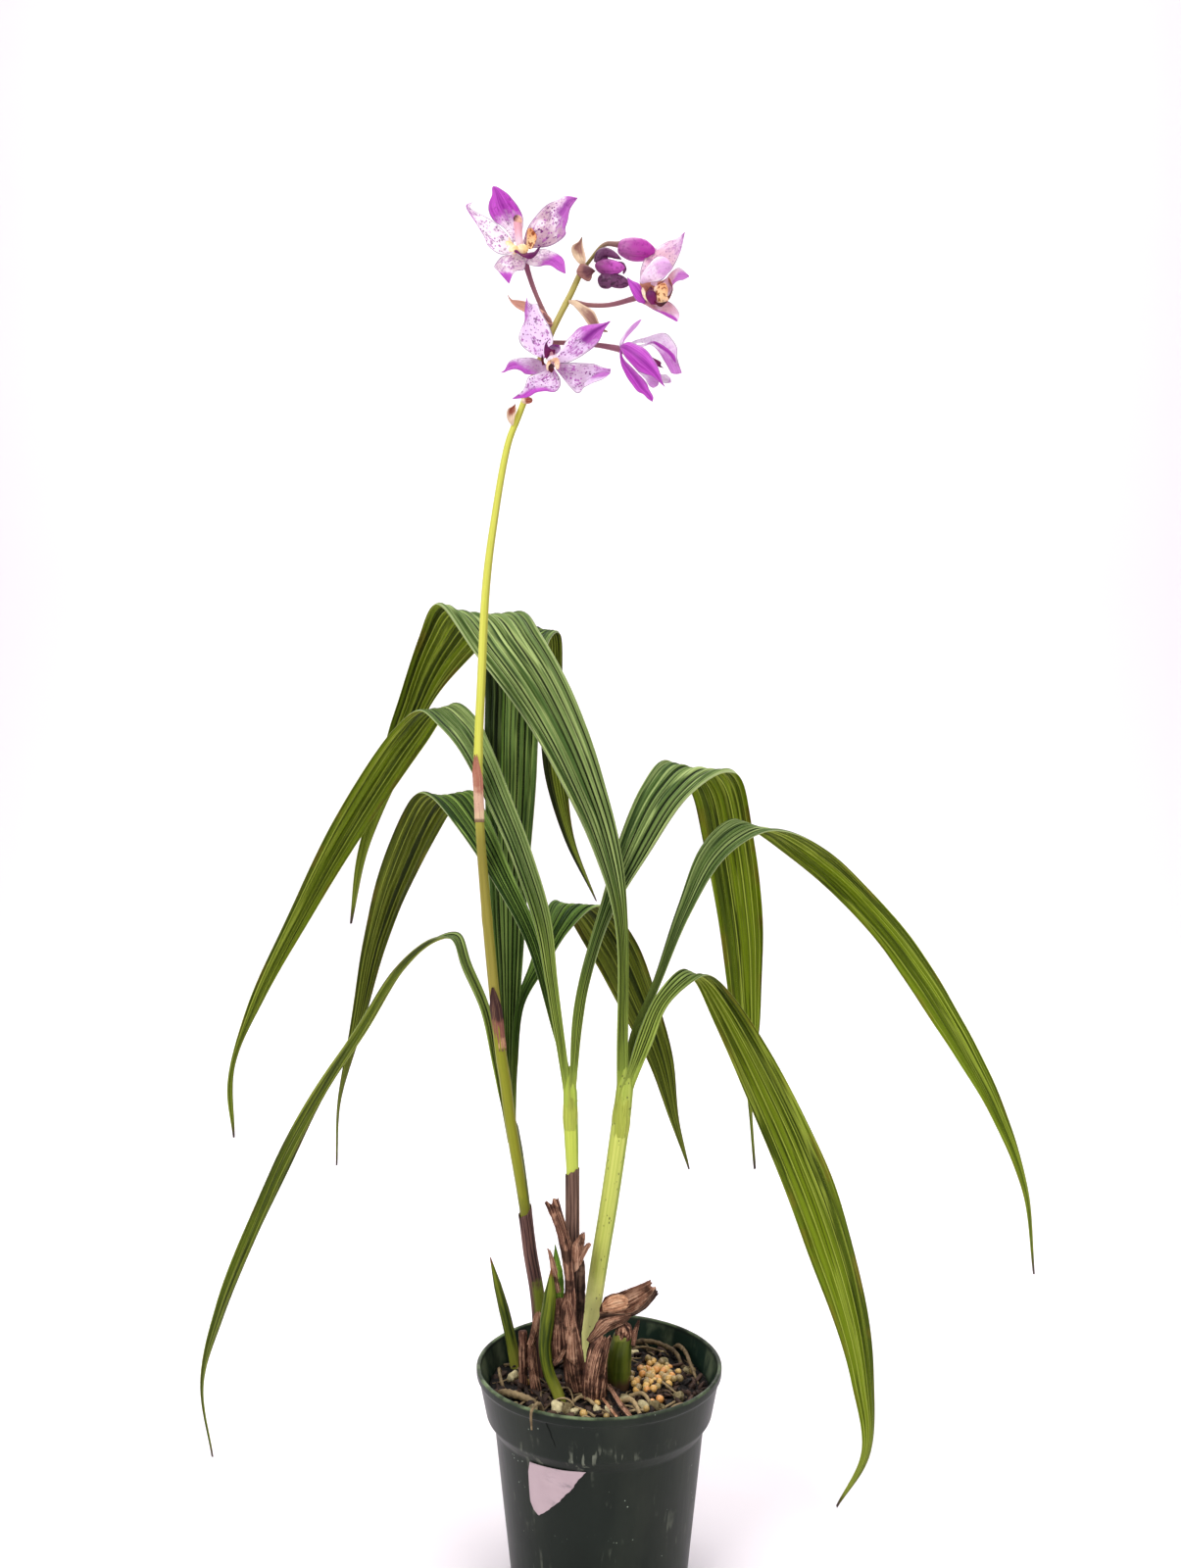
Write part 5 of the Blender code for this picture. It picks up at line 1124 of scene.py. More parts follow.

# The four open flowers' sepals and petals: thin waxy blades, lilac-white at their bases and freckled with
# purple, that turn magenta towards their tips; dusky veins run down their backs. Each one is its left
# edge and right edge as X and Z from the base to the tip, its depths Y, its cup, and its colouring: where
# along it the magenta sets in, how deep that is, how freckled it is, how much painted shade lies near its
# foot, how far the onset shifts from its middle to its right edge, and how strong the streak down its
# middle is.
TEPALS = {
    "bloom_1": {
        "dorsal": (((-37.7, 578.8), (-41.7, 584.8), (-46.8, 588.7), (-48.8, 592.6), (-48.6, 596.4),
            (-47.3, 599.9), (-47.3, 603), (-46.8, 603.9)), ((-34.7, 578.8), (-33.7, 590.5), (-39.6, 599.2),
            (-45.4, 603.5), (-46.5, 603.9)), (16, 17.5, 16.5, 17.5), 0.12, (0.3, 1, 0.9, 0.1, 0, 0.5)),
        "left_petal": (((-37.7, 573.9), (-41, 572.9), (-44.2, 573.1), (-49.4, 577.5), (-50.4, 580.3),
            (-53.8, 586.3), (-58.9, 595.6), (-56.2, 597.2)), ((-37.7, 578.6), (-46, 587.3), (-56.3, 593.6),
            (-57.2, 595), (-56.2, 597)), (15.5, 16, 17, 18.5), 0.1, (0.92, 0.8, 0.85, 0, 0.5, 0)),
        "right_petal": (((-33.4, 578.6), (-31.3, 585.2), (-25.2, 593.3), (-21.6, 595.8), (-18, 597.3),
            (-15.1, 599), (-9.4, 598.6)), ((-32.3, 575), (-19.8, 577.5), (-14.6, 582.3), (-14.9, 584.6),
            (-13.7, 588.2), (-12.6, 593.3), (-9.4, 598.3)), (15.5, 16.5, 16, 17),
            -0.1, (0.6, 0.9, 1, 0.8, -0.26, 0.6)),
        "low_left_sepal": (((-33.7, 571.7), (-32.2, 567.9), (-33.1, 564.6), (-35.7, 563.9), (-37.4, 562.1),
            (-39.2, 557.5)), ((-36.3, 573), (-42.9, 570.9), (-45.9, 565.2), (-43.8, 562.7), (-39.6, 557.7)),
            (15, 12.5, 10, 9), 0.15, (0.68, 1, 0.8, 0.6, -0.1, 0.2)),
        "low_right_sepal": (((-33.4, 571.7), (-29.4, 572.6), (-26.6, 574.5), (-24, 574.7), (-17.2, 571.9),
            (-15.4, 569.7), (-14.6, 563.8)), ((-33, 569.4), (-30.1, 567.7), (-26.6, 566.9), (-23.7, 567.5),
            (-21.2, 567.2), (-18.3, 565.3), (-15, 563.5)), (15, 14.5, 14, 13.5),
            0.12, (0.45, 0.95, 0.6, 0.65, -0.12, 0.2)),
    },
    "bloom_2": {
        "upper_petal": (((-24.9, 526), (-29, 527.8), (-34.6, 532.9), (-35.2, 535.7), (-34.2, 539),
            (-32.7, 542.2), (-32.6, 546.9), (-31.7, 552.3)), ((-22, 526.8), (-20.1, 534.3), (-21.4, 539.3),
            (-25.8, 547.1), (-27.1, 549.8), (-29.7, 549.6), (-31.2, 551), (-31.6, 552.2)),
            (12.5, 13.5, 12.5, 12, 11), 0.08, (0.74, 0.85, 1, 0, 0.2, 0.3)),
        "right_petal": (((-20.1, 524.7), (-16.4, 530.8), (-14.2, 534.7), (-7.9, 540.6), (2.2, 542.2),
            (4.9, 543)), ((-18.3, 523.2), (-13.1, 524.6), (-0.8, 533.1), (2.5, 539.3), (5.1, 542.7)),
            (13, 14, 15, 14.5, 14), -0.12, (0.46, 0.9, 0.95, 0, 0, 1)),
        "left_sepal": (((-22.7, 520.6), (-26.4, 519.3), (-32.4, 519.4), (-34.2, 520.7), (-36.8, 521.5),
            (-39.8, 520.9), (-41.6, 520), (-43.3, 519.8)), ((-22.7, 523.2), (-28.3, 526.3), (-39.1, 525.2),
            (-41.6, 521.1), (-43.3, 519.9)), (13, 13.5, 13.5, 13), 0.15, (0.38, 0.9, 0.6, 0.8, 0.3, 0.1)),
        "low_sepal": (((-19.7, 521.6), (-16.8, 516.2), (-17.1, 513.1), (-18.9, 511), (-23.4, 510.6),
            (-27.4, 509.9), (-30.7, 507.8), (-37.5, 506.6)), ((-22.7, 520.8), (-27.9, 518.8),
            (-30.8, 517.4), (-32.9, 511.3), (-37.7, 506.9)), (12.5, 11, 9, 7.5),
            0.1, (0.6, 1, 1, 0.5, 0.3, 0.1)),
        "low_petal": (((-19.7, 524), (-14.2, 524), (-10.1, 524.4), (-1.9, 523.3), (1.8, 521.9),
            (5.3, 521.3)), ((-19, 521.4), (-9.9, 510.9), (-8.2, 511.2), (-6.4, 513.4), (2.1, 517),
            (4.9, 519.2)), (13, 13, 12.5, 12), 0.08, (0.74, 0.6, 1, 0.6, 0, 0)),
        "petal_fold": (((-6.5, 515.1), (-4.2, 516.9), (0.3, 519.4), (4.4, 519.8)), ((-6.6, 513.4),
            (-2.3, 515.1), (2.1, 516.8), (5, 519.1)), (12.3, 11.6, 11.4, 11.8),
            0.3, (0.5, 0.8, 0.2, 0, 0.25, 0)),
    },
    "bloom_3": {
        "top_petal": (((18.1, 562.5), (18.6, 567.9), (21.7, 575.2), (30.4, 581.1), (34.6, 582.3),
            (38.3, 585.1)), ((23.2, 562.5), (31.7, 567), (33.4, 570), (36.4, 576.4), (38.4, 584.9)),
            (19, 21, 22, 21), -0.1, (0.84, 0.85, 0.6, 0.65, -0.12, 0.3)),
        "pale_petal": (((17.8, 560.8), (18.9, 563.2), (24, 568.9), (27, 569.8), (30.1, 568.9),
            (32.4, 565.4)), ((20.4, 560.5), (25.5, 559.1), (27.8, 559.8), (32.3, 564.9)),
            (16, 11.5, 10, 11.5), -0.3, (0.5, 0.5, 0.3, 0, 0, 0)),
        "right_petal": (((26.3, 559.4), (30.5, 563.7), (32.9, 567.1), (35.7, 569), (40.4, 566.1)),
            ((27.8, 554), (31.4, 555.6), (32.7, 559.8), (34.9, 562.7), (38.1, 564), (40.4, 565.6)),
            (18, 17, 19, 21, 22.5), 0.25, (0.6, 0.8, 0.2, 0.95, -0.3, 0)),
        "left_sepal": (((20.2, 551.3), (16.9, 552.2), (13.3, 558.9), (12.5, 562.8)), ((20.6, 553.4),
            (19.4, 557), (17.6, 559.9), (14.9, 561.2), (12.7, 562.9)), (16.5, 15.5, 15.5, 16),
            -0.35, (-0.2, 1, 0.1, 0, 0, 0.4)),
        "low_petal": (((19.2, 553.4), (30, 552.1), (33.8, 549.4), (35.6, 546.1), (35, 543.4)),
            ((19.4, 551.5), (22.3, 549.2), (30, 545.2), (34.3, 543.3)), (17, 15, 15, 16),
            0.3, (0.7, 1, 0.2, 1, -0.5, 0)),
    },
    "bloom_4": {
        "narrow_sepal": (((9.1, 532.7), (9.2, 535.1), (12.5, 539.9), (17.2, 543.6), (18.8, 544.1)),
            ((11.1, 532.7), (11.1, 535), (17.4, 541.7), (18.9, 543.9)), (20, 18, 16, 15),
            0.25, (0.3, 0.7, 0.1, 0, -0.3, 0)),
        "big_sepal": (((10.1, 534.2), (13.7, 534.4), (20.3, 530.3), (25.4, 523.1), (28, 515.3), (29, 513)),
            ((9.7, 532), (11.3, 528), (17.3, 520.6), (20.3, 518.7), (23.3, 517.7), (28.9, 512.9)),
            (19, 15, 12.5, 11.5, 11), -0.35, (-0.3, 1, 0, 0, 0, 0.6)),
        "low_sepal": (((10.2, 531.7), (10.8, 528.4), (21.1, 516.8), (22.3, 513.6), (24.1, 509.9),
            (23.7, 508.1)), ((9.2, 532.7), (9.5, 526.9), (11, 522), (16.8, 513.2), (19.5, 511.5),
            (21.6, 509.3), (23.6, 507.9)), (20, 18, 17, 16), -0.3, (-0.3, 1, 0, 0, 0, 0.5)),
        "pale_petal": (((14.4, 527.8), (18.7, 523.9), (22.4, 521.3), (26.6, 518.7), (26.4, 516.1)),
            ((14.1, 526.5), (17.5, 522.1), (20.5, 518.9), (22.4, 515.8), (24.2, 514.8), (26, 515.5)),
            (20, 19, 18), 0.1, (0.6, 0.7, 0, 0, 0, 0)),
        "back_petal": (((12, 534.2), (15.8, 537.2), (20.7, 539.2), (30.1, 541.9), (35.3, 535.6),
            (35.4, 531.4), (37.4, 524.1)), ((12.6, 533), (17.6, 536.3), (20.7, 537), (23.9, 536.4),
            (26.6, 534.4), (32.6, 524)), (21, 24, 27, 28, 27), 0.35, (0.64, 0.8, 0.2, 0, -0.1, 0)),
        "far_petal": (((12.6, 533.6), (20.7, 535.8), (24.4, 537.3), (32.2, 533.2), (34.3, 530.6),
            (34.7, 528.3)), ((12.9, 532.7), (20.7, 534.5), (24.1, 536.1), (27.5, 534.2), (30.6, 532.3),
            (34.4, 528.1)), (21, 23, 24.5, 25.5), 0.2, (0.35, 1, 0.1, 0, 0, 0.6)),
        "curl_petal": (((23.7, 523.5), (27.7, 521.8), (29.8, 521.6), (31.7, 519.9), (32.2, 517.7)),
            ((24, 521.6), (29.2, 517.5), (31, 517.4), (32.1, 517.5)), (22, 21, 19.5),
            0.3, (0.7, 0.6, 0.2, 0.3, 0, 0)),
    },
}
PETAL_ROWS, PETAL_COLUMNS = 44, 23


def between_edges(left, right, depths, rows, columns):
    """A blade's middle surface between its edges, which are given as X and Z from base to tip, at the
    depths Y read off along the way. Also its facing, its half width, and its own coordinates: v from -1
    to 1 across and t from 0 to 1 along."""
    t = np.linspace(0, 1, rows)
    course = smooth_route(np.column_stack([np.linspace(0, 1, len(depths)), depths]), rows * 3)
    depth = np.interp(t, course[:, 0], course[:, 1])
    edges = [smooth_route(edge, rows) for edge in (left, right)]
    edge_a, edge_b = (np.column_stack([edge[:, 0], depth, edge[:, 1]]) for edge in edges)
    across = edge_b - edge_a
    facing = unit(np.cross(across, np.gradient((edge_a + edge_b) / 2, axis=0)))[:, None, :]
    v = np.linspace(-1, 1, columns)[None, :]
    places = edge_a[:, None, :] + across[:, None, :] * (v[..., None] + 1) / 2
    return places, facing, np.linalg.norm(across, axis=1)[:, None] / 2, v, t[:, None]


def petal_skin(left, right, depths, cup, look, seed):
    """A sepal or petal: its middle line sinks by cup half-widths, a fine groove runs down it, faint ribs
    run beside that, and the margins wave a little."""
    places, facing, half, v, t = between_edges(left, right, depths, PETAL_ROWS, PETAL_COLUMNS)
    push = -cup * half * (1 - v**2) * 1.5 - 0.12 * np.exp(-(v / 0.1) ** 2) * np.clip(half / 2, 0, 1)
    wave = ripple(places, 9, seed) * (0.15 + 0.55 * np.abs(v) ** 2.5) * np.clip(half / 5, 0, 1)
    ribs = 0.05 * np.cos(v * 5.5 * math.pi) * np.clip(half / 3, 0, 1)
    thick = 0.5 * (1 - 0.65 * np.abs(v) ** 3) * np.clip(half / 1.2, 0.3, 1)
    blush, deep, freckled, dusk, tilt, streak = look
    return blade_skin(places + facing * (push + wave + ribs)[..., None], facing, thick, rim=np.abs(v),
                      share=t, onset=blush + tilt * v, deep=deep, freckled=freckled, dusk=dusk,
                      keel=streak * np.exp(-(((v - 0.08) / 0.33) ** 2)))


def petal_finish(name, pale_low, pale_high, dusk_low, dusk_high):
    """Petal: pale, then magenta past the onset mark, with a deep streak where the keel mark says. Fine
    freckles and wandering lines lie on it, a painted shade near its foot and a thin grey margin."""
    finish = Finish(name, 0.42)
    pattern, here = finish.pattern, finish.here
    side, rim, share, onset, deep, freckled, dusk, keel = finish.marks(
        "side", "rim", "share", "onset", "deep", "freckled", "dusk", "keel")
    veins = grain(pattern, 17, 1.3, 3.0)
    along = use(RAGGED, share, here, 190.0, 0.5) + (veins * 0.3 - 0.15)
    beyond = along - onset
    past = slope(beyond, -0.1, 0.16) * deep
    body = blend(cloud(here, 150.0), pale_low, pale_high)
    body = blend(slope(rim, 0.74, 0.94, 0.0, 0.7), body, (0.985, 0.955, 0.98))
    # Painted shade: blades that lie in the flower's shade darken near their foot, by the amount their mark
    # gives.
    cast = slope(cloud(here, 120.0), 0.32, 0.58) * slope(along, 0.95, 0.4)
    cast = cast * (dusk * 0.95)
    body = blend(cast, body, blend(veins, dusk_low, dusk_high))
    magenta = blend(slope(veins, 0.3, 0.7), (0.6, 0.1, 0.61), (0.82, 0.35, 0.83))
    body = blend(past, body, magenta)
    dots = scatter(here, 800.0)
    size = cloud(here, 330.0, 2.0) * 0.95 - 0.2
    dot = slope(dots - size, 0.04, -0.06)
    winding = grain(pattern, 9, 6, 2.0, 0.6)
    line = slope(abs(winding - 0.5), 0.08, 0.02, 0.0, 0.85)
    line = line * slope(cloud(here, 260.0, 2.0), 0.47, 0.58)
    mark = calc("MAXIMUM", dot, line) * slope(rim, 0.99, 0.82)
    mark = mark * (freckled * (past * -0.5 + 1.0))
    ink = blend(slope(cloud(here, 420.0), 0.45, 0.62), (0.66, 0.32, 0.66), (0.4, 0.07, 0.4))
    body = blend(mark, body, ink)
    streak = slope(veins, 0.58, 0.74) * (past * 0.6 + 0.12)
    body = blend(streak, body, (0.42, 0.08, 0.5))
    deepest = keel * slope(beyond, -0.16, 0.1)
    body = blend(deepest, body, (0.47, 0.07, 0.5))
    under = blend(slope(veins, 0.3, 0.7), (0.6, 0.3, 0.62), (0.83, 0.62, 0.84))
    body = blend(side, body, under)
    body = blend(slope(rim, 0.9, 0.98, 0.0, 0.8), body, (0.5, 0.36, 0.52))
    finish.set("Sheen Weight", 0.2)
    return finish.done(body, veins, 0.00025)


# Each flower's pale petal ground, low and high, and the dark and light colours of the shade painted near
# the petals' feet.
PETAL_TONES = {
    "bloom_1": ((0.94, 0.85, 0.91), (0.985, 0.955, 0.975), (0.5, 0.3, 0.4), (0.76, 0.56, 0.65)),
    "bloom_2": ((0.85, 0.7, 0.89), (0.965, 0.9, 0.965), (0.45, 0.26, 0.42), (0.68, 0.5, 0.64)),
    "bloom_3": ((0.9, 0.73, 0.87), (0.97, 0.9, 0.95), (0.74, 0.45, 0.51), (0.88, 0.66, 0.69)),
    "bloom_4": ((0.91, 0.8, 0.93), (0.985, 0.95, 0.985), (0.6, 0.42, 0.55), (0.8, 0.62, 0.75)),
}
for number, (bloom, blades) in enumerate(TEPALS.items()):
    skins = [petal_skin(*blade, 100 + 10 * number + n) for n, blade in enumerate(blades.values())]
    lay(f"{bloom}_petals", skins, petal_finish(f"{bloom}_petal_skin", *PETAL_TONES[bloom]), "petal_magenta",
        f"{bloom}_tepals")

# The flowers' lips: a dark-purple middle lobe or hood, side lobes that curl in round the column, and a
# cream and orange callus between them; each lobe is its two edges, depths, cup and colour.
LIP_LOBES = {
    "bloom_1": {
        "mid_lobe": (((-37.5, 572.9), (-36, 572.8), (-34.2, 570.9), (-32.7, 570), (-31.3, 571.1),
            (-28.5, 571.8), (-26.8, 573.7), (-25.3, 575)), ((-37.5, 572.3), (-34.4, 570.1), (-30.3, 568.4),
            (-27.8, 569.9), (-25.2, 574.9)), (11, 9.8, 9.4, 9.6, 10.4, 11), -0.3, "purple"),
        "right_side_lobe": (((-32.2, 574.5), (-31.6, 577.8), (-31.6, 580.8), (-31, 582.2), (-30, 582.6),
            (-29.1, 582.1)), ((-29.7, 573.8), (-28.6, 575), (-27.2, 578.9), (-29, 582)),
            (12.5, 11.5, 10.8, 10.6), 0.45, "amber"),
        "front_flap": (((-39.3, 575.9), (-37.7, 574), (-36.9, 572.1), (-37.8, 571.7)), ((-39.3, 575.8),
            (-40.2, 574.2), (-40.7, 572.6), (-38.4, 571.7)), (11.4, 11, 10.6), 0.2, "white"),
        "left_side_lobe": (((-37.5, 572.4), (-38.9, 573.6), (-39.7, 577.9), (-39.5, 579)), ((-36.1, 573.8),
            (-36.9, 574.7), (-37.7, 575.9), (-39.4, 579)), (12.5, 11.5, 11), 0.3, "cream"),
    },
    "bloom_2": {
        "left_hood": (((-22.5, 523.5), (-23.6, 524.7), (-23.5, 529.3), (-21.5, 532)), ((-19.6, 525.7),
            (-19, 527.6), (-19.9, 527.3), (-21.7, 528.2), (-22.4, 530), (-21.3, 531.8)),
            (8, 5.6, 4.6, 4.4, 4.6), 0.4, "purple"),
        "right_hood": (((-21.8, 525.7), (-21.7, 528.8), (-19.9, 529.6), (-18.1, 529.6)), ((-18.1, 525.7),
            (-16.6, 526.7), (-17, 529.1), (-17.9, 529.5)), (8, 6, 5, 5.2), 0.5, "orchid"),
        "pale_fold": (((-23.3, 523.3), (-21.4, 524.9), (-19.2, 525.2), (-17.3, 526.5), (-16.7, 528)),
            ((-21.8, 523.3), (-19.9, 524), (-18.1, 524.4), (-16.7, 525.8), (-16.5, 527.8)),
            (7.6, 5.6, 5, 5), 0.3, "white"),
        # The hollow lobe is a dark maroon blade put where the callus has a hole: painted shade for the
        # shaded cavity.
        "hollow": (((-20.6, 518.3), (-19.8, 519.1), (-19.7, 520.7), (-20.6, 522.2)), ((-20.9, 518.3),
            (-21.9, 519.1), (-22, 520.9), (-20.8, 522.2)), (8.2, 7.2, 7.4), -0.3, "maroon"),
        "horn": (((-24.8, 521.8), (-25.1, 523.5), (-25.1, 524.8), (-24.7, 526)), ((-23.3, 522),
            (-23.9, 522.9), (-24.1, 524), (-24.6, 526)), (9, 7.6, 7), 0.3, "maroon"),
    },
    "bloom_3": {
        "throat": (((18.1, 560.6), (23.1, 561.5), (27.8, 561.9), (30.9, 563.4), (32.4, 560.6)),
            ((18.5, 555.1), (21.2, 552.6), (26.2, 551.4), (30.5, 552.9), (32.8, 557.5)),
            (17, 17.5, 17.5, 17), 0.5, "salmon"),
        "callus_plate": (((25.8, 551.2), (25.2, 553.9), (25.4, 556.7), (27.1, 558.5), (29, 558.6)),
            ((29.1, 550.8), (29.8, 552), (30.2, 556.7), (29.2, 558.5)), (13.5, 12.2, 11.6, 12),
            -0.35, "amber"),
        "dark_lobe": (((22.9, 550), (21, 552.1), (20.8, 553.8), (21.7, 555.5), (23.3, 555.6)), ((25.3, 550),
            (25.2, 553.5), (24.8, 554.9), (23.5, 555.6)), (13.6, 12.4, 12), -0.3, "purple"),
        "rim_lobe": (((24.4, 551.4), (25.9, 549.9), (27.8, 549.9), (30, 550.6)), ((24.6, 550.6),
            (25.9, 548.4), (27.4, 548), (30.1, 550.3)), (12.6, 11, 10.6, 11), -0.2, "maroon"),
        "pale_teeth": (((20.2, 552.1), (19.1, 554), (18.7, 556.2), (19.1, 557.2)), ((22, 551.1),
            (20.6, 552.9), (20.4, 555.1), (19.6, 557)), (13.4, 12.6, 12.6), 0.2, "cream"),
    },
    "bloom_4": {
        "dark_lip": (((23.6, 529), (27.7, 526.4), (27.6, 525.1), (28.8, 523.9)), ((23.9, 527.8),
            (25.5, 525.8), (26.4, 524.5), (28.7, 523.8)), (20, 19.5, 19.2), 0.2, "purple"),
    },
}
LOBE_ROWS, LOBE_COLUMNS = 30, 17


def lobe_skin(left, right, depths, cup, seed):
    """A small fleshy blade with rounded edges, its middle sunk by cup half-widths."""
    places, facing, half, v, t = between_edges(left, right, depths, LOBE_ROWS, LOBE_COLUMNS)
    push = -cup * half * (1 - v**2) * 1.5 + 0.15 * ripple(places, 4, seed) * np.clip(half, 0, 1)
    thick = 0.75 * np.sqrt(np.clip(1.02 - np.abs(v) ** 2.5, 0, 1)) * np.clip(half / 1.2, 0.3, 1)
    return blade_skin(places + facing * push[..., None], facing, thick, share=t)


def ball_skin(middle, sizes, turn_degrees=0.0, lobes=0, depth=0.0, beak=0.0, seed=1, rough=0.02, rows=26,
              columns=36):
    """An egg with three half sizes, its long way X turned round Y by turn_degrees. lobes seams run from
    end to end, depth deep, and its far end is drawn out by beak half-lengths."""
    polar = np.linspace(0.06, math.pi - 0.06, rows)[::-1, None]
    around = np.arange(columns)[None, :] / columns * 2 * math.pi
    reach = np.sin(polar) * (1 - depth * np.exp(-((np.sin(lobes * around / 2)) / 0.22) ** 2) * (lobes > 0))
    long_way = np.cos(polar) + beak * np.clip(np.cos(polar), 0, 1) ** 6
    ways = np.stack([long_way + 0 * around, reach * np.cos(around), reach * np.sin(around)], -1)
    ways = ways * (1 + rough * ripple(ways, 1.2, seed))[..., None] * np.asarray(sizes, float)
    spots = ways @ turning(math.radians(turn_degrees), 0, 2).T + np.asarray(middle, float)
    return grid_skin(spots, around=True, caps="fan", share=(1 + np.cos(polar)) / 2)


def flesh_finish(name, foot, tip, spot, spotted, roughness=0.35):
    """Waxy flower flesh: foot turns into tip along the piece, with fine lengthwise streaks; where spotted
    is over 0 it is blotched with spot."""
    finish = Finish(name, roughness)
    pattern, here = finish.pattern, finish.here
    share = finish.mark("share")
    streak = grain(pattern, 14, 1.5, 3.0)
    along = use(RAGGED, share, here, 300.0, 0.5)
    body = blend(slope(along, 0.15, 0.85), foot, tip)
    body = blend(slope(streak, 0.52, 0.72) * 0.35, body, spot)
    blotch = slope(cloud(here, 620.0, 2.0), 0.62 - 0.14 * spotted, 0.68 - 0.12 * spotted)
    body = blend(blotch * min(1.0, spotted), body, spot)
    return finish.done(body, streak, 0.0002)


# Each lip tissue's name, its colour at the foot, at the tip and of its blotches, and how blotched it is.
LIP_LOOKS = {
    "purple": ("dark_lip", (0.45, 0.1, 0.34), (0.36, 0.06, 0.32), (0.22, 0.03, 0.2), 0.3),
    "orchid": ("pink_lip", (0.82, 0.66, 0.84), (0.5, 0.16, 0.48), (0.36, 0.08, 0.38), 0.3),
    "white": ("white_lip", (0.97, 0.93, 0.96), (0.94, 0.87, 0.94), (0.74, 0.5, 0.62), 0.3),
    "maroon": ("maroon_lip", (0.34, 0.07, 0.12), (0.2, 0.04, 0.09), (0.12, 0.02, 0.05), 0.3),
    "amber": ("amber_lip", (0.97, 0.82, 0.62), (0.9, 0.63, 0.42), (0.56, 0.27, 0.13), 0.95),
    "cream": ("cream_lip", (0.98, 0.93, 0.76), (0.95, 0.85, 0.74), (0.78, 0.5, 0.38), 0.3),
    "salmon": ("salmon_lip", (0.9, 0.66, 0.54), (0.84, 0.56, 0.46), (0.68, 0.38, 0.28), 0.4),
}
LIP_FINISHES = {tint: flesh_finish(*look) for tint, look in LIP_LOOKS.items()}
CALLUS_BALLS = {
    "bloom_1": (((-37.4, 11.6, 573.4), (2.4, 1.5, 1.9), 10), ((-33.4, 11.6, 573.8), (2.6, 1.5, 2.0), -8),
                ((-39.0, 11.9, 575.8), (1.2, 0.9, 2.3), 60)),
    "bloom_2": (((-22.0, 8.4, 521.6), (2.3, 1.3, 1.0), 80), ((-18.3, 8.4, 522.4), (2.6, 1.4, 1.2), 95),
                ((-19.8, 8.6, 524.2), (1.9, 1.1, 0.9), 0)),
    "bloom_3": (((26.0, 13.6, 556.8), (2.0, 1.4, 1.6), 20), ((29.0, 12.8, 552.0), (1.6, 1.2, 1.2), 0)),
    "bloom_4": (((23.6, 19.4, 523.2), (1.5, 1.3, 1.7), 50),),
}
COLUMNS = {
    "bloom_1": (((-34.6, 14.4, 575.0), (-35.2, 12.4, 580), (-35.6, 11.2, 585.4)), (1.6, 1.7, 1.9),
                ((-35.6, 10.4, 586.2), (2.0, 1.9, 1.8), -38)),
    "bloom_2": (((-20.8, 10.8, 523.4), (-20.8, 9.4, 526), (-20.6, 8.2, 528)), (1.6, 1.7, 1.7),
                ((-20.4, 9.2, 528.0), (1.3, 1.2, 1.1), 0)),
    "bloom_3": (((24.2, 17.4, 560.2), (25.2, 15.6, 562), (26.4, 13.8, 563.2)), (1.4, 1.4, 1.5),
                ((26.8, 13.0, 563.2), (1.6, 1.4, 1.2), -20)),
    "bloom_4": (((15.4, 21, 530.6), (18.6, 21.6, 528.8), (21.4, 21.8, 527.4)), (1.5, 1.4, 1.4),
                ((22.0, 21.4, 527.0), (1.6, 1.4, 1.3), -30)),
}
# The two callus colourings, in the same order.
CALLUS_LOOKS = {
    "yellow": ("yellow_callus", (0.98, 0.92, 0.76), (0.95, 0.8, 0.54), (0.75, 0.48, 0.2), 0.3),
    "peach": ("peach_callus", (0.98, 0.86, 0.74), (0.95, 0.76, 0.6), (0.72, 0.36, 0.24), 0.3),
}
CALLUS_FINISHES = {tint: flesh_finish(*look) for tint, look in CALLUS_LOOKS.items()}
YELLOW_CALLUS_BLOOMS = ("bloom_1", "bloom_4")
COLUMN_ROWS = 20
column_flesh = flesh_finish("column_flesh", (0.95, 0.84, 0.9), (0.88, 0.64, 0.69), (0.76, 0.46, 0.56), 0.2)
cap_flesh = flesh_finish("cap_flesh", (0.36, 0.08, 0.2), (0.93, 0.72, 0.62), (0.3, 0.05, 0.12), spotted=0.5)
for number, (bloom, lobes) in enumerate(LIP_LOBES.items()):
    for tint in dict.fromkeys(lobe[-1] for lobe in lobes.values()):
        skins = [lobe_skin(*lobe[:-1], 140 + 10 * number + n) for n, lobe in enumerate(lobes.values())
                 if lobe[-1] == tint]
        lay(f"{bloom}_{tint}_lobes", skins, LIP_FINISHES[tint], "lip_purple", f"{bloom}_lip")
    balls = [ball_skin(*ball, lobes=2, depth=0.12, seed=n) for n, ball in enumerate(CALLUS_BALLS[bloom])]
    callus = CALLUS_FINISHES["yellow" if bloom in YELLOW_CALLUS_BLOOMS else "peach"]
    lay(f"{bloom}_callus", balls, callus, "lip_purple", f"{bloom}_lip")
    route, radii, cap = COLUMNS[bloom]
    column = tube_skin(route, radii, sides=24, count=COLUMN_ROWS, reference=(0.2, 1, 0.1),
                       share=ramp(COLUMN_ROWS))
    lay(f"{bloom}_column", [column], column_flesh, "petal_magenta", f"{bloom}_tepals")
    lay(f"{bloom}_anther_cap", [ball_skin(*cap, lobes=2, depth=0.25, beak=0.2, seed=9)], cap_flesh,
        "petal_magenta", f"{bloom}_tepals")

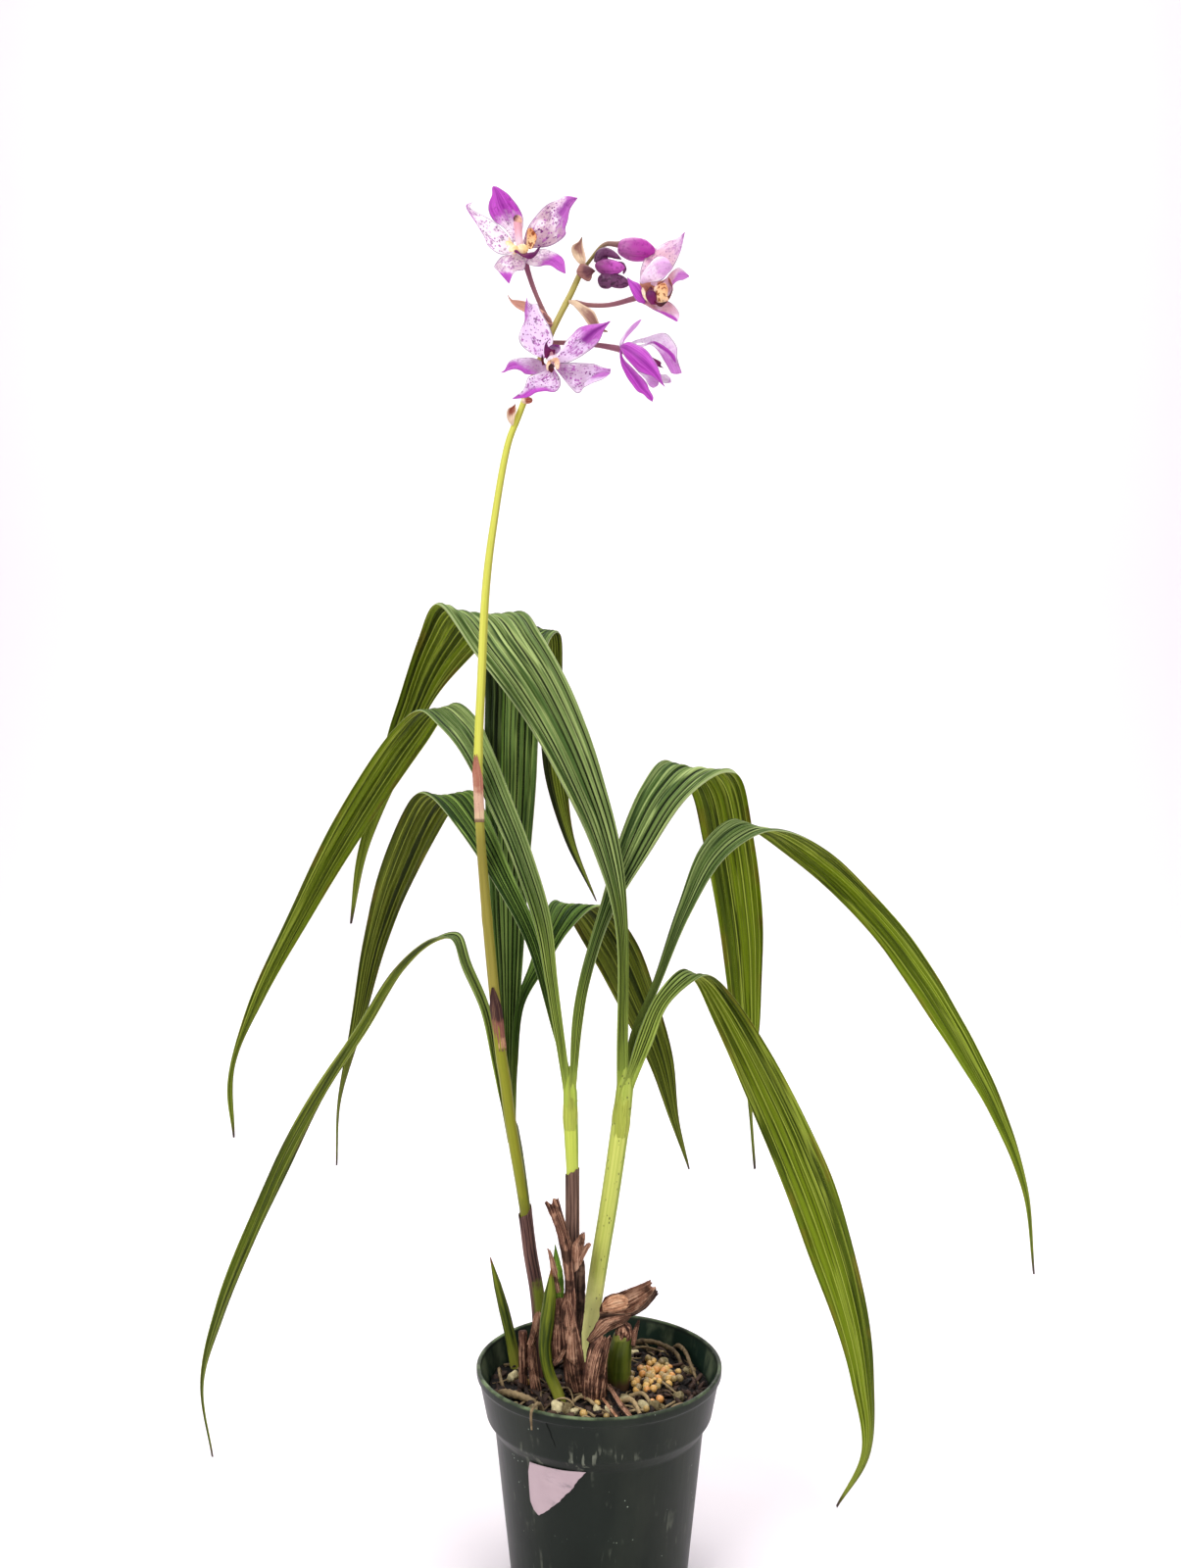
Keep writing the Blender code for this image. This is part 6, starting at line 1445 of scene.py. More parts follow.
# The flower stalks, purple-brown and finely downy, each from its flower's hub to its joint on the spike,
# with a slightly thicker ribbed ovary next to the flower.
STALKS = {
    "bloom_1": ((-33.4, 16.6, 574.4), (-32.8, 18.6, 572.2), (-32, 19.6, 568.6), (-29.0, 20.4, 559.6),
                (-24.7, 21.4, 550), (-20.8, 22, 543)),
    "bloom_2": ((-21.2, 12.6, 523.0), (-22, 14.6, 522.2), (-24.6, 17.2, 520.5), (-27.5, 20.4, 519.5)),
    "bloom_3": ((24.2, 19.4, 558.6), (22, 21, 557.6), (14.8, 21.8, 555.4), (4, 22, 552.8), (-6, 22, 553),
                (-10.6, 22, 554.2)),
    "bloom_4": ((12.6, 20.6, 531.6), (9.9, 20.8, 532.6), (2, 21.2, 534.3), (-10, 21.6, 535.7),
                (-22.4, 22, 536)),
}
STALK_RADII = (1.8, 1.4, 1.15, 1.0, 1.0, 1.1)
STALK_ROWS, DOWN_LENGTH = 60, 0.5
stalk_skin = flesh_finish("stalk_skin", (0.56, 0.34, 0.42), (0.56, 0.38, 0.38), (0.4, 0.22, 0.29),
                          spotted=0.3, roughness=0.45)


def down_skins(route, radii, count, length, seed):
    """Fine down on a stalk: count three-sided bristles, each standing on the stalk's surface at a random
    place and leaning a little towards its end."""
    draw = np.random.default_rng(seed)
    axis = smooth_route(route, STALK_ROWS)
    ahead = unit(np.gradient(axis, axis=0))
    at = draw.integers(3, STALK_ROWS - 3, count)
    out = unit(np.cross(ahead[at], draw.normal(size=(count, 3))))
    radius = np.interp(at / (STALK_ROWS - 1), np.linspace(0, 1, len(radii)), radii)[:, None]
    foot = axis[at] + out * (radius - 0.1)
    tip = foot + (out + 0.5 * ahead[at] + 0.3 * draw.normal(size=(count, 3))) * length
    beside = np.cross(out, ahead[at])
    turns = np.arange(3) / 3 * 2 * math.pi
    ring = ahead[at][:, None, :] * np.cos(turns)[:, None] + beside[:, None, :] * np.sin(turns)[:, None]
    base = foot[:, None, :] + ring * 0.05
    places = np.concatenate([base, tip[:, None, :]], 1).reshape(-1, 3)
    start = np.arange(count)[:, None] * 4
    corners = np.concatenate([start + face for face in ([0, 1, 3], [1, 2, 3], [2, 0, 3], [2, 1, 0])])
    return dict(places=places, corners=corners.tolist(), pattern=np.zeros((count * 12, 2)),
                marks=dict(share=np.full(count * 4, 0.2)))


def ovary_section(angle, share):
    """A flower stalk's section: six low ribs at the flower, which fade out along it."""
    return 1 + 0.06 * np.cos(6 * angle) * (1 - share)


for number, (bloom, route) in enumerate(STALKS.items()):
    tube = tube_skin(route, STALK_RADII, sides=28, count=STALK_ROWS, flute=ovary_section,
                     share=ramp(STALK_ROWS))
    down = down_skins(route, STALK_RADII, count=420, length=DOWN_LENGTH, seed=200 + number)
    lay(f"{bloom}_downy_stalk", [tube, down], stalk_skin, "pedicel_purple", f"{bloom}_stalk")

# The buds: one magenta bud nearly open on its own stalk, and at the spike's tip a knot of small dark
# purple buds, one with a hooked beak, packed round the last bract.
BUD_STALK = ((9.2, 22, 579.8), (8, 22, 579.9), (3.6, 22, 580.1), (0.8, 22, 578.5), (-4.8, 22, 571.6),
             (-7.0, 22, 568.8))
BUD_BALLS = (((3.2, 19.6, 562.8), (3.7, 3.2, 3.6), 15), ((7.9, 19.4, 562.6), (5.4, 2.8, 3.1), -14),
             ((6.6, 19.8, 569.2), (4.6, 2.8, 2.6), -8), ((1.4, 19.8, 571.2), (3.0, 2.2, 2.6), 50))
HOOK = ((-0.8, 18.8, 570.6), (0.6, 18.4, 574.0), (2.8, 18.2, 574.9), (5.4, 18.2, 574.2), (7.9, 18.4, 573.0),
        (10.0, 18.8, 572.0))
CURL = ((8.6, 18.4, 570.4), (10.6, 18.6, 569.6), (11.5, 18.8, 567.4), (10.9, 19, 565.6))
FRONT_BUD = (4.4, 18.2, 568.3), (6.3, 3.4, 3.5), -5
OPENING_BUD = (16.3, 22, 577.6), (8.3, 5.0, 5.2), -6
BUD_STALK_RADII, BUD_STALK_ROWS = (1.5, 1.1, 0.9, 0.8, 0.85), 50
bud_skin = flesh_finish("bud_skin", (0.66, 0.34, 0.6), (0.7, 0.2, 0.63), (0.4, 0.07, 0.38), 0.4)
opening = ball_skin(*OPENING_BUD, lobes=3, depth=0.16, beak=0.1, seed=4, rough=0.05, rows=44, columns=60)
lay("opening_bud", [opening], bud_skin, "bud_purple", "bud_large")
bud_stalk = tube_skin(BUD_STALK, BUD_STALK_RADII, sides=28, count=BUD_STALK_ROWS,
                      share=ramp(BUD_STALK_ROWS))
bud_down = down_skins(BUD_STALK, BUD_STALK_RADII, count=320, length=DOWN_LENGTH, seed=210)
bud_stalk_skin = flesh_finish("bud_stalk_skin", (0.56, 0.42, 0.4), (0.55, 0.5, 0.28), (0.38, 0.26, 0.2),
                              0.3, roughness=0.45)
lay("downy_bud_stalk", [bud_stalk, bud_down], bud_stalk_skin, "pedicel_purple", "bud_stalk")
knot = [ball_skin(*ball, lobes=3, depth=0.14, beak=0.12, seed=20 + n, rough=0.05)
        for n, ball in enumerate(BUD_BALLS)]
knot.append(tube_skin(HOOK, (1.6, 2.1, 2.1, 1.8, 1.2, 0.2), sides=24, count=40, share=ramp(40)))
knot.append(tube_skin(CURL, (0.6, 0.9, 0.9, 0.4), sides=16, count=24, share=ramp(24)))
dark_bud_skin = flesh_finish("dark_bud_skin", (0.36, 0.2, 0.33), (0.44, 0.24, 0.4), (0.16, 0.05, 0.13), 0.6)
lay("bud_knot", knot, dark_bud_skin, "bud_purple", "bud_cluster")
plum_bud_skin = flesh_finish("plum_bud_skin", (0.5, 0.22, 0.44), (0.74, 0.32, 0.7), (0.36, 0.08, 0.34),
                             0.45)
front_bud = ball_skin(*FRONT_BUD, lobes=3, depth=0.16, beak=0.12, seed=27, rough=0.05)
lay("front_bud", [front_bud], plum_bud_skin, "bud_purple", "bud_cluster")

# The floral bracts, one at the foot of each flower stalk: dry boat-shaped scales, cream at their margins
# and flushed brown inside, each between its two edges at its depths, with its cup and colour.
BRACTS = {
    "top": (((-8.3, 570.3), (-10.9, 572.7), (-12.2, 575.9), (-11.8, 578.1), (-9.1, 580.1), (-7.6, 582.4)),
        ((-6.1, 569.9), (-5.8, 572.6), (-7.1, 578.6), (-7.4, 582.4)), (20.5, 19.2, 19.4, 19.6),
        0.35, "tan"),
    "brown": (((-9.4, 567.6), (-8.5, 569.5), (-6.5, 569.8), (-1.4, 566.8)), ((-9.5, 566.2), (-8.5, 564.2),
        (-4.4, 562.1), (-3.2, 563.4), (-2.8, 565.2), (-1.5, 566.7)), (20.2, 18.6, 18.4, 19),
        -0.35, "brown"),
    "low": (((-13.5, 554.4), (-10, 554.1), (-7, 552), (-2.2, 548.8), (0.3, 543.3), (2, 541), (4.1, 539.8)),
        ((-13.3, 553), (-11.8, 552.2), (-7.4, 547), (-4.6, 542.8), (-1.3, 540), (3.7, 539.4)),
        (20.4, 19.4, 18.4, 18.2), -0.3, "tan"),
    "left": (((-20.2, 543.8), (-24, 544.3), (-32.7, 548.7), (-37.5, 551.4), (-39.5, 553.8), (-40.6, 556.2)),
        ((-21.2, 546.4), (-24, 549.1), (-28.3, 551.9), (-32.7, 553.6), (-36.3, 554.1), (-38.6, 554.3),
        (-40.5, 556.4)), (20.8, 20.2, 19.6, 19), 0.3, "rosy"),
    "small": (((-38.8, 498.7), (-40.3, 500.3), (-41, 502.7), (-40.4, 505.6), (-39, 506.5), (-37.1, 508.1)),
        ((-38.1, 498.7), (-36.6, 505.6), (-36.9, 506.9), (-37, 508.2)), (20.6, 19.2, 19.4, 20),
        0.3, "rust"),
}
SCALE_ROWS, SCALE_COLUMNS = 44, 21


def scale_skin(left, right, depths, cup, seed):
    """A thin scale between its two edges: its middle sunk by cup half-widths, with fine ribs."""
    places, facing, half, v, t = between_edges(left, right, depths, SCALE_ROWS, SCALE_COLUMNS)
    push = -cup * half * (1 - v**2) * 1.3 + 0.06 * np.cos(v * 14) + 0.2 * ripple(places, 5, seed)
    thick = 0.34 * np.clip(half / 0.8, 0.3, 1)
    return blade_skin(places + facing * push[..., None], facing, thick, rim=np.abs(v), share=t)


def scale_finish(name, pale, flush, line):
    """Dry scale: a pale ground, flushed past its first third but for its margins, with fibres and a thin
    dark edge."""
    finish = Finish(name, 0.6)
    pattern, here = finish.pattern, finish.here
    rim, share, side = finish.marks("rim", "share", "side")
    fibre = grain(pattern, 14, 1.2, 4.0, 0.6)
    along = use(RAGGED, share, here, 240.0, 0.5)
    inner = slope(along, 0.22, 0.5) * slope(rim, 0.92, 0.5)
    body = blend(inner, pale, flush)
    body = blend(slope(fibre, 0.52, 0.66, 0.0, 0.55), body, line)
    body = blend(slope(fibre, 0.46, 0.34, 0.0, 0.4), body, pale)
    body = blend(slope(rim, 0.9, 1.0, 0.0, 0.6), body, line)
    body = blend(side * 0.5, body, pale)
    return finish.done(body, fibre, 0.0004)


STUB_BALL = (-31.9, 20.6, 509.8), (2.5, 1.5, 1.5), 8


def blade_ball(ball):
    """An egg that carries the marks of a scale, its edge mark nil."""
    skin = ball_skin(*ball, lobes=3, depth=0.2, seed=5, rough=0.06, rows=20, columns=28)
    skin["marks"].update(rim=0 * skin["marks"]["share"], side=0 * skin["marks"]["share"])
    return skin


# Each scale's name, its pale ground, its flush and its fibres.
SCALE_LOOKS = {
    "tan": ("tan_scale", (0.9, 0.79, 0.66), (0.58, 0.41, 0.37), (0.44, 0.3, 0.25)),
    "rosy": ("rosy_scale", (0.9, 0.7, 0.6), (0.84, 0.62, 0.54), (0.42, 0.26, 0.26)),
    "rust": ("rusty_scale", (0.92, 0.82, 0.7), (0.6, 0.3, 0.22), (0.36, 0.16, 0.13)),
    "brown": ("brown_scale", (0.6, 0.42, 0.38), (0.38, 0.21, 0.25), (0.26, 0.13, 0.16)),
}
SCALE_FINISHES = {tint: scale_finish(*look) for tint, look in SCALE_LOOKS.items()}
for number, (name, (*scale, tint)) in enumerate(BRACTS.items()):
    skins = [scale_skin(*scale, 220 + number)]
    if name == "small":
        skins.append(blade_ball(STUB_BALL))
    lay(f"{name}_scale", skins, SCALE_FINISHES[tint], "bract_tan", f"bract_{name}")

# The young shoots: two rolled green spears, each a tapering roll with one overlapping edge, olive where
# it leaves the mix and brown at its very tip.
SHOOTS = {"shoot_left": (((-36.4, 17.8, 76), (-37.6, 18.2, 84), (-39.4, 19.6, 93), (-42, 21.6, 103),
                          (-44.8, 23, 113), (-48.6, 24, 127)), (2.3, 2.4, 2.4, 2.3, 1.7, 0.25), 2.2),
          "shoot_front": (((-15.2, -15.8, 77), (-17.6, -14.6, 84), (-21.2, -13.2, 91.6),
                           (-23.0, -11.4, 101), (-22.3, -10.2, 111), (-20.9, -8.6, 123),
                           (-20.4, -7.2, 133)), (2.3, 2.4, 2.4, 2.6, 3.0, 2.6, 0.25), 3.6), }


def shoot_finish(name, tip, body_tone, stripe, foot_tone):
    """Shoot skin: soft green stripes, an olive foot and a thin brown tip."""
    finish = Finish(name, 0.5, 0.12)
    pattern, here = finish.pattern, finish.here
    share = finish.mark("share")
    stripes = grain(pattern, 9, 1.4, 4.0)
    body = blend(slope(stripes, 0.4, 0.62), body_tone, stripe)
    patches = cloud(here, 90.0, 3.0)
    low = slope(patches * 0.25 + share, 0.52, 0.2)
    body = blend(low, body, blend(stripes, foot_tone, (0.62, 0.64, 0.26)))
    body = blend(slope(share, 0.93, 0.98), body, tip)
    return finish.done(body, stripes, 0.0003)


SHOOT_ROWS = 80
shoot_skin = shoot_finish("shoot_skin", (0.42, 0.26, 0.14), (0.42, 0.46, 0.12), (0.16, 0.22, 0.05),
                          (0.36, 0.35, 0.09))
for name, (route, radii, seam) in SHOOTS.items():
    spear = tube_skin(route, radii, sides=48, count=SHOOT_ROWS, flute=stem_flute(5, 0.05, seam),
                      share=ramp(SHOOT_ROWS))
    lay(f"{name}_spear", [spear], shoot_skin, "shoot_green", name)

# The dry remains round the foot: torn, fibrous old sheaths and stubs, dark brown to pale tan, each one a
# curled flake between two edges (X and Z, from its base to its torn end) at its depths Y, with its cup.
FLAKES = {
    "dry_sheath_tall": {
        "tall_wall": (((-14.8, 86.6), (-16.4, 115.3), (-15.6, 120.2), (-14.5, 124.3), (-18.8, 148.4),
            (-23.3, 158.9)), ((-6.1, 86.6), (-9.7, 113.7), (-9.9, 121.4), (-11.1, 133.5), (-11.3, 139.5),
            (-17.7, 161.8)), (-9.5, -8.5, -7.5, -6, -4, -2, -0.9), -0.4, "brown"),
        "front_wall": (((-11, 82.8), (-13.6, 89.9), (-16.2, 116.2), (-14.8, 121.1)), ((-5.9, 84.1),
            (-5.6, 91.5), (-11, 117.7), (-12.4, 121.3)), (-12, -11.5, -11, -10.4, -9.6), -0.35, "brown"),
        "pale_fold": (((-14.1, 98.4), (-13.6, 103.8), (-12.4, 110.7), (-11.1, 115.6)), ((-8.8, 93.7),
            (-9.5, 103.8), (-10, 110.7), (-10.6, 115.2)), (-13, -12.6, -11.6), -0.3, "tan"),
        "curl": (((-19.6, 96.5), (-17.5, 99.4), (-14.4, 102.3)), ((-18.7, 94.7), (-15.9, 97.3),
            (-13.7, 100.9)), (-14, -13.5, -12.5), 0.3, "tan"),
        "side_fold": (((-20.2, 96.1), (-20.8, 103.8), (-19.9, 111.3), (-19.2, 120.9)), ((-14.8, 96.1),
            (-14.6, 104.6), (-14.5, 111.3), (-15, 120.4)), (-9.5, -8.8, -6), -0.35, "brown"),
    },
    "dry_strip": {
        "torn_flap": (((-10.7, 130.2), (-11.2, 135.9), (-11.7, 141.6), (-6.9, 147.9)), ((-8.5, 132.3),
            (-8, 136.3), (-6, 143.9), (-6.1, 147.3)), (-3.4, -3.2, -3.2), -0.2, "tan"),
        "second_flap": (((-10, 131.2), (-8.8, 136.7), (-6.6, 141.5), (-5, 143.3)), ((-7.6, 133.8),
            (-5.8, 137.8), (-4.3, 140.4), (-3.1, 142.5)), (-3.6, -3.6, -3.8), 0.2, "tan"),
        "dark_core": (((-10.4, 101.6), (-9.5, 115), (-9.6, 127.7), (-8.2, 133.7), (-6.9, 135.4)),
            ((-7.7, 102.4), (-6, 116.6), (-6, 132.5), (-6.4, 135.2)), (-3.6, -2.8, -2.6), -0.3, "dark"),
    },
    "dry_sheath_folded": {
        "trough": (((0.3, 112.7), (2.9, 117.3), (9.3, 119), (22.9, 122.9)), ((0.3, 108.5), (13.3, 108.6),
            (19.5, 111.1), (25.7, 116.7)), (2.6, 3, 4, 5.6, 8), 0.55, "tan"),
        "rolled_edge": (((0.3, 110.9), (13.3, 110.9), (18.6, 113.6), (24.4, 119.7)), ((0.3, 108.9),
            (13.3, 109.1), (19.5, 111.8), (25.7, 117)), (1.2, 1.4, 2, 3.4, 6.6), -0.5, "dark"),
        "pale_flake": (((1.3, 115.5), (4.4, 118.9), (9.2, 119.6), (12.1, 118.1)), ((1.5, 111.8), (6, 111.4),
            (10.8, 112.6), (12.9, 114)), (0.4, 0.3, 1), -0.15, "pale"),
        "second_band": (((-5.5, 101.7), (-2.9, 105.3), (0.3, 109.3), (12.6, 111)), ((-3.5, 100),
            (5.1, 105.1), (10, 106.9), (13.8, 109.6)), (-4, -3, -2, -1, 0.4), -0.3, "tan"),
        "root_wall": (((-6, 89.3), (-5.2, 96.1), (-1.4, 105.5), (0.5, 110.6)), ((-2.1, 89.3), (-0.8, 95.3),
            (2.1, 105.5), (2.9, 109.4)), (-3, -2, -1, 0.5, 1.8), -0.4, "dark"),
    },
    "stub_ribbed": {
        "outer_wall": (((-7, 82.7), (-7.2, 90.5), (-3.5, 103.9), (0.2, 107)), ((1.3, 82.3), (2.6, 89.8),
            (2.9, 94.8), (5.3, 107.3)), (-17.5, -16.6, -15.6, -14.4, -13.2), -0.5, "brown"),
        "ground_strip": (((4.8, 86.2), (8, 85), (10.9, 84.5), (13.1, 83.9)), ((2.8, 87.1), (4.2, 86.4),
            (7.8, 84.5), (11.7, 82.9)), (-11.5, -20, -28, -34), 0.3, "tan"),
        "ground_sliver": (((1.7, 84.1), (4.4, 84.2), (7.4, 83.8)), ((0.7, 83.6), (3.6, 83.2), (6.5, 83.3)),
            (-19, -27, -35), 0.2, "pale"),
    },
    "stub_small": {
        "front_wall": (((-29, 80.3), (-29.9, 86.4), (-30.5, 92.7), (-30.4, 99.1)), ((-23.8, 79.9),
            (-25.4, 86.4), (-26.5, 92.7), (-27.2, 100.3)), (-7.5, -5.5, -3.4, -1.6), -0.5, "brown"),
        "leaning_flap": (((-31, 99.7), (-29.7, 103.7), (-27.8, 111.6), (-26.7, 113.2)), ((-28.1, 98.7),
            (-25.4, 105.7), (-24.3, 111.2), (-25.2, 113)), (-3.4, -2.8, -2.2), -0.3, "tan"),
    },
    "bulb_collar": {
        "spike": (((13.6, 98.7), (14.3, 103.5), (16.8, 107.7)), ((15.4, 98.4), (16.4, 102.7),
            (17.8, 107.3)), (-3, -0.5, 2.4), -0.3, "brown"),
    },
    "shoot_front": {
        "back_spear": (((-17.3, 103.9), (-18.4, 112.5), (-19.7, 133.1), (-18.9, 142.8)), ((-13.7, 103.9),
            (-14.9, 122), (-15.4, 129.9), (-18.7, 142.7)), (-5.4, -4.8, -4.2, -3.8), -0.4, "spear"),
        "brown_tip": (((-19.3, 122.4), (-20.5, 130.3), (-21.3, 136.6), (-22.3, 141.2)), ((-16, 122.4),
            (-17.6, 131.1), (-19.2, 136.6), (-21, 140.8)), (-5.8, -5.4, -4.8), -0.2, "tan"),
    },
}
FLAKE_ROWS, FLAKE_COLUMNS = 56, 27


def flake_skin(left, right, depths, cup, seed):
    """A dry flake: fibres stand out as fine uneven ribs, the wall crumples, its edges are nibbled, and
    its torn end runs out in points along the fibres."""
    places, facing, half, v, t = between_edges(left, right, depths, FLAKE_ROWS, FLAKE_COLUMNS)
    draw = np.random.default_rng(seed)
    size = np.clip(half / 3, 0.15, 1)
    fibres = sum(np.cos(v * draw.uniform(9, 30) + draw.uniform(0, 6) + t * draw.uniform(-2, 2))
                 for _ in range(4))
    crumples = 0.45 * ripple(places, 7, seed) + 0.2 * ripple(places, 2.6, seed + 1)
    push = size * (0.09 * fibres + crumples) - cup * half * (1 - v**2) * 1.5
    nibbled = np.sign(v) * np.abs(v) ** 4 * 0.22 * size * ripple(places, 2.2, seed + 2)
    across, along = unit(places[:, -1:] - places[:, :1]), np.gradient(places, axis=0)
    torn = t**5 * 1.3 * np.clip(half.max() / 3, 0.2, 1) * ripple(v[..., None] * (1, 0, 0), 0.55, seed + 3)
    places = places + facing * push[..., None] + across * nibbled[..., None] + unit(along) * torn[..., None]
    thick = 0.34 * (1 - 0.5 * np.abs(v) ** 4) * np.clip(half / 1.5, 0.4, 1)
    return blade_skin(places, facing, thick, rim=np.abs(v), share=t)


def dry_finish(name, dark, middle, light, edge):
    """Dry fibrous tissue: long pale fibres on a darker ground, blotched with rot, with a different tone
    along the torn edges; the under side is smoother and paler."""
    finish = Finish(name, 0.75, 0.1)
    pattern, here = finish.pattern, finish.here
    rim, side = finish.marks("rim", "side")
    fibre = grain(pattern, 13, 1.2, 5.0, 0.72)
    body = blend(slope(fibre, 0.39, 0.49), dark, middle)
    body = blend(slope(fibre, 0.51, 0.6), body, light)
    blotch = cloud(here, 170.0, 4.0)
    body = blend(slope(blotch, 0.5, 0.62, 0.0, 0.75), body, dark)
    body = blend(slope(blotch, 0.44, 0.3, 0.0, 0.5), body, light)
    ragged_rim = use(RAGGED, rim, here, 420.0, 0.4)
    body = blend(slope(ragged_rim, 0.84, 0.98, 0.0, 0.75), body, edge)
    body = blend(side * 0.35, body, middle)
    return finish.done(body, fibre + blotch * 0.5, 0.0006)


# Each dry tissue's name, its dark, middle and light tone, and that of its torn edges.
DRY_LOOKS = {
    "dark": ("dark_husk", (0.08, 0.05, 0.04), (0.24, 0.17, 0.14), (0.5, 0.39, 0.32), (0.5, 0.4, 0.33)),
    "brown": ("brown_husk", (0.09, 0.05, 0.04), (0.38, 0.25, 0.2), (0.82, 0.63, 0.51), (0.3, 0.2, 0.17)),
    "tan": ("tan_husk", (0.2, 0.12, 0.09), (0.6, 0.43, 0.34), (0.89, 0.72, 0.6), (0.3, 0.2, 0.17)),
    "pale": ("pale_husk", (0.55, 0.36, 0.26), (0.82, 0.62, 0.48), (0.93, 0.78, 0.64), (0.3, 0.2, 0.16)),
    "spear": ("striped_spear", (0.2, 0.32, 0.08), (0.36, 0.5, 0.14), (0.66, 0.76, 0.34), (0.2, 0.3, 0.1)),
}
DRY_FINISHES = {tint: dry_finish(*look) for tint, look in DRY_LOOKS.items()}
GREEN_FLAKES = "shoot_front"
for number, (node, flakes) in enumerate(FLAKES.items()):
    for tint in dict.fromkeys(flake[-1] for flake in flakes.values()):
        skins = [flake_skin(*flake[:-1], 300 + 10 * number + n) for n, flake in enumerate(flakes.values())
                 if flake[-1] == tint]
        slot = "shoot_green" if node == GREEN_FLAKES else "dry_sheath"
        lay(f"{node}_{tint}_flakes", skins, DRY_FINISHES[tint], slot, node)

# The old stubs' cores and the collar: blunt dry cylinders with sunken ribs, broken off at the top.
CORES = {
    "stub_left": (((-32.4, -1.2, 76), (-32.6, -0.4, 92.5), (-32.7, 0.8, 103.6)), (1.95, 1.95, 1.85), 6),
    "stub_small": (((-26.3, -3.2, 76), (-27.6, -1.2, 88), (-28.5, 1.6, 98), (-27.4, 3, 104.6)),
                   (1.7, 1.6, 1.5, 1.3), 5),
    "stub_ribbed": (((-0.6, -14.2, 76), (-0.2, -12.2, 93), (0.6, -10.6, 104.6)), (3.7, 3.5, 3.0), 9),
    "bulb_collar": (((10.6, 1.0, 100.6), (10.7, 1.1, 102.6), (10.5, 1.3, 104.4), (9.6, 1.8, 106.6)),
                    (4.2, 4.1, 3.6, 1.9), 8),
}
CORE_ROWS, CORE_SIDES = 44, 56


def core_section(ribs, seed):
    """A stub's section: rounded ribs with sharp sunken seams that wander a little along its height, and
    a torn, narrower last twelfth."""
    def section(angle, share):
        seam = np.abs(np.sin(ribs * angle / 2 + 0.6 * np.sin(5 * share + seed)))
        torn = np.clip((share - 0.92) / 0.08, 0, 1)
        return (0.86 + 0.17 * seam**0.6) * (1 - torn * (0.12 + 0.1 * np.sin(3 * angle + seed)))
    return section


for number, (node, (route, radii, ribs)) in enumerate(CORES.items()):
    share = ramp(CORE_ROWS)
    core = tube_skin(route, radii, sides=CORE_SIDES, count=CORE_ROWS, flute=core_section(ribs, number),
                     side=0.0, rim=np.clip((share - 0.93) / 0.07, 0, 1))
    lay(f"{node}_core", [core], DRY_FINISHES["brown"], "dry_sheath", node)

# The green pseudobulb: a fleshy, faintly ribbed swelling with a brown corky foot and ringed by scars.
BULB_ROUTE = ((8.2, 0, 76), (8.4, 0, 84), (8.6, 0.2, 89), (9.2, 0.4, 95), (9.9, 0.7, 99), (10.6, 1, 101.8))
BULB_RADII = (4.3, 4.9, 5.35, 5.1, 4.5, 4.0)


def bulb_finish():
    """Waxy deep green with paler lengthwise bands, a brown foot and a thin pale line under the collar."""
    finish = Finish("bulb_skin", 0.32)
    pattern, here = finish.pattern, finish.here
    z = part(here, 2)
    bands = grain(pattern, 9, 0.8, 3.0)
    body = blend(slope(bands, 0.35, 0.65), (0.22, 0.27, 0.07), (0.37, 0.41, 0.13))
    high = cloud(here, 160.0) * 0.006 + z
    body = blend(slope(high, 0.0885, 0.0845), body, (0.3, 0.22, 0.15))
    body = blend(slope(high, 0.1035, 0.1048, 0.0, 0.7), body, (0.5, 0.5, 0.22))
    finish.set("Coat Weight", 0.15)
    return finish.done(body, bands, 0.0004)


bulb = tube_skin(BULB_ROUTE, BULB_RADII, sides=72, count=60, flute=stem_flute(7, 0.02, 1.0))
lay("green_bulb", [bulb], bulb_finish(), "bulb_green", "pseudobulb")

# The stage: a plain pale floor that sweeps up behind the plant, two large soft lights in front, one
# overhead and a pale surround, and the camera where the photographer stood.
FLOOR_HALF, SWEEP_START, SWEEP_RADIUS, BACK_HEIGHT = 4.0, 2.2, 0.9, 4.0
sweep = np.linspace(0, math.pi / 2, 24)
floor_y = np.concatenate([[-FLOOR_HALF, -1.0, 0.0, 1.0], SWEEP_START + SWEEP_RADIUS * np.sin(sweep),
                          [SWEEP_START + SWEEP_RADIUS]])
floor_z = np.concatenate([[0, 0, 0, 0], SWEEP_RADIUS * (1 - np.cos(sweep)), [BACK_HEIGHT]])
floor_x = np.linspace(-FLOOR_HALF, FLOOR_HALF, 9)
floor_points = np.stack([floor_x + 0 * floor_y[:, None], floor_y[:, None] + 0 * floor_x,
                         floor_z[:, None] + 0 * floor_x], -1)
floor_grid = grid_skin(floor_points)
floor_mesh = bpy.data.meshes.new("floor_sweep")
floor_mesh.from_pydata(floor_grid["places"].tolist(), [], floor_grid["corners"])
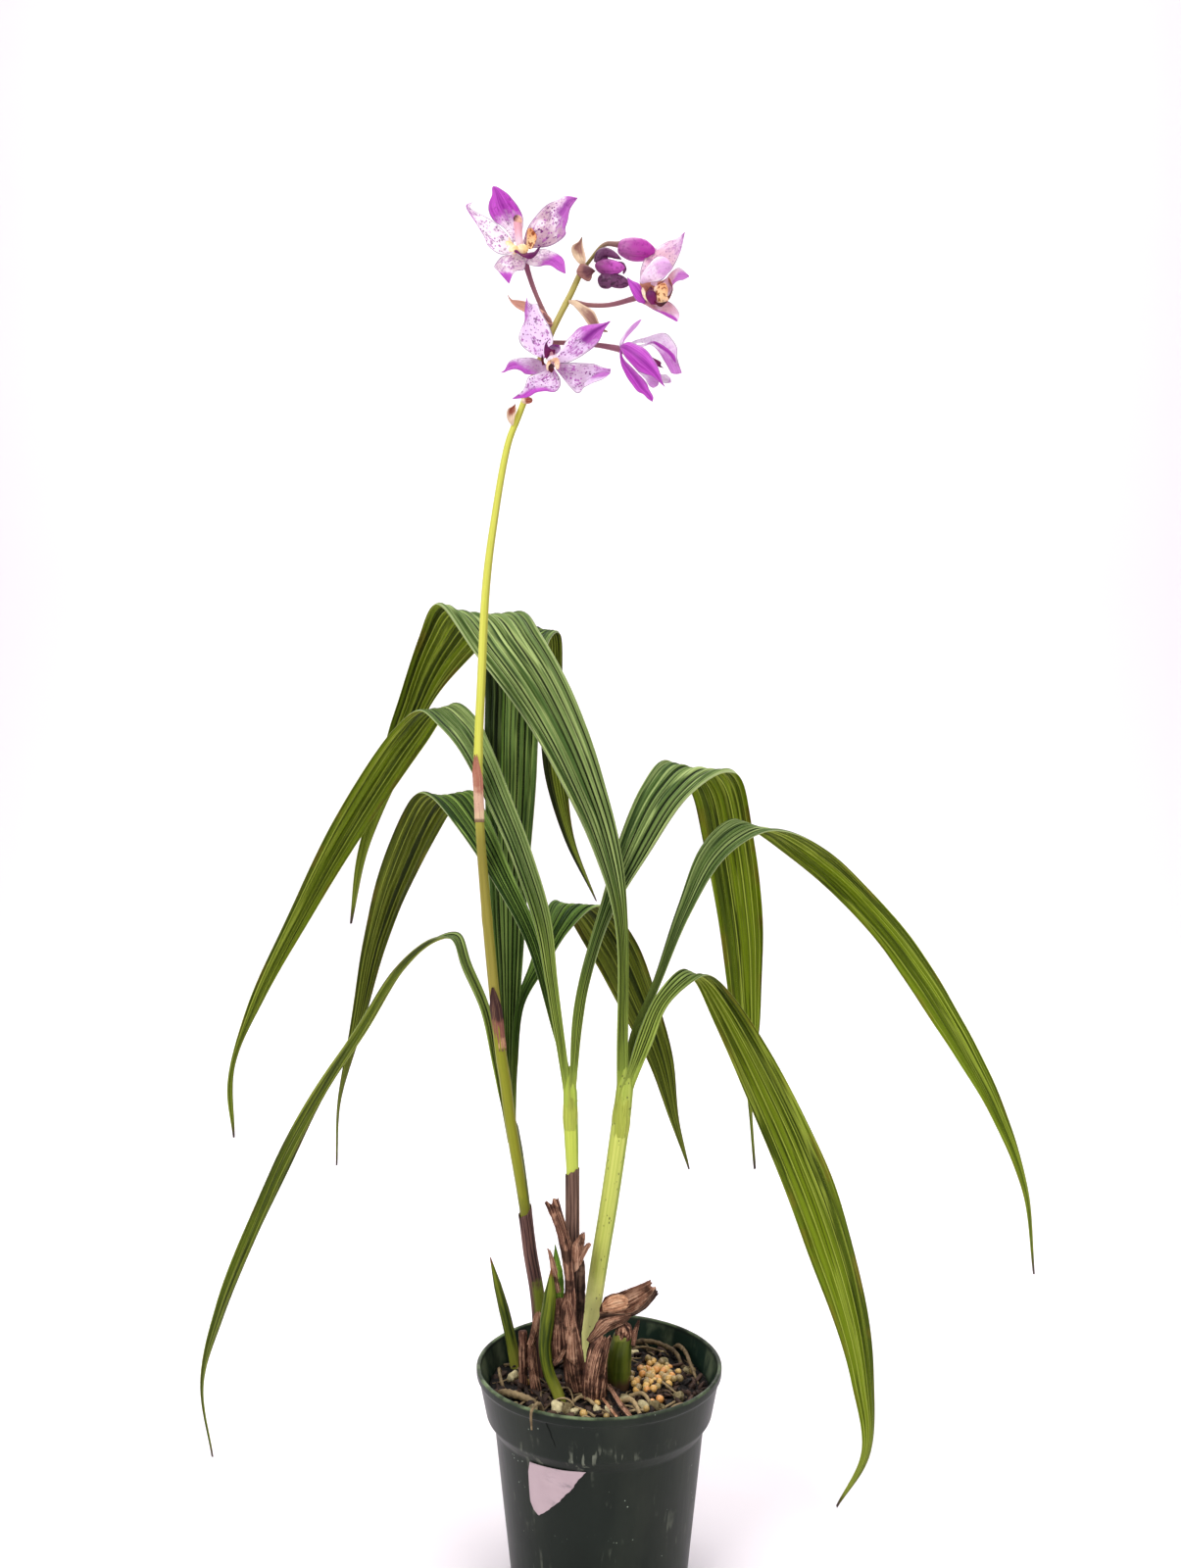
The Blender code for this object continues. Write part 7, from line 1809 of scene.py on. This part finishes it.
floor_mesh.polygons.foreach_set("use_smooth", np.ones(len(floor_mesh.polygons), bool))
pale_paper = Finish("pale_paper", 0.85, 0.1)
pale_paper.set("Base Color", tone(0.93, 0.905, 0.92))
floor_mesh.materials.append(pale_paper.material)
floor = bpy.data.objects.new("floor_sweep", floor_mesh)
bpy.context.scene.collection.objects.link(floor)


def soft_light(name, place, aim, size, power):
    """A square soft box at place that faces aim."""
    light = bpy.data.lights.new(name, "AREA")
    light.size = size
    light.energy = power
    lamp = bpy.data.objects.new(name, light)
    lamp.location = place
    ahead = np.subtract(aim, place)
    lamp.rotation_euler = (math.atan2(math.hypot(ahead[0], ahead[1]), -ahead[2]), 0,
                           math.atan2(ahead[1], ahead[0]) - math.pi / 2)
    bpy.context.scene.collection.objects.link(lamp)


# Each light's place, the point that it faces, its size in metres and its power in watts.
LIGHTS = {
    "front_left_box": ((-1.3, -1.5, 1.5), (0, 0.05, 0.25), 1.2, 32),
    "front_right_box": ((1.5, -1.4, 1.2), (0, 0.05, 0.25), 1.2, 16),
    "overhead_box": ((0.1, 0.3, 2.2), (0, 0.05, 0.2), 1.6, 22),
    "backdrop_wash": ((0.0, 0.9, 2.6), (0, 3.0, 1.0), 3.0, 80),
}
SURROUND_TONE, SURROUND_STRENGTH = (0.97, 0.96, 0.98), 0.42
for name, light in LIGHTS.items():
    soft_light(name, *light)
world = bpy.data.worlds.new("pale_surround")
world.use_nodes = True
surround = world.node_tree.nodes["Background"].inputs
surround["Color"].default_value = tone(*SURROUND_TONE)
surround["Strength"].default_value = SURROUND_STRENGTH
bpy.context.scene.world = world
bpy.context.scene.view_settings.view_transform = "Standard"

CAMERA_PLACE = (-0.0037, -0.573, 0.339)
SENSOR_WIDTH, LENS = 36.0, 30.6
lens = bpy.data.cameras.new("photo_camera")
lens.sensor_width = SENSOR_WIDTH
lens.lens = LENS
camera = bpy.data.objects.new("photo_camera", lens)
camera.location = CAMERA_PLACE
camera.rotation_euler = (math.pi / 2, 0, 0)
bpy.context.scene.collection.objects.link(camera)
bpy.context.scene.camera = camera
